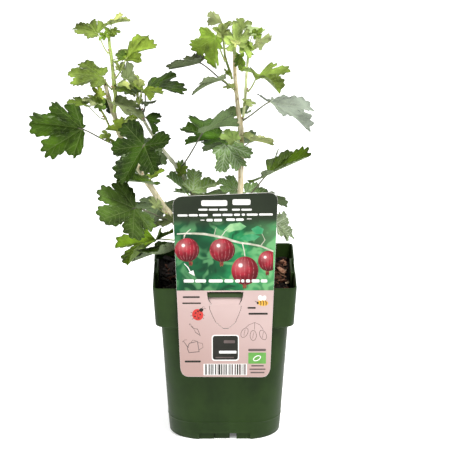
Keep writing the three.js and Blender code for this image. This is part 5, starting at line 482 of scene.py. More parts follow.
    {"tint": [0.0931, 0.1683, 0.0273], "name": "leaf_B03", "tone": "green", "side": "top", "stem": "cane_middle", "B": [-19.24, 38.89, 208.41], "R": [-0.1148, -0.9926, 0.0403, 0.9201, -0.0909, 0.3811, -0.3746, 0.0808, 0.9237], "L": 36.0, "w": 0.928, "p": [0.882, 0.904, 0.575, 0.648, 1.037, 35.074], "s": [13.075, 0.1, -0.06], "tm": 150.0, "pet": [[-19.42, 16.3, 196.47], [-18.63, 24.12, 199.52], [-18.97, 31.4, 206.78], [-19.24, 38.89, 208.41]], "cad": ["leaf_B03"]},
    {"tint": [0.0423, 0.0887, 0.013], "name": "leaf_B04", "tone": "dark", "side": "top", "stem": "cane_right", "B": [9.43, 28.46, 261.75], "R": [-0.1871, -0.9597, -0.2095, 0.8456, -0.2659, 0.4629, -0.5, -0.0905, 0.8613], "L": 38.0, "w": 0.946, "p": [0.839, 0.897, 0.585, 0.566, 1.02, 36.794], "s": [13.989, 0.135, -0.082], "tm": 150.0, "pet": [[14.49, 8.17, 252.02], [12.73, 15.2, 254.35], [11.03, 21.82, 260.64], [9.43, 28.46, 261.75]], "cad": ["leaf_B04"]},
    {"tint": [0.0423, 0.0887, 0.013], "name": "leaf_B05", "tone": "dark", "side": "top", "stem": "cane_left", "B": [-76.0, 10.86, 258.02], "R": [-0.0177, -0.9916, 0.1282, 0.8479, 0.053, 0.5276, -0.5299, 0.118, 0.8398], "L": 36.0, "w": 0.986, "p": [0.861, 0.828, 0.552, 0.653, 0.959, 38.38], "s": [9.679, 0.243, -0.072], "tm": 150.0, "pet": [[-77.27, -8.82, 251.29], [-76.26, -2.26, 253.07], [-76.24, 4.62, 257.68], [-76.0, 10.86, 258.02]], "cad": ["leaf_B05"]},
    {"tint": [0.0931, 0.1683, 0.0273], "name": "leaf_B06", "tone": "green", "side": "top", "stem": "cane_right", "B": [18.02, 22.39, 290.54], "R": [-0.9782, -0.1083, -0.1772, 0.022, -0.9024, 0.4303, -0.2065, 0.417, 0.8851], "L": 26.0, "w": 0.992, "p": [0.829, 0.889, 0.624, 0.625, 0.996, 35.888], "s": [12.409, 0.116, -0.037], "tm": 150.0, "pet": [[15.58, 8.01, 281.29], [16.55, 13.18, 283.47], [17.44, 17.47, 289.01], [18.02, 22.39, 290.54]], "cad": ["leaf_B06"]},
    {"tint": [0.0423, 0.0887, 0.013], "name": "leaf_B07", "tone": "dark", "side": "top", "stem": "cane_middle", "B": [-64.93, 56.17, 250.32], "R": [-0.6754, -0.6933, -0.2513, 0.5421, -0.6978, 0.4683, -0.5, 0.1801, 0.8471], "L": 33.0, "w": 0.969, "p": [0.896, 0.823, 0.593, 0.638, 0.988, 37.853], "s": [12.125, 0.241, -0.001], "tm": 150.0, "pet": [[-48.6, 17.82, 247.7], [-53.02, 30.87, 248.01], [-58.35, 45.66, 252.14], [-64.93, 56.17, 250.32]], "cad": ["leaf_B07"]},
    {"tint": [0.0423, 0.0887, 0.013], "name": "leaf_B08", "tone": "dark", "side": "top", "stem": "cane_right", "B": [-5.18, 33.85, 186.29], "R": [-0.5947, -0.6397, -0.487, 0.6296, -0.7473, 0.2128, -0.5, -0.1801, 0.8471], "L": 34.0, "w": 1.025, "p": [0.818, 0.886, 0.643, 0.594, 1.005, 36.918], "s": [15.585, 0.148, -0.072], "tm": 150.0, "pet": [[8.8, 4.81, 183.96], [4.16, 14.34, 185.13], [-0.15, 25.69, 187.73], [-5.18, 33.85, 186.29]], "cad": ["leaf_B08"]},
]


# ------------------------------------------------------------------ leaves
def lobe_radius(th, p):
    lL, lR, bL, bR, sp, h = p
    r = np.full_like(th, 0.13)
    for a, l, hh in ((0, 1.0, 1.0), (48, lR, 1.0), (-48, lL, 1.0), (98, bR, 1.12), (-98, bL, 1.12)):
        x = np.abs((th - math.radians(a) * sp) / (math.radians(h) * hh))
        r = np.maximum(r, l * np.clip(1 - x**2.2, 0, 1) ** 0.55)
    return r


def leaf_mesh(o):
    name, tone, L, w, p = o["name"], o["tone"], o["L"], o["w"], o["p"]
    fold, curl, cup = o["s"]
    rng = np.random.default_rng(sum(ord(c) * (i + 3) for i, c in enumerate(name)))
    young = tone in ("yellow", "pale")
    sp, tm = p[4], o["tm"]
    axes_deg = np.array([-98.0, -48.0, 0.0, 48.0, 98.0]) * sp
    cuts = [-73 * sp, -24 * sp, 24 * sp, 73 * sp]
    # the margin at fine steps, clefts between the lobes included
    dense = np.linspace(-tm, tm, 1400)
    r0 = lobe_radius(np.radians(dense), p)
    for c in cuts:
        r0 = r0 * (1 - (0.56 if young else 0.46) * rng.uniform(0.75, 1.25) * np.exp(-np.abs((dense - c) / (2.9 * sp)) ** 1.5))
    r0 = r0 * (1 + 0.018 * np.sin(dense * 0.11 + rng.uniform(0, 6)))
    px, py = r0 * np.cos(np.radians(dense)), r0 * np.sin(np.radians(dense)) * w
    arc = np.concatenate([[0], np.cumsum(np.hypot(np.diff(px), np.diff(py)))])
    lam = 0.158 if L > 26 else 0.165 if L > 18 else 0.21
    teeth = max(9, int(round(arc[-1] / lam)))
    N = teeth * (12 if L > 26 else 9 if L > 12 else 7)
    a = np.linspace(0, arc[-1], N + 1)
    # uneven teeth: warp the arc length a little
    ph0 = rng.uniform(0, 6, 3)
    warp = a / arc[-1] * teeth + 0.16 * np.sin(a * 5.3 + ph0[0]) + 0.06 * np.sin(a * 11.7 + ph0[1])
    bx, by = np.interp(a, arc, px), np.interp(a, arc, py)
    tx, ty = np.gradient(bx), np.gradient(by)
    tl = np.hypot(tx, ty) + 1e-9
    ox, oy = ty / tl, -tx / tl
    rad0 = np.hypot(bx, by / w)
    bare = np.abs(np.interp(a, arc, dense))
    g = np.clip((rad0 - 0.22) / 0.25, 0, 1) * np.clip((tm - bare) / 20.0, 0, 1) * (0.45 + 0.72 * rad0)
    deep = (0.108 if L > 26 else 0.105) * (1 + 0.3 * np.sin(a * 3.1 + ph0[2]))
    bump_out = deep * (np.abs(np.sin(math.pi * warp)) ** 0.48 - 0.72) * g
    ex, ey = bx + ox * bump_out, by + oy * bump_out
    for _ in range(3):  # round the tips and notches
        ex[1:-1] = (ex[:-2] + 2 * ex[1:-1] + ex[2:]) / 4
        ey[1:-1] = (ey[:-2] + 2 * ey[1:-1] + ey[2:]) / 4
    ks = np.array([0.08, 0.22, 0.38, 0.54, 0.70, 0.84, 0.94, 1.0]) if L > 22 else np.array([0.12, 0.36, 0.62, 0.84, 1.0])
    B = np.array(o["B"])
    R = np.array(o["R"]).reshape(3, 3)
    pleat = 0.50 if young else 0.30
    wave = 0.045 if young else 0.026
    ph = rng.uniform(0, 6, 4)
    lamw = rng.uniform(5.5, 8.0)
    lean = rng.uniform(-0.11, 0.11, 5)

    def height(u, v, k, t, d, thv):
        z = math.tan(math.radians(fold)) * (np.sqrt(v * v + 0.0016) - 0.04) - curl * u * np.abs(u) + cup * v * v
        z = z + pleat * (d - 0.10 * t)
        z = z - 0.012 * np.exp(-((d / 0.018) ** 2)) * (1 - 0.7 * np.clip(t, 0, 1))
        z = z + 0.0085 * np.sin(2 * math.pi * (t - 1.25 * d) / 0.15 + ph[0]) * np.clip(d / 0.05, 0, 1) * (1 - 0.3 * k)
        z = z + np.interp(np.degrees(thv), axes_deg, lean) * np.clip(t, 0, 1.2) ** 2
        z = z + wave * k**3 * (np.sin(thv * lamw + ph[1]) + 0.5 * np.sin(thv * 2.3 * lamw + ph[2]))
        return z

    grid, lobeuv, bladeuv = [], [], []
    for k in ks:
        u = k * (bx + (ex - bx) * k**2)
        v = k * (by + (ey - by) * k**2)
        tv_ = np.arctan2(v / w, u)
        deg = np.degrees(tv_)
        rr = np.hypot(u, v / w)
        near = np.argmin(np.abs(deg[:, None] - axes_deg[None]), axis=1)
        off = np.radians(deg - axes_deg[near])
        t, d = rr * np.cos(off), np.abs(rr * np.sin(off))
        z = height(u, v, k, t, d, tv_)
        grid.append(B + L * (u[:, None] * R[:, 0] + v[:, None] * R[:, 1] + z[:, None] * R[:, 2]))
        lobeuv.append(np.stack([t, d], 1))
        bladeuv.append(np.stack([np.full_like(t, k), 0.5 + 0.5 * tv_ / math.pi], 1))
    grid = np.array(grid)
    nk, nt = grid.shape[:2]
    z0 = height(np.array([0.0]), np.array([0.0]), 0.0, np.array([0.0]), np.array([0.0]), np.array([0.0]))[0]
    centre = B + L * z0 * R[:, 2]
    # surface normals
    full = np.concatenate([np.repeat(centre[None, None], nt, 1), grid], 0)
    dr = np.gradient(full, axis=0)[1:]
    dt = np.gradient(grid, axis=1)
    nor = np.cross(dr, dt)
    nor /= np.linalg.norm(nor, axis=2, keepdims=True) + 1e-9
    nc = R[:, 2]
    th_mm = 0.34 if L > 22 else 0.26
    top = np.vstack([(centre + nc * th_mm / 2)[None], (grid + nor * th_mm / 2).reshape(-1, 3)])
    bot = np.vstack([(centre - nc * th_mm / 2)[None], (grid - nor * th_mm / 2).reshape(-1, 3)])
    h = len(top)
    luv = np.vstack([[[0, 0]], np.array(lobeuv).reshape(-1, 2)])
    buv = np.vstack([[[0, 0.5]], np.array(bladeuv).reshape(-1, 2)])
    faces, index = [], []
    idx = lambda r_, c: 1 + r_ * nt + c
    for c in range(nt - 1):
        faces.append((0, idx(0, c), idx(0, c + 1)))
        index.append(0)
        faces.append((h, h + idx(0, c + 1), h + idx(0, c)))
        index.append(1)
        for r_ in range(nk - 1):
            a, b, e, f = idx(r_, c), idx(r_ + 1, c), idx(r_ + 1, c + 1), idx(r_, c + 1)
            faces.append((a, b, e, f))
            index.append(0)
            faces.append((h + a, h + f, h + e, h + b))
            index.append(1)
    rim = [0] + [idx(r_, 0) for r_ in range(nk - 1)] + [idx(nk - 1, c) for c in range(nt)] + [idx(r_, nt - 1) for r_ in range(nk - 2, -1, -1)]
    for i in range(len(rim)):
        a, b = rim[i], rim[(i + 1) % len(rim)]
        faces.append((a, h + a, h + b, b))
        index.append(0)
    verts = np.vstack([top, bot])
    luv, buv = np.vstack([luv, luv]), np.vstack([buv, buv])
    # stalk
    pts = bezier(o["pet"], 16 if L > 22 else 10)
    pts = np.vstack([pts, pts[-1] + R[:, 0] * L * 0.045, pts[-1] + R[:, 0] * L * 0.10])
    s = np.linspace(0, 1, len(pts))
    base = 0.84 if L > 30 else 0.68 if L > 20 else 0.50
    rad = base * (0.86 - 0.14 * s + 0.75 * np.exp(-((s / 0.05) ** 2)) + 0.25 * np.exp(-(((s - 0.9) / 0.06) ** 2)))
    rad[-1] *= 0.25
    rad[-2] *= 0.7
    tv, tf = tube_mesh(pts, rad, 9)
    off_i = len(verts)
    verts = np.vstack([verts, tv])
    faces += [tuple(i + off_i for i in f) for f in tf]
    index += [2] * len(tf)
    zz = np.zeros((len(tv), 2))
    luv, buv = np.vstack([luv, zz]), np.vstack([buv, zz])
    return verts, faces, index, luv, buv


def leaf_object(o):
    tone = o["tone"]
    verts, faces, index, luv, buv = leaf_mesh(o)
    ob = make_object(o["name"] + "_blade", verts * MM, faces, [*leaf_pair(o), STALK[tone]], index, {"lobe": luv, "blade": buv}, sharp=62)
    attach(ob, "root")
    if o["cad"]:
        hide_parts(*o["cad"])
    return ob


for o in LEAVES:
    leaf_object(o)

# the smallest leaves, still unfolding at the tips and nodes, as one piece
LEAFLETS = [
    {"name": "leaflet_a", "tone": "yellow", "side": "top", "stem": "shoot_left", "B": [-101.59, -10.24, 371.3], "R": [-0.3308, -0.6701, 0.6645, -0.3224, -0.5815, -0.7469, 0.8869, -0.4613, -0.0236], "L": 9.31, "w": 0.85, "p": [0.84, 0.84, 0.55, 0.55, 0.98, 36.0], "s": [25.317, 0.253, 0.193], "tm": 146, "pet": [[-102.98, -7.31, 369.77], [-102.49, -8.34, 370.74], [-101.23, -9.89, 370.35], [-101.59, -10.24, 371.3]], "cad": []},
    {"name": "leaflet_b", "tone": "yellow", "side": "top", "stem": "shoot_left", "B": [-99.31, -10.03, 375.46], "R": [0.8792, 0.0916, -0.4675, -0.4281, 0.5824, -0.691, 0.209, 0.8077, 0.5513], "L": 7.01, "w": 0.8, "p": [0.84, 0.84, 0.55, 0.55, 0.98, 36.0], "s": [14.97, 0.282, 0.013], "tm": 146, "pet": [[-103.14, -7.08, 371.99], [-101.8, -8.11, 373.91], [-100.88, -9.26, 375.08], [-99.31, -10.03, 375.46]], "cad": []},
    {"name": "leaflet_c", "tone": "yellow", "side": "top", "stem": "shoot_left", "B": [-104.91, -9.1, 372.12], "R": [-0.8521, 0.4832, -0.2011, -0.2396, -0.7019, -0.6708, -0.4653, -0.5234, 0.7139], "L": 8.35, "w": 0.75, "p": [0.84, 0.84, 0.55, 0.55, 0.98, 36.0], "s": [23.623, 0.152, 0.161], "tm": 146, "pet": [[-103.09, -7.15, 371.27], [-103.72, -7.83, 371.91], [-104.19, -8.9, 372.52], [-104.91, -9.1, 372.12]], "cad": []},
    {"name": "leaflet_d", "tone": "green", "side": "top", "stem": "shoot_left", "B": [-88.82, -12.86, 352.85], "R": [-0.7844, -0.1191, 0.6088, -0.4394, -0.5862, -0.6807, 0.4379, -0.8014, 0.4075], "L": 9.1, "w": 0.8, "p": [0.84, 0.84, 0.55, 0.55, 0.98, 36.0], "s": [20.527, 0.371, 0.043], "tm": 146, "pet": [[-100.67, -8.95, 348.97], [-96.52, -10.32, 351.9], [-86.46, -11.54, 351.53], [-88.82, -12.86, 352.85]], "cad": []},
    {"name": "leaflet_e", "tone": "pale", "side": "top", "stem": "cane_middle", "B": [-79.37, 9.01, 316.13], "R": [-0.1314, -0.8075, 0.575, -0.2029, -0.5459, -0.8129, 0.9704, -0.2235, -0.0921], "L": 14.79, "w": 0.8, "p": [0.84, 0.84, 0.55, 0.55, 0.98, 36.0], "s": [19.166, 0.337, 0.195], "tm": 146, "pet": [[-78.79, 15.04, 311.76], [-78.99, 12.93, 314.19], [-79.08, 9.47, 313.96], [-79.37, 9.01, 316.13]], "cad": []},
    {"name": "leaflet_e2", "tone": "pale", "side": "top", "stem": "cane_middle", "B": [-79.04, 10.01, 315.39], "R": [0.421, -0.653, -0.6295, -0.2808, 0.566, -0.7751, 0.8625, 0.5031, 0.0549], "L": 10.68, "w": 0.7, "p": [0.84, 0.84, 0.55, 0.55, 0.98, 36.0], "s": [18.437, 0.391, 0.179], "tm": 146, "pet": [[-78.79, 15.04, 311.76], [-78.88, 13.28, 313.78], [-79.82, 10.54, 313.79], [-79.04, 10.01, 315.39]], "cad": []},
    {"name": "leaflet_g", "tone": "pale", "side": "top", "stem": "shoot_left", "B": [-91.77, -13.81, 342.6], "R": [-0.5818, -0.8066, -0.1043, -0.3488, 0.3633, -0.8639, 0.7348, -0.4663, -0.4927], "L": 8.6, "w": 0.7, "p": [0.84, 0.84, 0.55, 0.55, 0.98, 36.0], "s": [16.132, 0.283, 0.111], "tm": 146, "pet": [[-99.74, -9.97, 339.38], [-96.95, -11.32, 341.64], [-90.12, -12.82, 340.53], [-91.77, -13.81, 342.6]], "cad": []},
    {"name": "leaflet_h", "tone": "pale", "side": "top", "stem": "cane_middle", "B": [-78.62, 10.81, 304.86], "R": [0.4945, -0.8573, 0.1429, -0.2414, -0.2934, -0.925, 0.835, 0.423, -0.352], "L": 8.29, "w": 0.6, "p": [0.84, 0.84, 0.55, 0.55, 0.98, 36.0], "s": [25.314, 0.3, -0.06], "tm": 146, "pet": [[-77.89, 15.89, 302.81], [-78.15, 14.11, 304.19], [-79.44, 11.21, 303.47], [-78.62, 10.81, 304.86]], "cad": []},
    {"name": "leaflet_j", "tone": "grey", "side": "top", "stem": "cane_middle", "B": [-74.05, 12.85, 304.66], "R": [0.9676, 0.2484, -0.0448, 0.152, -0.7153, -0.6821, -0.2015, 0.6532, -0.7299], "L": 13.16, "w": 0.5, "p": [0.84, 0.84, 0.55, 0.55, 0.98, 36.0], "s": [19.974, 0.248, 0.05], "tm": 146, "pet": [[-77.82, 15.93, 302.39], [-76.5, 14.85, 303.83], [-75.61, 12.6, 304.98], [-74.05, 12.85, 304.66]], "cad": []},
    {"name": "leaflet_k2", "tone": "yellow", "side": "top", "stem": "side_shoot_left", "B": [-110.69, -22.73, 314.66], "R": [-0.7851, -0.6087, 0.1146, -0.3186, 0.2382, -0.9175, 0.5312, -0.7568, -0.3809], "L": 9.42, "w": 0.8, "p": [0.84, 0.84, 0.55, 0.55, 0.98, 36.0], "s": [25.503, 0.205, -0.033], "tm": 146, "pet": [[-113.68, -17.67, 311.25], [-112.63, -19.44, 313.26], [-109.08, -22.08, 313.58], [-110.69, -22.73, 314.66]], "cad": []},
    {"name": "leaflet_k3", "tone": "green", "side": "top", "stem": "side_shoot_left", "B": [-112.54, -23.18, 309.23], "R": [0.5975, -0.7998, -0.0573, -0.3223, -0.1742, -0.9305, 0.7343, 0.5744, -0.3619], "L": 9.31, "w": 0.8, "p": [0.84, 0.84, 0.55, 0.55, 0.98, 36.0], "s": [20.265, 0.292, 0.182], "tm": 146, "pet": [[-112.02, -17.08, 307.31], [-112.2, -19.22, 308.76], [-113.69, -22.56, 307.82], [-112.54, -23.18, 309.23]], "cad": []},
    {"name": "leaflet_l", "tone": "pale", "side": "top", "stem": "shoot_centre", "B": [-0.81, -10.0, 371.77], "R": [-0.6657, -0.4397, 0.6029, -0.2546, -0.6256, -0.7374, 0.7014, -0.6444, 0.3045], "L": 11.78, "w": 0.8, "p": [0.84, 0.84, 0.55, 0.55, 0.98, 36.0], "s": [20.984, 0.18, 0.179], "tm": 146, "pet": [[-1.07, -6.0, 368.03], [-0.98, -7.4, 370.0], [0.29, -9.58, 370.62], [-0.81, -10.0, 371.77]], "cad": []},
    {"name": "leaflet_m", "tone": "pale", "side": "top", "stem": "shoot_centre", "B": [-1.17, -11.0, 374.4], "R": [0.3742, -0.7121, -0.5941, -0.3257, 0.4989, -0.8031, 0.8683, 0.494, -0.0452], "L": 12.28, "w": 0.75, "p": [0.84, 0.84, 0.55, 0.55, 0.98, 36.0], "s": [19.901, 0.303, 0.043], "tm": 146, "pet": [[-1.07, -6.0, 368.03], [-1.11, -7.75, 371.23], [-2.08, -10.21, 372.29], [-1.17, -11.0, 374.4]], "cad": []},
    {"name": "leaflet_l2", "tone": "pale", "side": "top", "stem": "shoot_centre", "B": [-1.88, -10.0, 369.39], "R": [-0.7334, -0.6788, 0.0359, -0.316, 0.2937, -0.9022, 0.6019, -0.673, -0.4299], "L": 6.33, "w": 0.8, "p": [0.84, 0.84, 0.55, 0.55, 0.98, 36.0], "s": [16.604, 0.308, 0.131], "tm": 146, "pet": [[-1.07, -6.0, 368.03], [-1.36, -7.4, 369.02], [-0.93, -9.59, 368.61], [-1.88, -10.0, 369.39]], "cad": []},
    {"name": "leaflet_n", "tone": "yellow", "side": "top", "stem": "cane_right", "B": [14.24, -6.83, 352.55], "R": [0.0238, 0.901, -0.4331, -0.2096, -0.4191, -0.8834, -0.9775, 0.1118, 0.1789], "L": 14.31, "w": 0.55, "p": [0.84, 0.84, 0.55, 0.55, 0.98, 36.0], "s": [16.289, 0.238, 0.009], "tm": 146, "pet": [[9.22, 1.25, 348.88], [10.98, -1.58, 351.38], [14.16, -6.2, 355.48], [14.24, -6.83, 352.55]], "cad": []},
    {"name": "leaflet_n2", "tone": "green", "side": "top", "stem": "cane_right", "B": [13.35, -6.71, 350.67], "R": [-0.3657, 0.8641, 0.346, -0.3378, 0.2232, -0.9144, -0.8673, -0.4512, 0.2102], "L": 8.88, "w": 0.6, "p": [0.84, 0.84, 0.55, 0.55, 0.98, 36.0], "s": [16.049, 0.166, 0.189], "tm": 146, "pet": [[9.27, 1.36, 346.88], [10.69, -1.46, 349.39], [14.42, -5.72, 353.23], [13.35, -6.71, 350.67]], "cad": []},
    {"name": "leaflet_o", "tone": "pale", "side": "top", "stem": "cane_right", "B": [7.68, -2.07, 323.24], "R": [-0.9733, 0.1959, 0.1196, -0.2118, -0.566, -0.7968, -0.0884, -0.8008, 0.5923], "L": 9.44, "w": 0.4, "p": [0.84, 0.84, 0.55, 0.55, 0.98, 36.0], "s": [24.611, 0.215, 0.122], "tm": 146, "pet": [[10.53, 3.0, 321.11], [9.53, 1.22, 322.6], [9.49, -1.68, 323.4], [7.68, -2.07, 323.24]], "cad": []},
    {"name": "leaflet_p", "tone": "yellow", "side": "top", "stem": "shoot_centre", "B": [4.94, -6.76, 335.73], "R": [-0.7318, -0.6774, 0.0749, -0.2907, 0.2108, -0.9333, 0.6164, -0.7047, -0.3512], "L": 6.88, "w": 0.5, "p": [0.84, 0.84, 0.55, 0.55, 0.98, 36.0], "s": [14.504, 0.375, 0.061], "tm": 146, "pet": [[5.85, -3.65, 334.55], [5.53, -4.74, 335.38], [5.69, -6.46, 335.09], [4.94, -6.76, 335.73]], "cad": []},
    {"name": "leaflet_q", "tone": "yellow", "side": "top", "stem": "shoot_right", "B": [26.16, -7.0, 371.88], "R": [0.7394, -0.667, -0.0918, -0.2993, -0.2035, -0.9322, 0.6031, 0.7167, -0.3501], "L": 10.02, "w": 0.8, "p": [0.84, 0.84, 0.55, 0.55, 0.98, 36.0], "s": [23.843, 0.183, 0.013], "tm": 146, "pet": [[22.7, -3.0, 361.82], [23.91, -4.4, 366.71], [23.95, -6.1, 370.07], [26.16, -7.0, 371.88]], "cad": []},
    {"name": "leaflet_r", "tone": "pale", "side": "top", "stem": "cane_right", "B": [10.04, -28.01, 369.34], "R": [-0.3832, -0.6333, 0.6724, -0.248, -0.6307, -0.7353, 0.8898, -0.4485, 0.0847], "L": 12.1, "w": 0.6, "p": [0.84, 0.84, 0.55, 0.55, 0.98, 36.0], "s": [18.177, 0.392, 0.029], "tm": 146, "pet": [[9.26, 0.98, 361.53], [9.53, -9.17, 367.87], [11.19, -27.27, 366.67], [10.04, -28.01, 369.34]], "cad": []},
    {"name": "leaflet_s2", "tone": "yellow", "side": "top", "stem": "shoot_right", "B": [20.6, -10.0, 364.39], "R": [0.2485, 0.8282, -0.5023, -0.263, -0.4414, -0.8579, -0.9323, 0.3453, 0.1081], "L": 11.41, "w": 0.5, "p": [0.84, 0.84, 0.55, 0.55, 0.98, 36.0], "s": [19.996, 0.387, 0.171], "tm": 146, "pet": [[22.65, -3.0, 361.37], [21.93, -5.45, 363.37], [20.01, -9.38, 366.59], [20.6, -10.0, 364.39]], "cad": []},
    {"name": "leaflet_w", "tone": "yellow", "side": "top", "stem": "cane_middle", "B": [-40.01, 9.95, 238.35], "R": [-0.1874, -0.8362, 0.5154, -0.2131, -0.4776, -0.8523, 0.9589, -0.2695, -0.0887], "L": 9.39, "w": 0.8, "p": [0.84, 0.84, 0.55, 0.55, 0.98, 36.0], "s": [18.74, 0.192, 0.142], "tm": 146, "pet": [[-39.07, 14.88, 235.41], [-39.4, 13.15, 237.14], [-39.69, 10.32, 236.68], [-40.01, 9.95, 238.35]], "cad": []},
    {"name": "leaflet_w2", "tone": "yellow", "side": "top", "stem": "cane_middle", "B": [-39.47, 9.91, 237.98], "R": [0.5799, -0.57, -0.582, -0.2331, 0.5685, -0.789, 0.7806, 0.5932, 0.1969], "L": 8.58, "w": 0.7, "p": [0.84, 0.84, 0.55, 0.55, 0.98, 36.0], "s": [15.29, 0.218, 0.163], "tm": 146, "pet": [[-38.58, 14.84, 234.63], [-38.89, 13.11, 236.53], [-40.51, 10.33, 236.57], [-39.47, 9.91, 237.98]], "cad": []},
]
kinds = ("pale", "yellow", "green", "grey")
TINY = {"pale": srgb(176, 196, 118), "yellow": srgb(142, 166, 70), "green": srgb(96, 122, 50), "grey": srgb(130, 140, 112)}
mats = []
for k in kinds:
    mats += [*leaf_pair({"name": "leaflet_" + k, "tone": k, "side": "top", "tint": TINY[k][:3]}), STALK[k]]
V, F, I, A, B2, base = [], [], [], [], [], 0
for o in LEAFLETS:
    v, f, i, la, lb = leaf_mesh(o)
    V.append(v)
    F += [tuple(q + base for q in face) for face in f]
    I += [q + 3 * kinds.index(o["tone"]) for q in i]
    A.append(la)
    B2.append(lb)
    base += len(v)
ob = make_object("leaflets", np.vstack(V) * MM, F, mats, I, {"lobe": np.vstack(A), "blade": np.vstack(B2)}, sharp=62)
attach(ob, "root")

# ------------------------------------------------------------------ stems
def catmull(rows, n):
    P = np.array(rows, float)
    P = np.vstack([2 * P[0] - P[1], P, 2 * P[-1] - P[-2]])
    out = []
    for i in range(1, len(P) - 2):
        p0, p1, p2, p3 = P[i - 1 : i + 3]
        for k in range(n):
            t = k / n
            out.append(0.5 * (2 * p1 + (p2 - p0) * t + (2 * p0 - 5 * p1 + 4 * p2 - p3) * t * t + (3 * p1 - p0 - 3 * p2 + p3) * t**3))
    out.append(P[-2])
    return np.array(out)


for name, rows in STEMS.items():
    dense = catmull(rows, 6)
    pts, rad = dense[:, :3], dense[:, 3].copy()
    marks = [np.array(o["pet"][0]) for o in LEAVES if o["stem"] == name]
    swell = np.zeros(len(pts))
    for m in marks:
        d = np.linalg.norm(pts - m, axis=1) - rad
        swell = np.maximum(swell, 0.30 * np.exp(-((np.maximum(d, 0) / 1.8) ** 2)))
    rng = np.random.default_rng(len(name) * 7)
    wob = rng.normal(0, 0.02, (len(pts), 12))
    wob = (wob + np.roll(wob, 1, 0) + np.roll(wob, 1, 1)) / 2
    rad = rad * (1 + swell)
    v, f = tube_mesh(pts, rad, 12, lambda i, k: 1 + wob[i, k])
    mats = [BARK[name]]
    index = np.zeros(len(f), int)
    if name == "cane_right":
        mats.append(TIP_GREEN)
        index = np.array([1 if v[list(q)][:, 2].mean() > 352 else 0 for q in f])
    if name == "cane_left":
        mats.append(CUT_WOOD)
        index = np.array([1 if v[list(q)][:, 2].mean() > v[:, 2].max() - 5.5 else 0 for q in f])
    ob = make_object(name + "_stem", v * MM, f, mats, index, sharp=40)
    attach(ob, "root")
    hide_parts(name)

# ------------------------------------------------------------------ buds and dry bracts along the canes
def blob_mesh(centre, axis, length, radius, rng, n=7, m=8, point=0.9):
    axis = np.asarray(axis, float)
    axis /= np.linalg.norm(axis)
    ref = np.array([0, 0, 1.0]) if abs(axis[2]) < 0.9 else np.array([1.0, 0, 0])
    a = np.cross(ref, axis)
    a /= np.linalg.norm(a)
    b = np.cross(axis, a)
    v, f = [], []
    for i in range(n):
        s = (i + 0.5) / n
        rr = radius * math.sin(math.pi * s**point) * (1 + rng.uniform(-0.08, 0.08))
        for k in range(m):
            t = 2 * math.pi * k / m
            v.append(centre + axis * length * s + rr * (a * math.cos(t) + b * math.sin(t)) * (1 + rng.uniform(-0.05, 0.05)))
    for i in range(n - 1):
        for k in range(m):
            p, q = i * m + k, i * m + (k + 1) % m
            f.append((p, q, q + m, p + m))
    v += [centre, centre + axis * length]
    lo, hi = n * m, n * m + 1
    for k in range(m):
        f.append((lo, (k + 1) % m, k))
        f.append((hi, (n - 1) * m + k, (n - 1) * m + (k + 1) % m))
    return np.array(v), f


class Pile:
    """Collects closed pieces into one mesh."""

    def __init__(self):
        self.v, self.f, self.n, self.i = [], [], 0, []

    def add(self, v, f, index=0):
        self.v.append(np.asarray(v, float))
        self.f += [tuple(i + self.n for i in q) for q in f]
        self.i += [index] * len(f)
        self.n += len(v)

    def make(self, name, mats, smooth=True, sharp=50.0):
        return make_object(name, np.vstack(self.v) * MM, self.f, mats, self.i, smooth=smooth, sharp=sharp)


rng = np.random.default_rng(11)
buds = Pile()
for name, rows in STEMS.items():
    dense = catmull(rows, 4)
    marks = [np.array(o["pet"][0]) for o in LEAVES if o["stem"] == name]
    for m in marks:
        i = int(np.argmin(np.linalg.norm(dense[:, :3] - m, axis=1)))
        axis = dense[min(i + 1, len(dense) - 1), :3] - dense[max(i - 1, 0), :3]
        axis /= np.linalg.norm(axis)
        out = m - dense[i, :3]
        out -= axis * (out @ axis)
        out /= np.linalg.norm(out) + 1e-9
        r = dense[i, 3]
        base = dense[i, :3] + out * r * 0.75 + axis * 1.2
        v, f = blob_mesh(base, out * 0.75 + axis * 0.9, rng.uniform(2.2, 3.6), rng.uniform(0.6, 0.95), rng)
        buds.add(v, f, 0)
        for _ in range(2):  # dry scales left round the foot of the stalk
            d = out + np.cross(axis, out) * rng.uniform(-1.2, 1.2)
            d /= np.linalg.norm(d)
            v, f = blob_mesh(dense[i, :3] + d * r * 0.8 - axis * 0.5, d * 0.6 + axis * rng.uniform(-0.4, 0.8), rng.uniform(1.4, 2.6), rng.uniform(0.35, 0.6), rng, n=5, m=6)
            buds.add(v, f, 1)
ob = buds.make("bud_scales", [BUD, BRACT])
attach(ob, "root")

# ------------------------------------------------------------------ pot
POT_H, RIM_HALF, COLLAR_FOOT_HALF, COLLAR_Z, SHOULDER_Z = 152.0, 65.0, 62.7, 115.0, 111.0
BODY_HALF, FOOT_HALF, WALL, FLOOR_Z, FLOOR_T = 57.5, 51.0, 1.6, 6.4, 1.6
mix = lambda a, b, t: a + (b - a) * t
body_half = lambda z: mix(FOOT_HALF, BODY_HALF, z / SHOULDER_Z)
body_corner = lambda z: mix(33.0, 12.0, max(z, 0) ** 0.8 / SHOULDER_Z**0.8)
collar_half = lambda z: mix(COLLAR_FOOT_HALF, RIM_HALF, (z - COLLAR_Z) / (POT_H - COLLAR_Z))
collar_corner = lambda z: mix(7.5, 6.0, (z - COLLAR_Z) / (POT_H - COLLAR_Z))


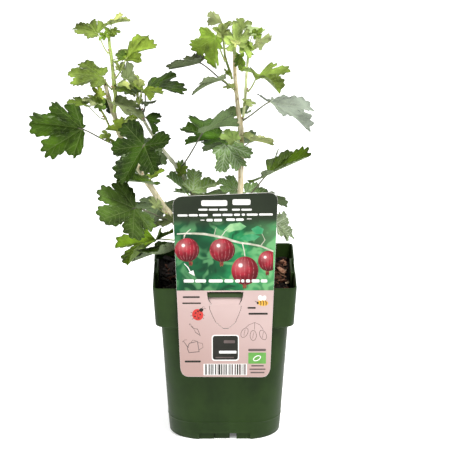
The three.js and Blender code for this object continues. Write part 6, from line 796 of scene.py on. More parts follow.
def square_ring(half, corner, z, steps=14, sides=10):
    ring = []
    corner = max(corner, 0.8)
    for q in range(4):
        cx = (half - corner) * (1 if q in (0, 3) else -1)
        cy = (half - corner) * (1 if q < 2 else -1)
        for i in range(steps + 1):
            a = math.pi / 2 * (q + i / steps)
            ring.append((cx + corner * math.cos(a), cy + corner * math.sin(a), z))
        a = np.array(ring[-1])
        q2 = (q + 1) % 4
        bx = (half - corner) * (1 if q2 in (0, 3) else -1) + corner * math.cos(math.pi / 2 * (q + 1))
        by = (half - corner) * (1 if q2 < 2 else -1) + corner * math.sin(math.pi / 2 * (q + 1))
        b = np.array((bx, by, z))
        for i in range(1, sides):
            ring.append(tuple(a + (b - a) * i / sides))
    return np.array(ring)


def loft(rings):
    n = len(rings[0])
    v = np.vstack(rings)
    f = []
    for r in range(len(rings) - 1):
        for i in range(n):
            a, b = r * n + i, r * n + (i + 1) % n
            f.append((a, b, b + n, a + n))
    lo, hi = len(v), len(v) + 1
    v = np.vstack([v, rings[0].mean(0), rings[-1].mean(0)])
    last = (len(rings) - 1) * n
    for i in range(n):
        f.append((lo, (i + 1) % n, i))
        f.append((hi, last + i, last + (i + 1) % n))
    return v, f


def outside(z):
    """Half width and corner of the pot's outer face at height z."""
    if z <= SHOULDER_Z:
        groove = 0.32 * math.exp(-(((z - 17.5) / 0.45) ** 2))
        return body_half(z) + groove, body_corner(z) + groove
    if z < COLLAR_Z:
        t = (z - SHOULDER_Z) / (COLLAR_Z - SHOULDER_Z)
        t = t * t * (3 - 2 * t)
        return mix(BODY_HALF, COLLAR_FOOT_HALF, t), mix(12.0, 7.5, t)
    return collar_half(z), collar_corner(z)


rings = []
for r, z in ((1.6, FLOOR_Z), (1.6, 0.5), (1.35, 0.1), (0.8, 0.0), (0.25, 0.1)):
    rings.append(square_ring(body_half(z) - r, body_corner(z) - r, z))
levels = [0.5, 6, 12, 15.5, 16.5, 17.1, 17.5, 17.9, 18.5, 20, 34, 48, 64, 80, 96, 108, 110.4, 111, 111.8, 112.6, 113.4, 114.2, 114.7, 115, 115.4, 120, 130, 140, 148, 150.8]
for z in levels:
    h, c = outside(z)
    if 114.6 < z < 115.2:
        h -= 0.12
    rings.append(square_ring(h, c, z))
for inset, z in ((0.10, 151.5), (0.38, 151.88), (0.8, 152.0), (1.22, 151.88), (1.5, 151.5), (1.6, 150.8)):
    rings.append(square_ring(collar_half(z) - inset, collar_corner(z) - inset, z))
for z in [148, 140, 130, 120, 115.4, 114.6, 113.2, 112, 111, 100, 80, 48, 20, 11, 9.4, 8.5]:
    h, c = outside(z) if z > 20 or z < 15 else (body_half(z), body_corner(z))
    rings.append(square_ring(h - 1.6, c - 1.6, z))
rings.append(square_ring(body_half(8) - 3.2, body_corner(8) - 3.2, 8.0))
v, f = loft(rings)
pot = make_object("nursery_pot", v * MM, f, [POT_MAT], sharp=None)


def add_modifier(target, tool, op):
    m = target.modifiers.new(tool.name, "BOOLEAN")
    m.operation = op
    m.object = tool
    m.solver = "EXACT"


tools = []


def box_tool(name, x0, x1, y0, y1, z0, z1, k=0, bevel=0.0, seg=2):
    bm = bmesh.new()
    bmesh.ops.create_cube(bm, size=1.0)
    for q in bm.verts:
        q.co = Vector(((x0 + x1) / 2 + q.co.x * (x1 - x0), (y0 + y1) / 2 + q.co.y * (y1 - y0), (z0 + z1) / 2 + q.co.z * (z1 - z0)))
    if bevel:
        bmesh.ops.bevel(bm, geom=bm.edges[:], offset=bevel, segments=seg, profile=0.5, affect="EDGES")
    a = math.radians(90 * k)
    for q in bm.verts:
        x, y = q.co.x, q.co.y
        q.co.x, q.co.y = x * math.cos(a) - y * math.sin(a), x * math.sin(a) + y * math.cos(a)
        q.co *= MM
    me = bpy.data.meshes.new(name)
    bm.to_mesh(me)
    bm.free()
    ob = bpy.data.objects.new(name, me)
    scene.collection.objects.link(ob)
    tools.append(ob)
    return ob


for k in range(4):
    add_modifier(pot, box_tool(f"notch_{k}", -23.5, 23.5, -57, -46.2, -6, 6.4, k, 1.2, 3), "DIFFERENCE")
for k, (x0, x1, y1) in enumerate([(-23.9, -9.6, 49.4), (-9.6, 4.6, 48.2), (10.8, 23.9, 49.4)]):
    add_modifier(pot, box_tool(f"pad_{k}", x0, x1, -y1, y1, 0.0, 7.2, 0, 0.6, 2), "UNION")
for k in range(4):
    add_modifier(pot, box_tool(f"backing_{k}", -20.5, 20.5, -63.6, -60.6, 134.5, 151.6, k, 0.4, 2), "UNION")
for k in range(4):
    add_modifier(pot, box_tool(f"pocket_{k}", -18.7, 18.7, -70, -62.1, 137.0, 162, k, 0.6, 2), "DIFFERENCE")
for k in range(4):
    add_modifier(pot, box_tool(f"strap_{k}", -19.2, 19.2, -64.95, -63.55, 143.5, 147.8, k, 0.45, 3), "UNION")
bm = bmesh.new()
for sx in (-1, 1):
    for sy in (-1, 1):
        ret = bmesh.ops.create_cone(bm, cap_ends=True, segments=40, radius1=4.0, radius2=4.0, depth=12.0)
        for q in ret["verts"]:
            q.co = Vector((q.co.x + sx * 33, q.co.y + sy * 31, q.co.z + 8))
for q in bm.verts:
    q.co *= MM
me = bpy.data.meshes.new("drains")
bm.to_mesh(me)
bm.free()
drains = bpy.data.objects.new("drains", me)
scene.collection.objects.link(drains)
tools.append(drains)
add_modifier(pot, drains, "DIFFERENCE")
bpy.context.view_layer.update()
done = bpy.data.meshes.new_from_object(pot.evaluated_get(bpy.context.evaluated_depsgraph_get()))
pot.modifiers.clear()
pot.data = done
for t in tools:
    bpy.data.objects.remove(t)
bm = bmesh.new()
bm.from_mesh(done)
bmesh.ops.remove_doubles(bm, verts=bm.verts[:], dist=0.00002)
bm.to_mesh(done)
bm.free()
done.polygons.foreach_set("use_smooth", np.ones(len(done.polygons), bool))
done.set_sharp_from_angle(angle=math.radians(34))
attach(pot, "root")
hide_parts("pot")

# ------------------------------------------------------------------ soil
def value_noise(x, y, cell, seed):
    r = np.random.default_rng(seed)
    g = r.uniform(-1, 1, (64, 64))
    u, w = x / cell + 20, y / cell + 20
    i, j = np.floor(u).astype(int), np.floor(w).astype(int)
    a, b = u - i, w - j
    a, b = a * a * (3 - 2 * a), b * b * (3 - 2 * b)
    i, j = i % 63, j % 63
    return g[i, j] * (1 - a) * (1 - b) + g[i + 1, j] * a * (1 - b) + g[i, j + 1] * (1 - a) * b + g[i + 1, j + 1] * a * b


def soil_height(x, y):
    z = 1.5 * np.sin(x * 0.11 + 0.8) * np.cos(y * 0.13 - 0.4) + 1.1 * np.sin(x * 0.23 - y * 0.19) - 0.5
    return 139.0 + z + 1.3 * value_noise(x, y, 9.0, 1) + 0.9 * value_noise(x, y, 4.2, 2) + 0.6 * value_noise(x, y, 2.0, 3)


inset = WALL + 0.3
rings = []
for z in (8.3, 17.5, 48, 80, 111):
    rings.append(square_ring(body_half(z) - inset, body_corner(z) - inset, z, 12, 34))
rings.append(square_ring(COLLAR_FOOT_HALF - inset, 7.5 - inset, 115.0, 12, 34))
edge = square_ring(collar_half(137.8) - inset, collar_corner(137.8) - inset, 137.8, 12, 34)
rings.append(edge)
for s in np.linspace(0.985, 0.02, 46):
    x, y = edge[:, 0] * s, edge[:, 1] * s
    z = soil_height(x, y)
    w = np.clip((1 - s) / 0.05, 0, 1)
    rings.append(np.stack([x, y, 137.8 * (1 - w) + z * w], 1))
v, f = loft(rings)
for a, b in ((0, 1), (1, 0)):
    m = (np.abs(v[:, a]) < 21.0) & (np.abs(v[:, b]) > 60.2) & (v[:, 2] > 130)
    v[m, b] = np.sign(v[m, b]) * 60.2
soil = make_object("potting_soil", v * MM, f, [SOIL_MAT], sharp=None)
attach(soil, "root")
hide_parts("soil")

# ------------------------------------------------------------------ bark chips and crumbs on the soil
def chip_mesh(centre, size, yaw, tilt, roll, rng):
    nx, ny, nz = 6, 4, 2
    v, key, f = [], {}, []
    seeds = rng.uniform(0, 6, 6)
    for i in range(nx + 1):
        for j in range(ny + 1):
            for k in range(nz + 1):
                if 0 < i < nx and 0 < j < ny and 0 < k < nz:
                    continue
                x, y, z = 2 * i / nx - 1, 2 * j / ny - 1, 2 * k / nz - 1
                taper = 1 - 0.35 * abs(x) ** 2.5 - 0.12 * math.sin(3 * x + seeds[0])
                y2 = y * taper + 0.18 * math.sin(2.2 * x + seeds[1])
                x2 = x * (1 + 0.12 * math.sin(4 * y + seeds[2]) + rng.uniform(-0.05, 0.05))
                z2 = z * (1 - 0.35 * y * y) + 0.35 * math.sin(2.0 * x + seeds[3]) + rng.uniform(-0.12, 0.12)
                key[i, j, k] = len(v)
                v.append((x2 * size[0] / 2, (y2 + rng.uniform(-0.05, 0.05)) * size[1] / 2, z2 * size[2] / 2))
    g = key
    for i in range(nx):
        for j in range(ny):
            f.append((g[i, j, nz], g[i + 1, j, nz], g[i + 1, j + 1, nz], g[i, j + 1, nz]))
            f.append((g[i, j, 0], g[i, j + 1, 0], g[i + 1, j + 1, 0], g[i + 1, j, 0]))
    for i in range(nx):
        for k in range(nz):
            f.append((g[i, 0, k], g[i + 1, 0, k], g[i + 1, 0, k + 1], g[i, 0, k + 1]))
            f.append((g[i, ny, k], g[i, ny, k + 1], g[i + 1, ny, k + 1], g[i + 1, ny, k]))
    for j in range(ny):
        for k in range(nz):
            f.append((g[0, j, k], g[0, j, k + 1], g[0, j + 1, k + 1], g[0, j + 1, k]))
            f.append((g[nx, j, k], g[nx, j + 1, k], g[nx, j + 1, k + 1], g[nx, j, k + 1]))
    v = np.array(v)
    cr, sr, ct, st, cy, sy = math.cos(roll), math.sin(roll), math.cos(tilt), math.sin(tilt), math.cos(yaw), math.sin(yaw)
    Rx = np.array([[1, 0, 0], [0, cr, -sr], [0, sr, cr]])
    Ry = np.array([[ct, 0, st], [0, 1, 0], [-st, 0, ct]])
    Rz = np.array([[cy, -sy, 0], [sy, cy, 0], [0, 0, 1]])
    v = v @ (Rz @ Ry @ Rx).T
    low = v[:, 2].min()
    return v + np.array(centre) + np.array([0, 0, -low - size[2] * 0.35]), f


rng = np.random.default_rng(5)
feet = [(-1.0, -7.0, 5.5)]
for rows in STEMS.values():
    for x, y, z, r in rows:
        if 130 < z < 150:
            feet.append((x, y, r + 1.5))
piles = [Pile() for _ in CHIPS]
count = 0
for n in range(900):
    big = n < 150
    x, y = rng.uniform(-59, 59), rng.uniform(-59, 59)
    L = rng.uniform(8, 19) if big else rng.uniform(2.5, 8)
    W = L * rng.uniform(0.35, 0.65)
    H = rng.uniform(1.6, 4.0) if big else rng.uniform(0.8, 2.2)
    yaw = rng.uniform(0, math.pi)
    reach_x = (abs(math.cos(yaw)) * L + abs(math.sin(yaw)) * W) / 2 * 1.2
    reach_y = (abs(math.sin(yaw)) * L + abs(math.cos(yaw)) * W) / 2 * 1.2
    limit = 61.4
    lx = limit if abs(y) > 23 + reach_y else 59.8
    ly = limit if abs(x) > 23 + reach_x else 59.8
    if abs(x) + reach_x > lx or abs(y) + reach_y > ly:
        continue
    if any(math.hypot(x - a, y - b) < c + 0.5 * L for a, b, c in feet):
        continue
    if big and rng.uniform() > 0.35 + 0.65 * (x > -12) * (0.6 + 0.4 * (y > 0)):
        continue
    z = float(soil_height(np.array(x), np.array(y))) + (rng.uniform(0, 3.2) if big and x > 0 and y > 5 else 0)
    tilt = rng.uniform(-0.30, 0.30) if big else rng.uniform(-0.5, 0.5)
    roll = rng.uniform(-0.35, 0.35)
    v, f = chip_mesh((x, y, z), (L, W, H), yaw, tilt, roll, rng)
    if v[:, 2].max() > 150:
        continue
    # left of x = -15 nearly every chip is the very dark kind: painted shade for the shaded left inside of the pot
    if x < -15:
        kind = rng.choice(4, p=[0.10, 0.005, 0.89, 0.005])
    else:
        kind = rng.choice(4, p=[0.47, 0.14, 0.33, 0.06])
    piles[kind].add(v, f)
    count += 1
for pile, mat, name in zip(piles, CHIPS, ("brown", "pinkish", "dark", "light")):
    ob = pile.make("bark_chips_" + name, [mat], sharp=38)
    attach(ob, "root")

# ------------------------------------------------------------------ plant label
def print_material(name, a, b, cell, amount=0.5, rough=0.36, low=None, hot=None):
    n = Nodes(name)
    o = n.obj()
    big = n.noise(o, cell, 2.0, 0.5)
    fine = n.noise(o, 1500.0, 2.0, 0.6)
    col = n.mix(n.math("MULTIPLY", n.maprange(big, 0.38, 0.62, 0, 1), amount), a, b)
    if hot is not None:
        uv = n.node("ShaderNodeUVMap", uv_map="art").outputs["UV"]
        d = n.node("ShaderNodeVectorMath", operation="DISTANCE")
        n.link(uv, d.inputs[0])
        d.inputs[1].default_value = (-0.30, 0.38, 0.0)
        col = n.mix(n.maprange(d.outputs["Value"], 0.55, 1.35, 0.0, 0.9), col, hot[1])
        col = n.mix(n.maprange(d.outputs["Value"], 0.0, 0.75, 0.35, 0.0), col, hot[0])
        col = n.mix(n.maprange(d.outputs["Value"], 0.05, 0.20, 0.9, 0.0), col, (1, 0.95, 0.93, 1))
        s = n.node("ShaderNodeSeparateXYZ")
        n.link(uv, s.inputs[0])
        y2 = n.math("MULTIPLY", s.outputs[1], s.outputs[1])
        belt = n.math("SQRT", n.math("MAXIMUM", n.math("SUBTRACT", 1.06, y2), 0.02))
        stripe = n.math("PINGPONG", n.math("ADD", n.math("DIVIDE", s.outputs[0], belt), n.math("MULTIPLY", fine, 0.05)), 0.145)
        patch = n.maprange(n.noise(o, 420.0, 2.0, 0.5), 0.40, 0.62, 0.05, 0.34)
        col = n.mix(n.math("MULTIPLY", n.maprange(stripe, 0.0, 0.05, 1.0, 0.0), patch), col, hot[0])
    if low is not None:
        s = n.node("ShaderNodeSeparateXYZ")
        n.link(o, s.inputs[0])
        col = n.mix(n.maprange(n.math("ADD", s.outputs[2], n.math("MULTIPLY", s.outputs[0], 0.5)), 0.050, 0.145, 1.0, 0.0), col, low)
    p = n.principled(col, n.maprange(big, 0.3, 0.7, rough - 0.03, rough + 0.05), bump=fine, strength=0.06, distance=0.0003)
    p.inputs["Specular IOR Level"].default_value = 0.16
    return n.finish(p)


def leafy_material(name):
    """Out of focus garden green: soft lights and darks, darker towards the header band."""
    n = Nodes(name)
    o = n.obj()
    s = n.node("ShaderNodeSeparateXYZ")
    n.link(o, s.inputs[0])
    a = n.noise(o, 38.0, 1.0, 0.4, 0.4)
    b = n.noise(o, 85.0, 1.0, 0.4, 0.8)
    fine = n.noise(o, 1500.0, 2.0, 0.6)
    col = n.mix(n.maprange(a, 0.38, 0.60, 0, 1), srgb(8, 70, 38), srgb(30, 132, 76))
    col = n.mix(n.maprange(b, 0.50, 0.66, 0, 0.8), col, srgb(104, 172, 112))
    col = n.mix(n.maprange(b, 0.30, 0.42, 0.7, 0.0), col, srgb(6, 46, 28))
    col = n.mix(n.maprange(s.outputs[0], -0.040, 0.046, 0.45, 0.0), col, srgb(10, 52, 32))
    col = n.mix(n.maprange(s.outputs[0], 0.012, 0.046, 0.0, 0.30), col, srgb(126, 178, 118))
    col = n.mix(n.maprange(s.outputs[2], 0.2075, 0.2195, 0.0, 1.0), col, srgb(36, 48, 30))
    p = n.principled(col, n.maprange(a, 0.3, 0.7, 0.33, 0.40), bump=fine, strength=0.06, distance=0.0003)
    p.inputs["Specular IOR Level"].default_value = 0.16
    return n.finish(p)


INK = {
    "card": CARD_MAT,
    "header": print_material("print_header", srgb(30, 38, 24), srgb(40, 49, 33), 30.0),
    "leafy": leafy_material("print_leafy"),
    "leafy_deep": print_material("print_leafy_deep", srgb(44, 138, 88), srgb(84, 156, 110), 90.0, 1.0),
    "leafy_pale": print_material("print_leafy_pale", srgb(96, 160, 106), srgb(150, 192, 140), 90.0, 1.0),
    "twig": print_material("print_twig", srgb(206, 202, 188), srgb(172, 172, 152), 160.0, 1.0),
    "berry": print_material("print_berry", srgb(158, 28, 46), srgb(112, 16, 28), 130.0, 0.9, hot=(srgb(216, 146, 146), srgb(66, 8, 14))),
    "calyx": print_material("print_calyx", srgb(96, 34, 30), srgb(132, 70, 50), 300.0, 1.0),
    "pink": print_material("print_pink", srgb(190, 166, 162), srgb(200, 178, 174), 24.0, low=srgb(172, 144, 137)),
    "white": print_material("print_white", srgb(228, 226, 222), srgb(240, 238, 236), 60.0),
    "dark": print_material("print_dark", srgb(34, 34, 28), srgb(44, 44, 38), 90.0),
    "grey": print_material("print_grey", srgb(92, 80, 78), srgb(108, 96, 93), 90.0),
    "red": print_material("print_red", srgb(186, 52, 50), srgb(206, 72, 62), 120.0),
    "green": print_material("print_green", srgb(92, 150, 70), srgb(112, 168, 86), 90.0),
    "amber": print_material("print_amber", srgb(214, 160, 60), srgb(226, 178, 88), 200.0),
}
INK_NAMES = list(INK)
CARD_Y, CARD_T = -66.55, 0.5

LAB = dict(top=241.2, bottom=68.2, halfTop=46.6, halfBottom=40.7, cx=0.4, rise=2.0, corner=9.0)


def quad_curve(a, c, b, n):
    t = np.linspace(0, 1, n + 1)[1:, None]
    a, b, c = map(np.array, (a, b, c))
    return [tuple(p) for p in (1 - t) ** 2 * a + 2 * (1 - t) * t * c + t * t * b]


def card_outline(shrink=0.0):
    L = LAB
    ht, hb, c = L["halfTop"] - shrink, L["halfBottom"] - shrink, L["corner"] - shrink * 0.6
    tl, tr = (L["cx"] - ht, L["top"] - L["rise"] - shrink), (L["cx"] + ht, L["top"] + L["rise"] - shrink)
    bl, br = (L["cx"] - hb, L["bottom"] + shrink), (L["cx"] + hb, L["bottom"] - 0.6 + shrink)
    p = [(bl[0] + c * 0.9, bl[1]), (br[0] - c * 0.9, br[1])]
    p += quad_curve(p[-1], br, (br[0] + 0.1, br[1] + c * 1.3), 12)
    p.append((tr[0], tr[1] - c))
    p += quad_curve(p[-1], tr, (tr[0] - c, tr[1] - 0.4), 12)
    p.append((tl[0] + c, tl[1] + 0.4))
    p += quad_curve(p[-1], tl, (tl[0], tl[1] - c), 12)
    p.append((bl[0] - 0.1, bl[1] + c * 1.3))
    q = quad_curve(p[-1], bl, p[0], 12)
    return p + q[:-1]


TONGUE = [(149.6, -15.6, 16.2), (146, -15.4, 16), (141.5, -14.4, 14.9), (137.4, -11.5, 12.6), (136.2, -13.6, 14.6), (133, -13.4, 14.2), (127, -11, 12), (120.5, -8, 9.4), (115, -1.6, 3.4)]
TONGUE_PATH = [(150.5, -66.55), (149.6, -66.55), (148.4, -62.9), (143, -62.9), (140.8, -64.0), (138.4, -66.0), (137, -66.55), (0, -66.55)]


def slit_outline():
    """The slit that frees the tongue: an open U drawn as a thin closed loop."""
    e = 0.4
    left = [(l - e, z) for z, l, r in TONGUE]
    tip = [(TONGUE[-1][1], TONGUE[-1][0] - 0.6), (TONGUE[-1][2], TONGUE[-1][0] - 0.6)]
    right = [(r + e, z) for z, l, r in TONGUE[::-1]]
    return left[:-1] + [left[-1]] + tip + right


def in_tongue(x, z):
    return 115 <= z <= 150.3 and np.interp(z, [t[0] for t in TONGUE[::-1]], [t[1] for t in TONGUE[::-1]]) - 0.2 <= x <= np.interp(z, [t[0] for t in TONGUE[::-1]], [t[2] for t in TONGUE[::-1]]) + 0.2


def tongue_y(z):
    zs = [p[0] for p in TONGUE_PATH[::-1]]
    ys = [p[1] for p in TONGUE_PATH[::-1]]
    return float(np.interp(z, zs, ys))


def card_y(x, z):
    """Middle of the card: almost flat, with a soft upright crease in its upper part."""
    return CARD_Y + 0.28 * math.exp(-((x - 0.2) / 1.3) ** 2) * (1 if z > 152 else 0.0) - 0.0


# artwork: (ink, outline, centre, radius), later shapes lie over earlier ones
ART = []


def art(ink, outline, centre=(0, 0), radius=1.0):
    ART.append((ink, outline, centre, radius))


def rect(ink, x0, z0, x1, z1, r=0.0, n=4):
    if r <= 0:
        pts = [(x0, z0), (x1, z0), (x1, z1), (x0, z1)]
    else:
        pts = []
        for cx, cz, a0 in ((x1 - r, z0 + r, -90), (x1 - r, z1 - r, 0), (x0 + r, z1 - r, 90), (x0 + r, z0 + r, 180)):
            for i in range(n + 1):
                a = math.radians(a0 + 90 * i / n)
                pts.append((cx + r * math.cos(a), cz + r * math.sin(a)))
    art(ink, pts, ((x0 + x1) / 2, (z0 + z1) / 2), max(x1 - x0, z1 - z0) / 2)


def disc(ink, cx, cz, rx, rz=None, n=28, turn=0.0):
    rz = rz or rx
    pts = []
    for i in range(n):
        a = 2 * math.pi * i / n
        u, w = rx * math.cos(a), rz * math.sin(a)
        pts.append((cx + u * math.cos(turn) - w * math.sin(turn), cz + u * math.sin(turn) + w * math.cos(turn)))
    art(ink, pts, (cx, cz), max(rx, rz))


def stroke(ink, pts, width):
    pts = [np.array(p, float) for p in pts]
    left, right = [], []
    for i, p in enumerate(pts):
        t = pts[min(i + 1, len(pts) - 1)] - pts[max(i - 1, 0)]
        t /= np.linalg.norm(t)
        nrm = np.array([-t[1], t[0]])
        wd = width if np.isscalar(width) else width[i]
        left.append(tuple(p + nrm * wd / 2))
        right.append(tuple(p - nrm * wd / 2))
    art(ink, left + right[::-1], tuple(pts[0]), 1.0)


# the printed ground: header band, leafy picture and pink panel, inside a narrow card margin
inner = card_outline(0.10)
def band(ink, z0, z1):
    pts = []
    n = len(inner)
    for i, p in enumerate(inner):
        q = inner[(i + 1) % n]
        for t in np.linspace(0, 1, 5)[:-1]:
            a = (p[0] + (q[0] - p[0]) * t, p[1] + (q[1] - p[1]) * t)
            if z0 <= a[1] <= z1:
                pts.append(a)
    edges = []
    for z in (z0, z1):
        xs = []
        for i, p in enumerate(inner):
            q = inner[(i + 1) % n]
            if (p[1] - z) * (q[1] - z) < 0:
                xs.append(p[0] + (q[0] - p[0]) * (z - p[1]) / (q[1] - p[1]))
        edges += [(x, z) for x in xs]
    pts += edges
    cx, cz = sum(a for a, b in pts) / len(pts), sum(b for a, b in pts) / len(pts)
    pts = sorted(set(pts), key=lambda a: math.atan2(a[1] - cz, a[0] - cx))
    art(ink, pts, (cx, cz), 40.0)

art("header", inner, (0, 221.84), 40.0)
band("leafy", 150.95, 221.84)
band("pink", 60.0, 150.95)
art("leafy_pale", [(-0.96, 208.04), (4.61, 213.64), (13.5, 215.02), (19.07, 211.27), (14.62, 208.0), (9.06, 207.55), (3.5, 205.69)])
art("leafy_deep", [(13.52, 199.8), (17.97, 203.3), (24.65, 204.46), (31.34, 202.09), (26.9, 198.59), (20.21, 197.43)])
art("leafy_deep", [(23.52, 208.91), (29.08, 211.94), (34.65, 208.88), (33.56, 204.43), (26.88, 203.75)])
stroke("twig", [(-42.7, 204.4), (-35.46, 204.85), (-27.67, 204.83), (-18.77, 204.34), (-9.87, 202.79), (-0.96, 200.77), (6.84, 197.94), (13.53, 196.04), (22.45, 194.84), (32.49, 192.7), (43.45, 187.72)], [1.0, 1.3, 1.7, 2.0, 2.1, 2.2, 2.1, 1.8, 1.7, 1.6, 1.4])
stroke("twig", [(-36.59, 202.04), (-34.35, 205.32), (-30.44, 209.06)], [0.7, 0.9, 0.5])
stroke("twig", [(-9.31, 203.85), (-8.52, 207.36), (-7.63, 210.4)], [0.9, 0.6, 0.3])
stroke("twig", [(-3.19, 201.95), (0.16, 206.63), (4.61, 210.37)], [0.9, 0.6, 0.3])
stroke("twig", [(32.49, 193.87), (35.81, 198.56), (33.11, 204.43)], [0.9, 0.7, 0.4])
stroke("twig", [(15.76, 195.09), (17.11, 189.21), (18.01, 183.32)], [0.9, 0.8, 0.8])
stroke("twig", [(-35.47, 203.45), (-36.6, 199.93)], [0.7, 0.9])
disc("berry", -33.75, 189.35, 10.96, 11.08, 40, 0.0)
disc("berry", -2.3, 189.03, 11.41, 11.08, 40, 0.0)
disc("berry", 18.04, 169.62, 12.1, 13.49, 40, 0.0)
art("berry", [(43.27, 178.77), (43.28, 177.5), (43.28, 176.26), (43.29, 175.06), (43.3, 173.93), (43.3, 172.87), (43.31, 171.92), (43.31, 171.08), (43.32, 170.38), (42.35, 169.82), (41.22, 169.41), (40.04, 169.17), (38.85, 169.09), (37.65, 169.18), (36.47, 169.43), (35.33, 169.84), (34.26, 170.4), (33.26, 171.11), (32.35, 171.95), (31.56, 172.9), (30.89, 173.96), (30.35, 175.1), (29.96, 176.3), (29.72, 177.54), (29.64, 178.8), (29.71, 180.07), (29.94, 181.31), (30.32, 182.5), (30.85, 183.64), (31.51, 184.69), (32.3, 185.63), (33.19, 186.46), (34.19, 187.16), (35.26, 187.72), (36.39, 188.12), (37.56, 188.36), (38.76, 188.44), (39.95, 188.36), (41.13, 188.11), (42.26, 187.7), (43.23, 187.14), (43.23, 186.44), (43.23, 185.6), (43.24, 184.65), (43.25, 183.6), (43.25, 182.47), (43.26, 181.27), (43.26, 180.03)], (38.8, 178.78), 9.36)
art("calyx", [(-32.13, 178.5), (-29.0, 178.5), (-28.67, 176.37), (-29.69, 174.01), (-30.58, 175.43), (-31.37, 173.78), (-32.14, 176.14)])
art("calyx", [(-4.54, 177.96), (-1.41, 177.95), (-1.08, 175.82), (-2.09, 173.46), (-2.98, 174.88), (-3.76, 173.23), (-4.54, 175.59)])
art("calyx", [(16.05, 156.83), (19.19, 156.82), (19.53, 154.69), (18.53, 152.31), (17.63, 153.74), (16.84, 152.08), (16.06, 154.46)])
art("calyx", [(36.39, 169.1), (39.52, 169.09), (39.86, 166.96), (38.87, 164.59), (37.97, 166.02), (37.19, 164.36), (36.4, 166.73)])
stroke("white", [(-36.49, 176.63), (-32.94, 172.84), (-30.5, 167.87)], [0.5, 0.8, 0.8])
art("white", [(-32.51, 167.87), (-28.25, 170.22), (-26.93, 164.78)])
rect("white", -20.92, 230.51, 2.16, 235.8, 1.4)
rect("white", 6.82, 231.37, 22.78, 236.68, 1.4)
rect("white", -23.59, 226.21, -15.38, 227.94, 0.8)
rect("white", -14.27, 226.18, -6.05, 227.91, 0.8)
rect("white", -4.95, 226.16, 2.38, 227.89, 0.8)
rect("white", 6.38, 226.13, 13.48, 227.86, 0.8)
rect("white", 14.59, 226.11, 23.92, 227.83, 0.8)
rect("white", -42.05, 220.78, -33.16, 222.74, 0.8)
rect("white", -32.05, 220.88, -24.05, 222.84, 0.8)
rect("white", -22.95, 220.97, -15.17, 222.93, 0.8)
rect("white", -10.73, 221.09, -3.17, 223.05, 0.8)
rect("white", -2.06, 221.18, 6.82, 223.14, 0.8)
rect("white", 8.16, 221.28, 13.49, 223.25, 0.8)
rect("white", 15.05, 221.35, 17.93, 223.32, 0.8)
rect("white", 19.49, 221.39, 29.26, 223.35, 0.8)
rect("white", 30.38, 221.5, 42.59, 223.45, 0.8)
rect("white", -21.62, 216.99, -18.07, 217.68, 0.2)
rect("white", -16.29, 216.15, -10.73, 218.48, 0.9)
rect("white", -9.62, 216.14, -2.51, 218.45, 0.9)
rect("white", 1.27, 216.57, 9.05, 218.89, 0.9)
rect("white", 9.94, 216.55, 16.83, 218.87, 0.9)
rect("white", 19.61, 218.04, 23.72, 218.73, 0.2)
rect("white", -36.81, 158.64, -27.61, 161.58, 1.0)
rect("white", -26.51, 158.61, -16.87, 161.55, 1.0)
rect("white", -14.41, 158.58, -1.87, 161.51, 1.0)
rect("white", -0.3, 158.54, 7.53, 161.48, 1.0)
rect("white", 9.33, 158.51, 13.58, 161.46, 1.0)
rect("white", 14.7, 158.5, 17.39, 161.45, 1.0)
rect("white", 18.96, 158.49, 22.54, 161.44, 1.0)
rect("white", 24.11, 158.47, 31.05, 161.42, 1.0)
rect("white", 32.18, 158.45, 37.99, 161.4, 1.0)
rect("dark", -37.78, 143.91, -22.52, 145.54, 0.6)
rect("dark", -38.25, 138.2, -21.41, 139.58, 0.6)
rect("dark", 20.36, 133.49, 27.77, 135.14, 0.6)
rect("dark", 21.28, 127.75, 38.59, 129.62, 0.6)
rect("dark", -36.28, 82.0, -21.8, 83.88, 0.6)
disc("red", -24.37, 127.89, 5.02, 5.54, 30, 0.3)
disc("dark", -21.21, 132.42, 1.94, 1.81, 16, 0.3)
disc("dark", -26.16, 129.57, 0.74, 0.78, 10, 0)
disc("dark", -26.85, 126.22, 0.74, 0.78, 10, 0)
disc("dark", -23.48, 124.78, 0.74, 0.78, 10, 0)
disc("dark", -22.12, 128.12, 0.74, 0.78, 10, 0)
disc("dark", -24.36, 131.23, 0.74, 0.78, 10, 0)
stroke("dark", [(-23.23, 132.19), (-24.37, 127.65), (-25.06, 122.87)], 0.28)
stroke("dark", [(-20.98, 133.61), (-19.63, 135.52), (-18.28, 135.28)], 0.35)
stroke("dark", [(-20.08, 132.89), (-18.06, 134.08), (-16.94, 133.36)], 0.35)
stroke("dark", [(-29.08, 129.82), (-30.65, 130.3)], 0.4)
stroke("dark", [(-29.32, 127.19), (-30.89, 126.71)], 0.4)
stroke("dark", [(-28.2, 124.55), (-29.56, 123.36)], 0.4)
stroke("dark", [(-19.42, 127.87), (-17.85, 127.15)], 0.4)
stroke("dark", [(-20.11, 125.25), (-18.76, 124.05)], 0.4)
disc("amber", 34.05, 138.94, 5.02, 2.89, 30, -0.1)
stroke("dark", [(31.8, 141.09), (32.48, 138.94), (32.26, 136.56)], [0.7, 0.8, 0.6])
stroke("dark", [(34.27, 141.08), (34.95, 138.94), (34.73, 136.55)], [0.7, 0.8, 0.6])
stroke("dark", [(36.51, 141.08), (37.19, 138.93), (36.98, 136.55)], [0.7, 0.8, 0.6])
disc("white", 32.01, 143.71, 2.05, 2.65, 16, 0.3)
disc("white", 35.38, 143.7, 1.83, 2.41, 16, -0.2)
disc("dark", 29.56, 138.95, 1.03, 1.2, 12, 0)
stroke("dark", [(29.11, 139.67), (27.08, 140.87)], 0.4)
art("grey", [(-28.47, 114.97), (-24.41, 114.48), (-21.73, 107.27), (-26.46, 110.64)])
art("pink", [(-27.91, 114.37), (-24.75, 113.88), (-22.74, 108.59), (-26.12, 111.24)])
stroke("grey", [(-31.83, 119.3), (-29.81, 116.65), (-27.79, 114.25)], [1.3, 1.0, 0.5])
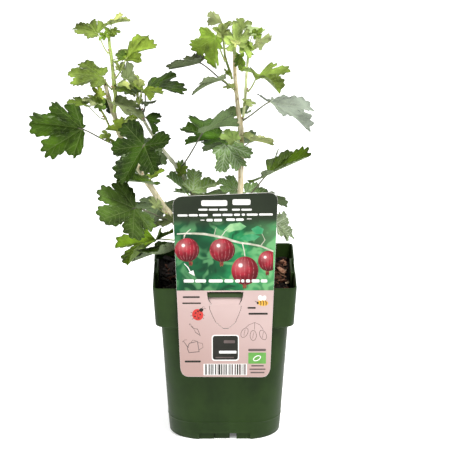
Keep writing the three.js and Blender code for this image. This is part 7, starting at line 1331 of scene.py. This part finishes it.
stroke("pink", [(-31.38, 118.69), (-30.03, 116.89)], 0.6)
art("grey", [(-32.36, 100.8), (-24.45, 102.71), (-22.91, 92.1), (-32.62, 91.16), (-34.19, 95.27)])
art("pink", [(-31.8, 100.2), (-25.02, 101.99), (-23.58, 92.7), (-32.17, 91.89), (-33.51, 95.39)])
stroke("grey", [(-33.05, 96.23), (-35.52, 99.85), (-37.54, 102.75)], [0.9, 0.6, 0.5])
stroke("grey", [(-38.22, 101.79), (-36.4, 103.7), (-34.15, 103.94)], 0.4)
stroke("grey", [(-24.46, 101.26), (-20.18, 100.29), (-19.74, 96.43), (-23.58, 94.03)], 0.45)
stroke("grey", [(-30.78, 100.8), (-28.96, 103.68), (-25.81, 102.71)], 0.45)
stroke("grey", [(17.71, 114.35), (21.75, 118.18), (26.92, 120.32), (31.43, 118.15), (34.6, 113.58)], 0.4)
stroke("grey", [(26.92, 120.32), (26.72, 113.6)], 0.4)
disc("grey", 17.71, 110.51, 3.08, 5.06, 26, -0.45)
disc("pink", 17.71, 110.51, 2.62, 4.58, 26, -0.45)
stroke("grey", [(18.38, 113.63), (17.49, 110.51), (17.27, 107.63)], 0.35)
disc("grey", 25.61, 107.84, 3.08, 5.06, 26, -0.0)
disc("pink", 25.61, 107.84, 2.62, 4.58, 26, -0.0)
stroke("grey", [(26.28, 110.97), (25.38, 107.84), (25.17, 104.96)], 0.35)
disc("grey", 34.4, 108.3, 3.08, 5.06, 26, 0.4)
disc("pink", 34.4, 108.3, 2.62, 4.58, 26, 0.4)
stroke("grey", [(35.06, 111.42), (34.18, 108.3), (33.96, 105.41)], 0.35)
rect("white", -11.86, 83.61, 12.76, 108.6, 2.6)
rect("dark", -10.95, 84.58, 11.86, 107.65, 2.2)
rect("grey", -1.0, 100.47, 9.16, 103.33, 0.8)
rect("white", -5.29, 90.6, 10.52, 93.2, 0.8)
rect("grey", -8.46, 86.26, 8.27, 87.17, 0.3)
rect("grey", 21.14, 92.69, 37.17, 95.05, 0.8)
rect("green", 21.17, 80.61, 37.18, 91.43, 0.4)
disc("white", 29.07, 85.9, 3.88, 2.41, 20, 0.5)
disc("green", 29.07, 85.9, 3.08, 1.57, 20, 0.5)
rect("grey", 23.89, 77.93, 35.2, 79.35, 0.3)
rect("grey", 22.31, 74.55, 36.8, 75.96, 0.3)
rect("grey", 23.23, 71.39, 35.91, 72.81, 0.3)
rect("white", -19.36, 69.59, 20.04, 80.61, 0.4)
rect("dark", -17.77, 70.07, -16.39, 80.24, 0)
rect("grey", -15.39, 70.06, -14.8, 80.23, 0)
rect("dark", -14.26, 70.06, -13.33, 80.23, 0)
rect("dark", -12.79, 70.05, -11.86, 80.23, 0)
rect("dark", -11.31, 70.05, -10.28, 80.22, 0)
rect("dark", -8.94, 70.04, -7.9, 80.21, 0)
rect("grey", -7.24, 70.03, -6.66, 80.21, 0)
rect("dark", -5.99, 70.03, -4.17, 80.2, 0)
rect("dark", -3.61, 70.02, -2.59, 80.2, 0)
rect("grey", -2.03, 70.02, -1.12, 80.19, 0)
rect("dark", -0.44, 70.01, 0.58, 80.19, 0)
rect("dark", 1.14, 70.01, 2.05, 80.18, 0)
rect("dark", 3.41, 70.0, 4.31, 80.17, 0)
rect("dark", 4.88, 69.99, 5.44, 80.17, 0)
rect("grey", 6.01, 69.99, 7.37, 80.17, 0)
rect("grey", 8.73, 69.98, 10.08, 80.16, 0)
rect("dark", 10.77, 69.98, 12.12, 80.15, 0)
rect("grey", 12.7, 69.97, 14.49, 80.14, 0)
rect("dark", 15.19, 69.96, 15.74, 80.14, 0)
rect("dark", 16.32, 69.96, 16.87, 80.14, 0)
rect("grey", 17.45, 69.96, 18.91, 80.13, 0)
rect("dark", -13.32, 145.98, 14.5, 148.28, 0.0)

from mathutils.geometry import delaunay_2d_cdt

outline = card_outline()
verts2, faces2 = [], []


def put_loop(pts):
    i0 = len(verts2)
    verts2.extend(Vector((float(a), float(b))) for a, b in pts)
    faces2.append(list(range(i0, i0 + len(pts))))


def ccw(pts):
    a = np.array(pts)
    s = np.sum(a[:, 0] * np.roll(a[:, 1], -1) - np.roll(a[:, 0], -1) * a[:, 1])
    return list(pts) if s > 0 else list(pts)[::-1]


put_loop(ccw(outline))
for ink, pts, c, r in ART:
    put_loop(ccw(pts))
slit = slit_outline()
put_loop(ccw(slit))
tongue_loop = [(l, z) for z, l, r in TONGUE] + [(r, z) for z, l, r in TONGUE[::-1]]
put_loop(ccw(tongue_loop))
SLIT_ID, TONGUE_ID = len(ART) + 1, len(ART) + 2
# a lattice, so that the card can bend
extra_edges = []
for z in list(np.arange(70, 241, 6.0)) + [148.4, 143, 140.8, 138.4, 137]:
    i0 = len(verts2)
    verts2.append(Vector((-44.0, float(z))))
    verts2.append(Vector((45.5, float(z))))
    extra_edges.append((i0, i0 + 1))
for x in (-36, -28, -20, -12, -6, -3, -1.5, -0.6, 0.2, 1.0, 1.9, 3.4, 7, 13, 20, 28, 36):
    i0 = len(verts2)
    verts2.append(Vector((float(x), 68.0)))
    verts2.append(Vector((float(x), 240.0)))
    extra_edges.append((i0, i0 + 1))
out_v, out_e, out_f, ov, oe, of_ = delaunay_2d_cdt(verts2, extra_edges, faces2, 1, 1e-4)
out_v = np.array([tuple(p) for p in out_v])
keep, ink_of, local = [], [], []
for q, src in zip(out_f, of_):
    if 0 not in src:
        continue
    if SLIT_ID in src and TONGUE_ID not in src:
        continue
    shapes = [s for s in src if 1 <= s <= len(ART)]
    top = max(shapes) if shapes else 0
    keep.append(list(q))
    ink_of.append(INK_NAMES.index(ART[top - 1][0]) if top else 0)
    local.append(ART[top - 1][2:] if top else ((0, 0), 1.0))
# faces wound so that the front looks towards -Y
fixed = []
for q in keep:
    a = out_v[q]
    s = np.sum(a[:, 0] * np.roll(a[:, 1], -1) - np.roll(a[:, 0], -1) * a[:, 1])
    fixed.append(q if s > 0 else q[::-1])
keep = fixed
used = sorted({i for q in keep for i in q})
# vertices on the tongue follow its own path, so the tongue's edge and the card's edge are kept apart
tong = [SLIT_ID in s and TONGUE_ID in s for s in [src for q, src in zip(out_f, of_) if 0 in src and not (SLIT_ID in src and TONGUE_ID not in src)]]
index, V = {}, []


def vid(i, on_tongue):
    x, z = out_v[i]
    edge_top = z > 149.55
    key = (i, bool(on_tongue) and not edge_top)
    if key not in index:
        y = tongue_y(z) if key[1] else card_y(x, z)
        index[key] = len(V)
        V.append((x, y, z))
    return index[key]


front = [[vid(i, t) for i in q] for q, t in zip(keep, tong)]
V = np.array(V)
# thickness: a copy behind, joined round every open edge
F, M, UV = [], [], []
nV = len(V)
half = np.array([0, CARD_T / 2, 0])
allv = np.vstack([V - half, V + half])
edges = {}
for q, m, (c, r) in zip(front, ink_of, local):
    F.append(tuple(q))
    M.append(m)
    UV += [((V[i][0] - c[0]) / r, (V[i][2] - c[1]) / r) for i in q]
    for a, b in zip(q, q[1:] + q[:1]):
        edges[a, b] = True
for q in front:
    F.append(tuple(i + nV for i in q[::-1]))
    M.append(0)
    UV += [(0.0, 0.0)] * len(q)
for a, b in list(edges):
    if (b, a) not in edges:
        F.append((b, a, a + nV, b + nV))
        M.append(0)
        UV += [(0.0, 0.0)] * 4
me = bpy.data.meshes.new("plant_card")
me.from_pydata([tuple(p) for p in allv * MM], [], F)
for k in INK_NAMES:
    me.materials.append(INK[k])
me.polygons.foreach_set("material_index", np.array(M, np.int32))
layer = me.uv_layers.new(name="art")
layer.data.foreach_set("uv", np.array(UV, np.float32).ravel())
me.update()
label = bpy.data.objects.new("plant_card", me)
scene.collection.objects.link(label)
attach(label, "root")
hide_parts("plant_label")

# ------------------------------------------------------------------ floor and light
fl = make_object("floor", np.array([(-16, -16, 0), (16, -16, 0), (16, 16, 0), (-16, 16, 0)]), [(0, 1, 2, 3)], [], smooth=False)
n = Nodes("floor_paper")
grain = n.noise(n.obj(), 30.0, 3.0, 0.5)
col = n.mix(n.maprange(grain, 0.3, 0.7, 0, 1), (0.90, 0.90, 0.90, 1), (0.93, 0.93, 0.93, 1))
p = n.principled(col, 0.9)
p.inputs["Specular IOR Level"].default_value = 0.0
p.inputs["Emission Color"].default_value = (1, 1, 1, 1)
s = n.node("ShaderNodeSeparateXYZ")
n.link(n.obj(), s.inputs[0])
# the floor glows evenly, but under the pot's footprint the glow falls from 0.55 to 0.14: a painted shadow under the pot
far = n.math("MAXIMUM", n.math("ABSOLUTE", s.outputs[0]), n.math("ABSOLUTE", s.outputs[1]))
n.link(n.maprange(far, 0.040, 0.052, 0.14, 0.55), p.inputs["Emission Strength"])
fl.data.materials.append(n.finish(p))

world = bpy.data.worlds.new("studio")
scene.world = world
world.use_nodes = True
bg = world.node_tree.nodes["Background"]
bg.inputs[0].default_value = (1.0, 1.0, 1.0, 1)
bg.inputs[1].default_value = 0.42


def area(name, loc, target, size, power, colour=(1, 1, 1)):
    d = bpy.data.lights.new(name, "AREA")
    d.shape = "RECTANGLE"
    d.size, d.size_y = size
    d.energy = power
    d.color = colour
    ob = bpy.data.objects.new(name, d)
    scene.collection.objects.link(ob)
    ob.location = loc
    ob.rotation_euler = (Vector(target) - Vector(loc)).to_track_quat("-Z", "Y").to_euler()
    return ob


area("key", (0.75, -1.0, 2.1), (0, 0, 0.2), (0.7, 0.7), 56.0)
area("fill", (-1.5, -1.3, 1.1), (0, 0, 0.2), (1.2, 1.2), 7.0)
area("rim", (-0.5, 1.5, 1.9), (0, 0, 0.25), (1.0, 0.8), 16.0)
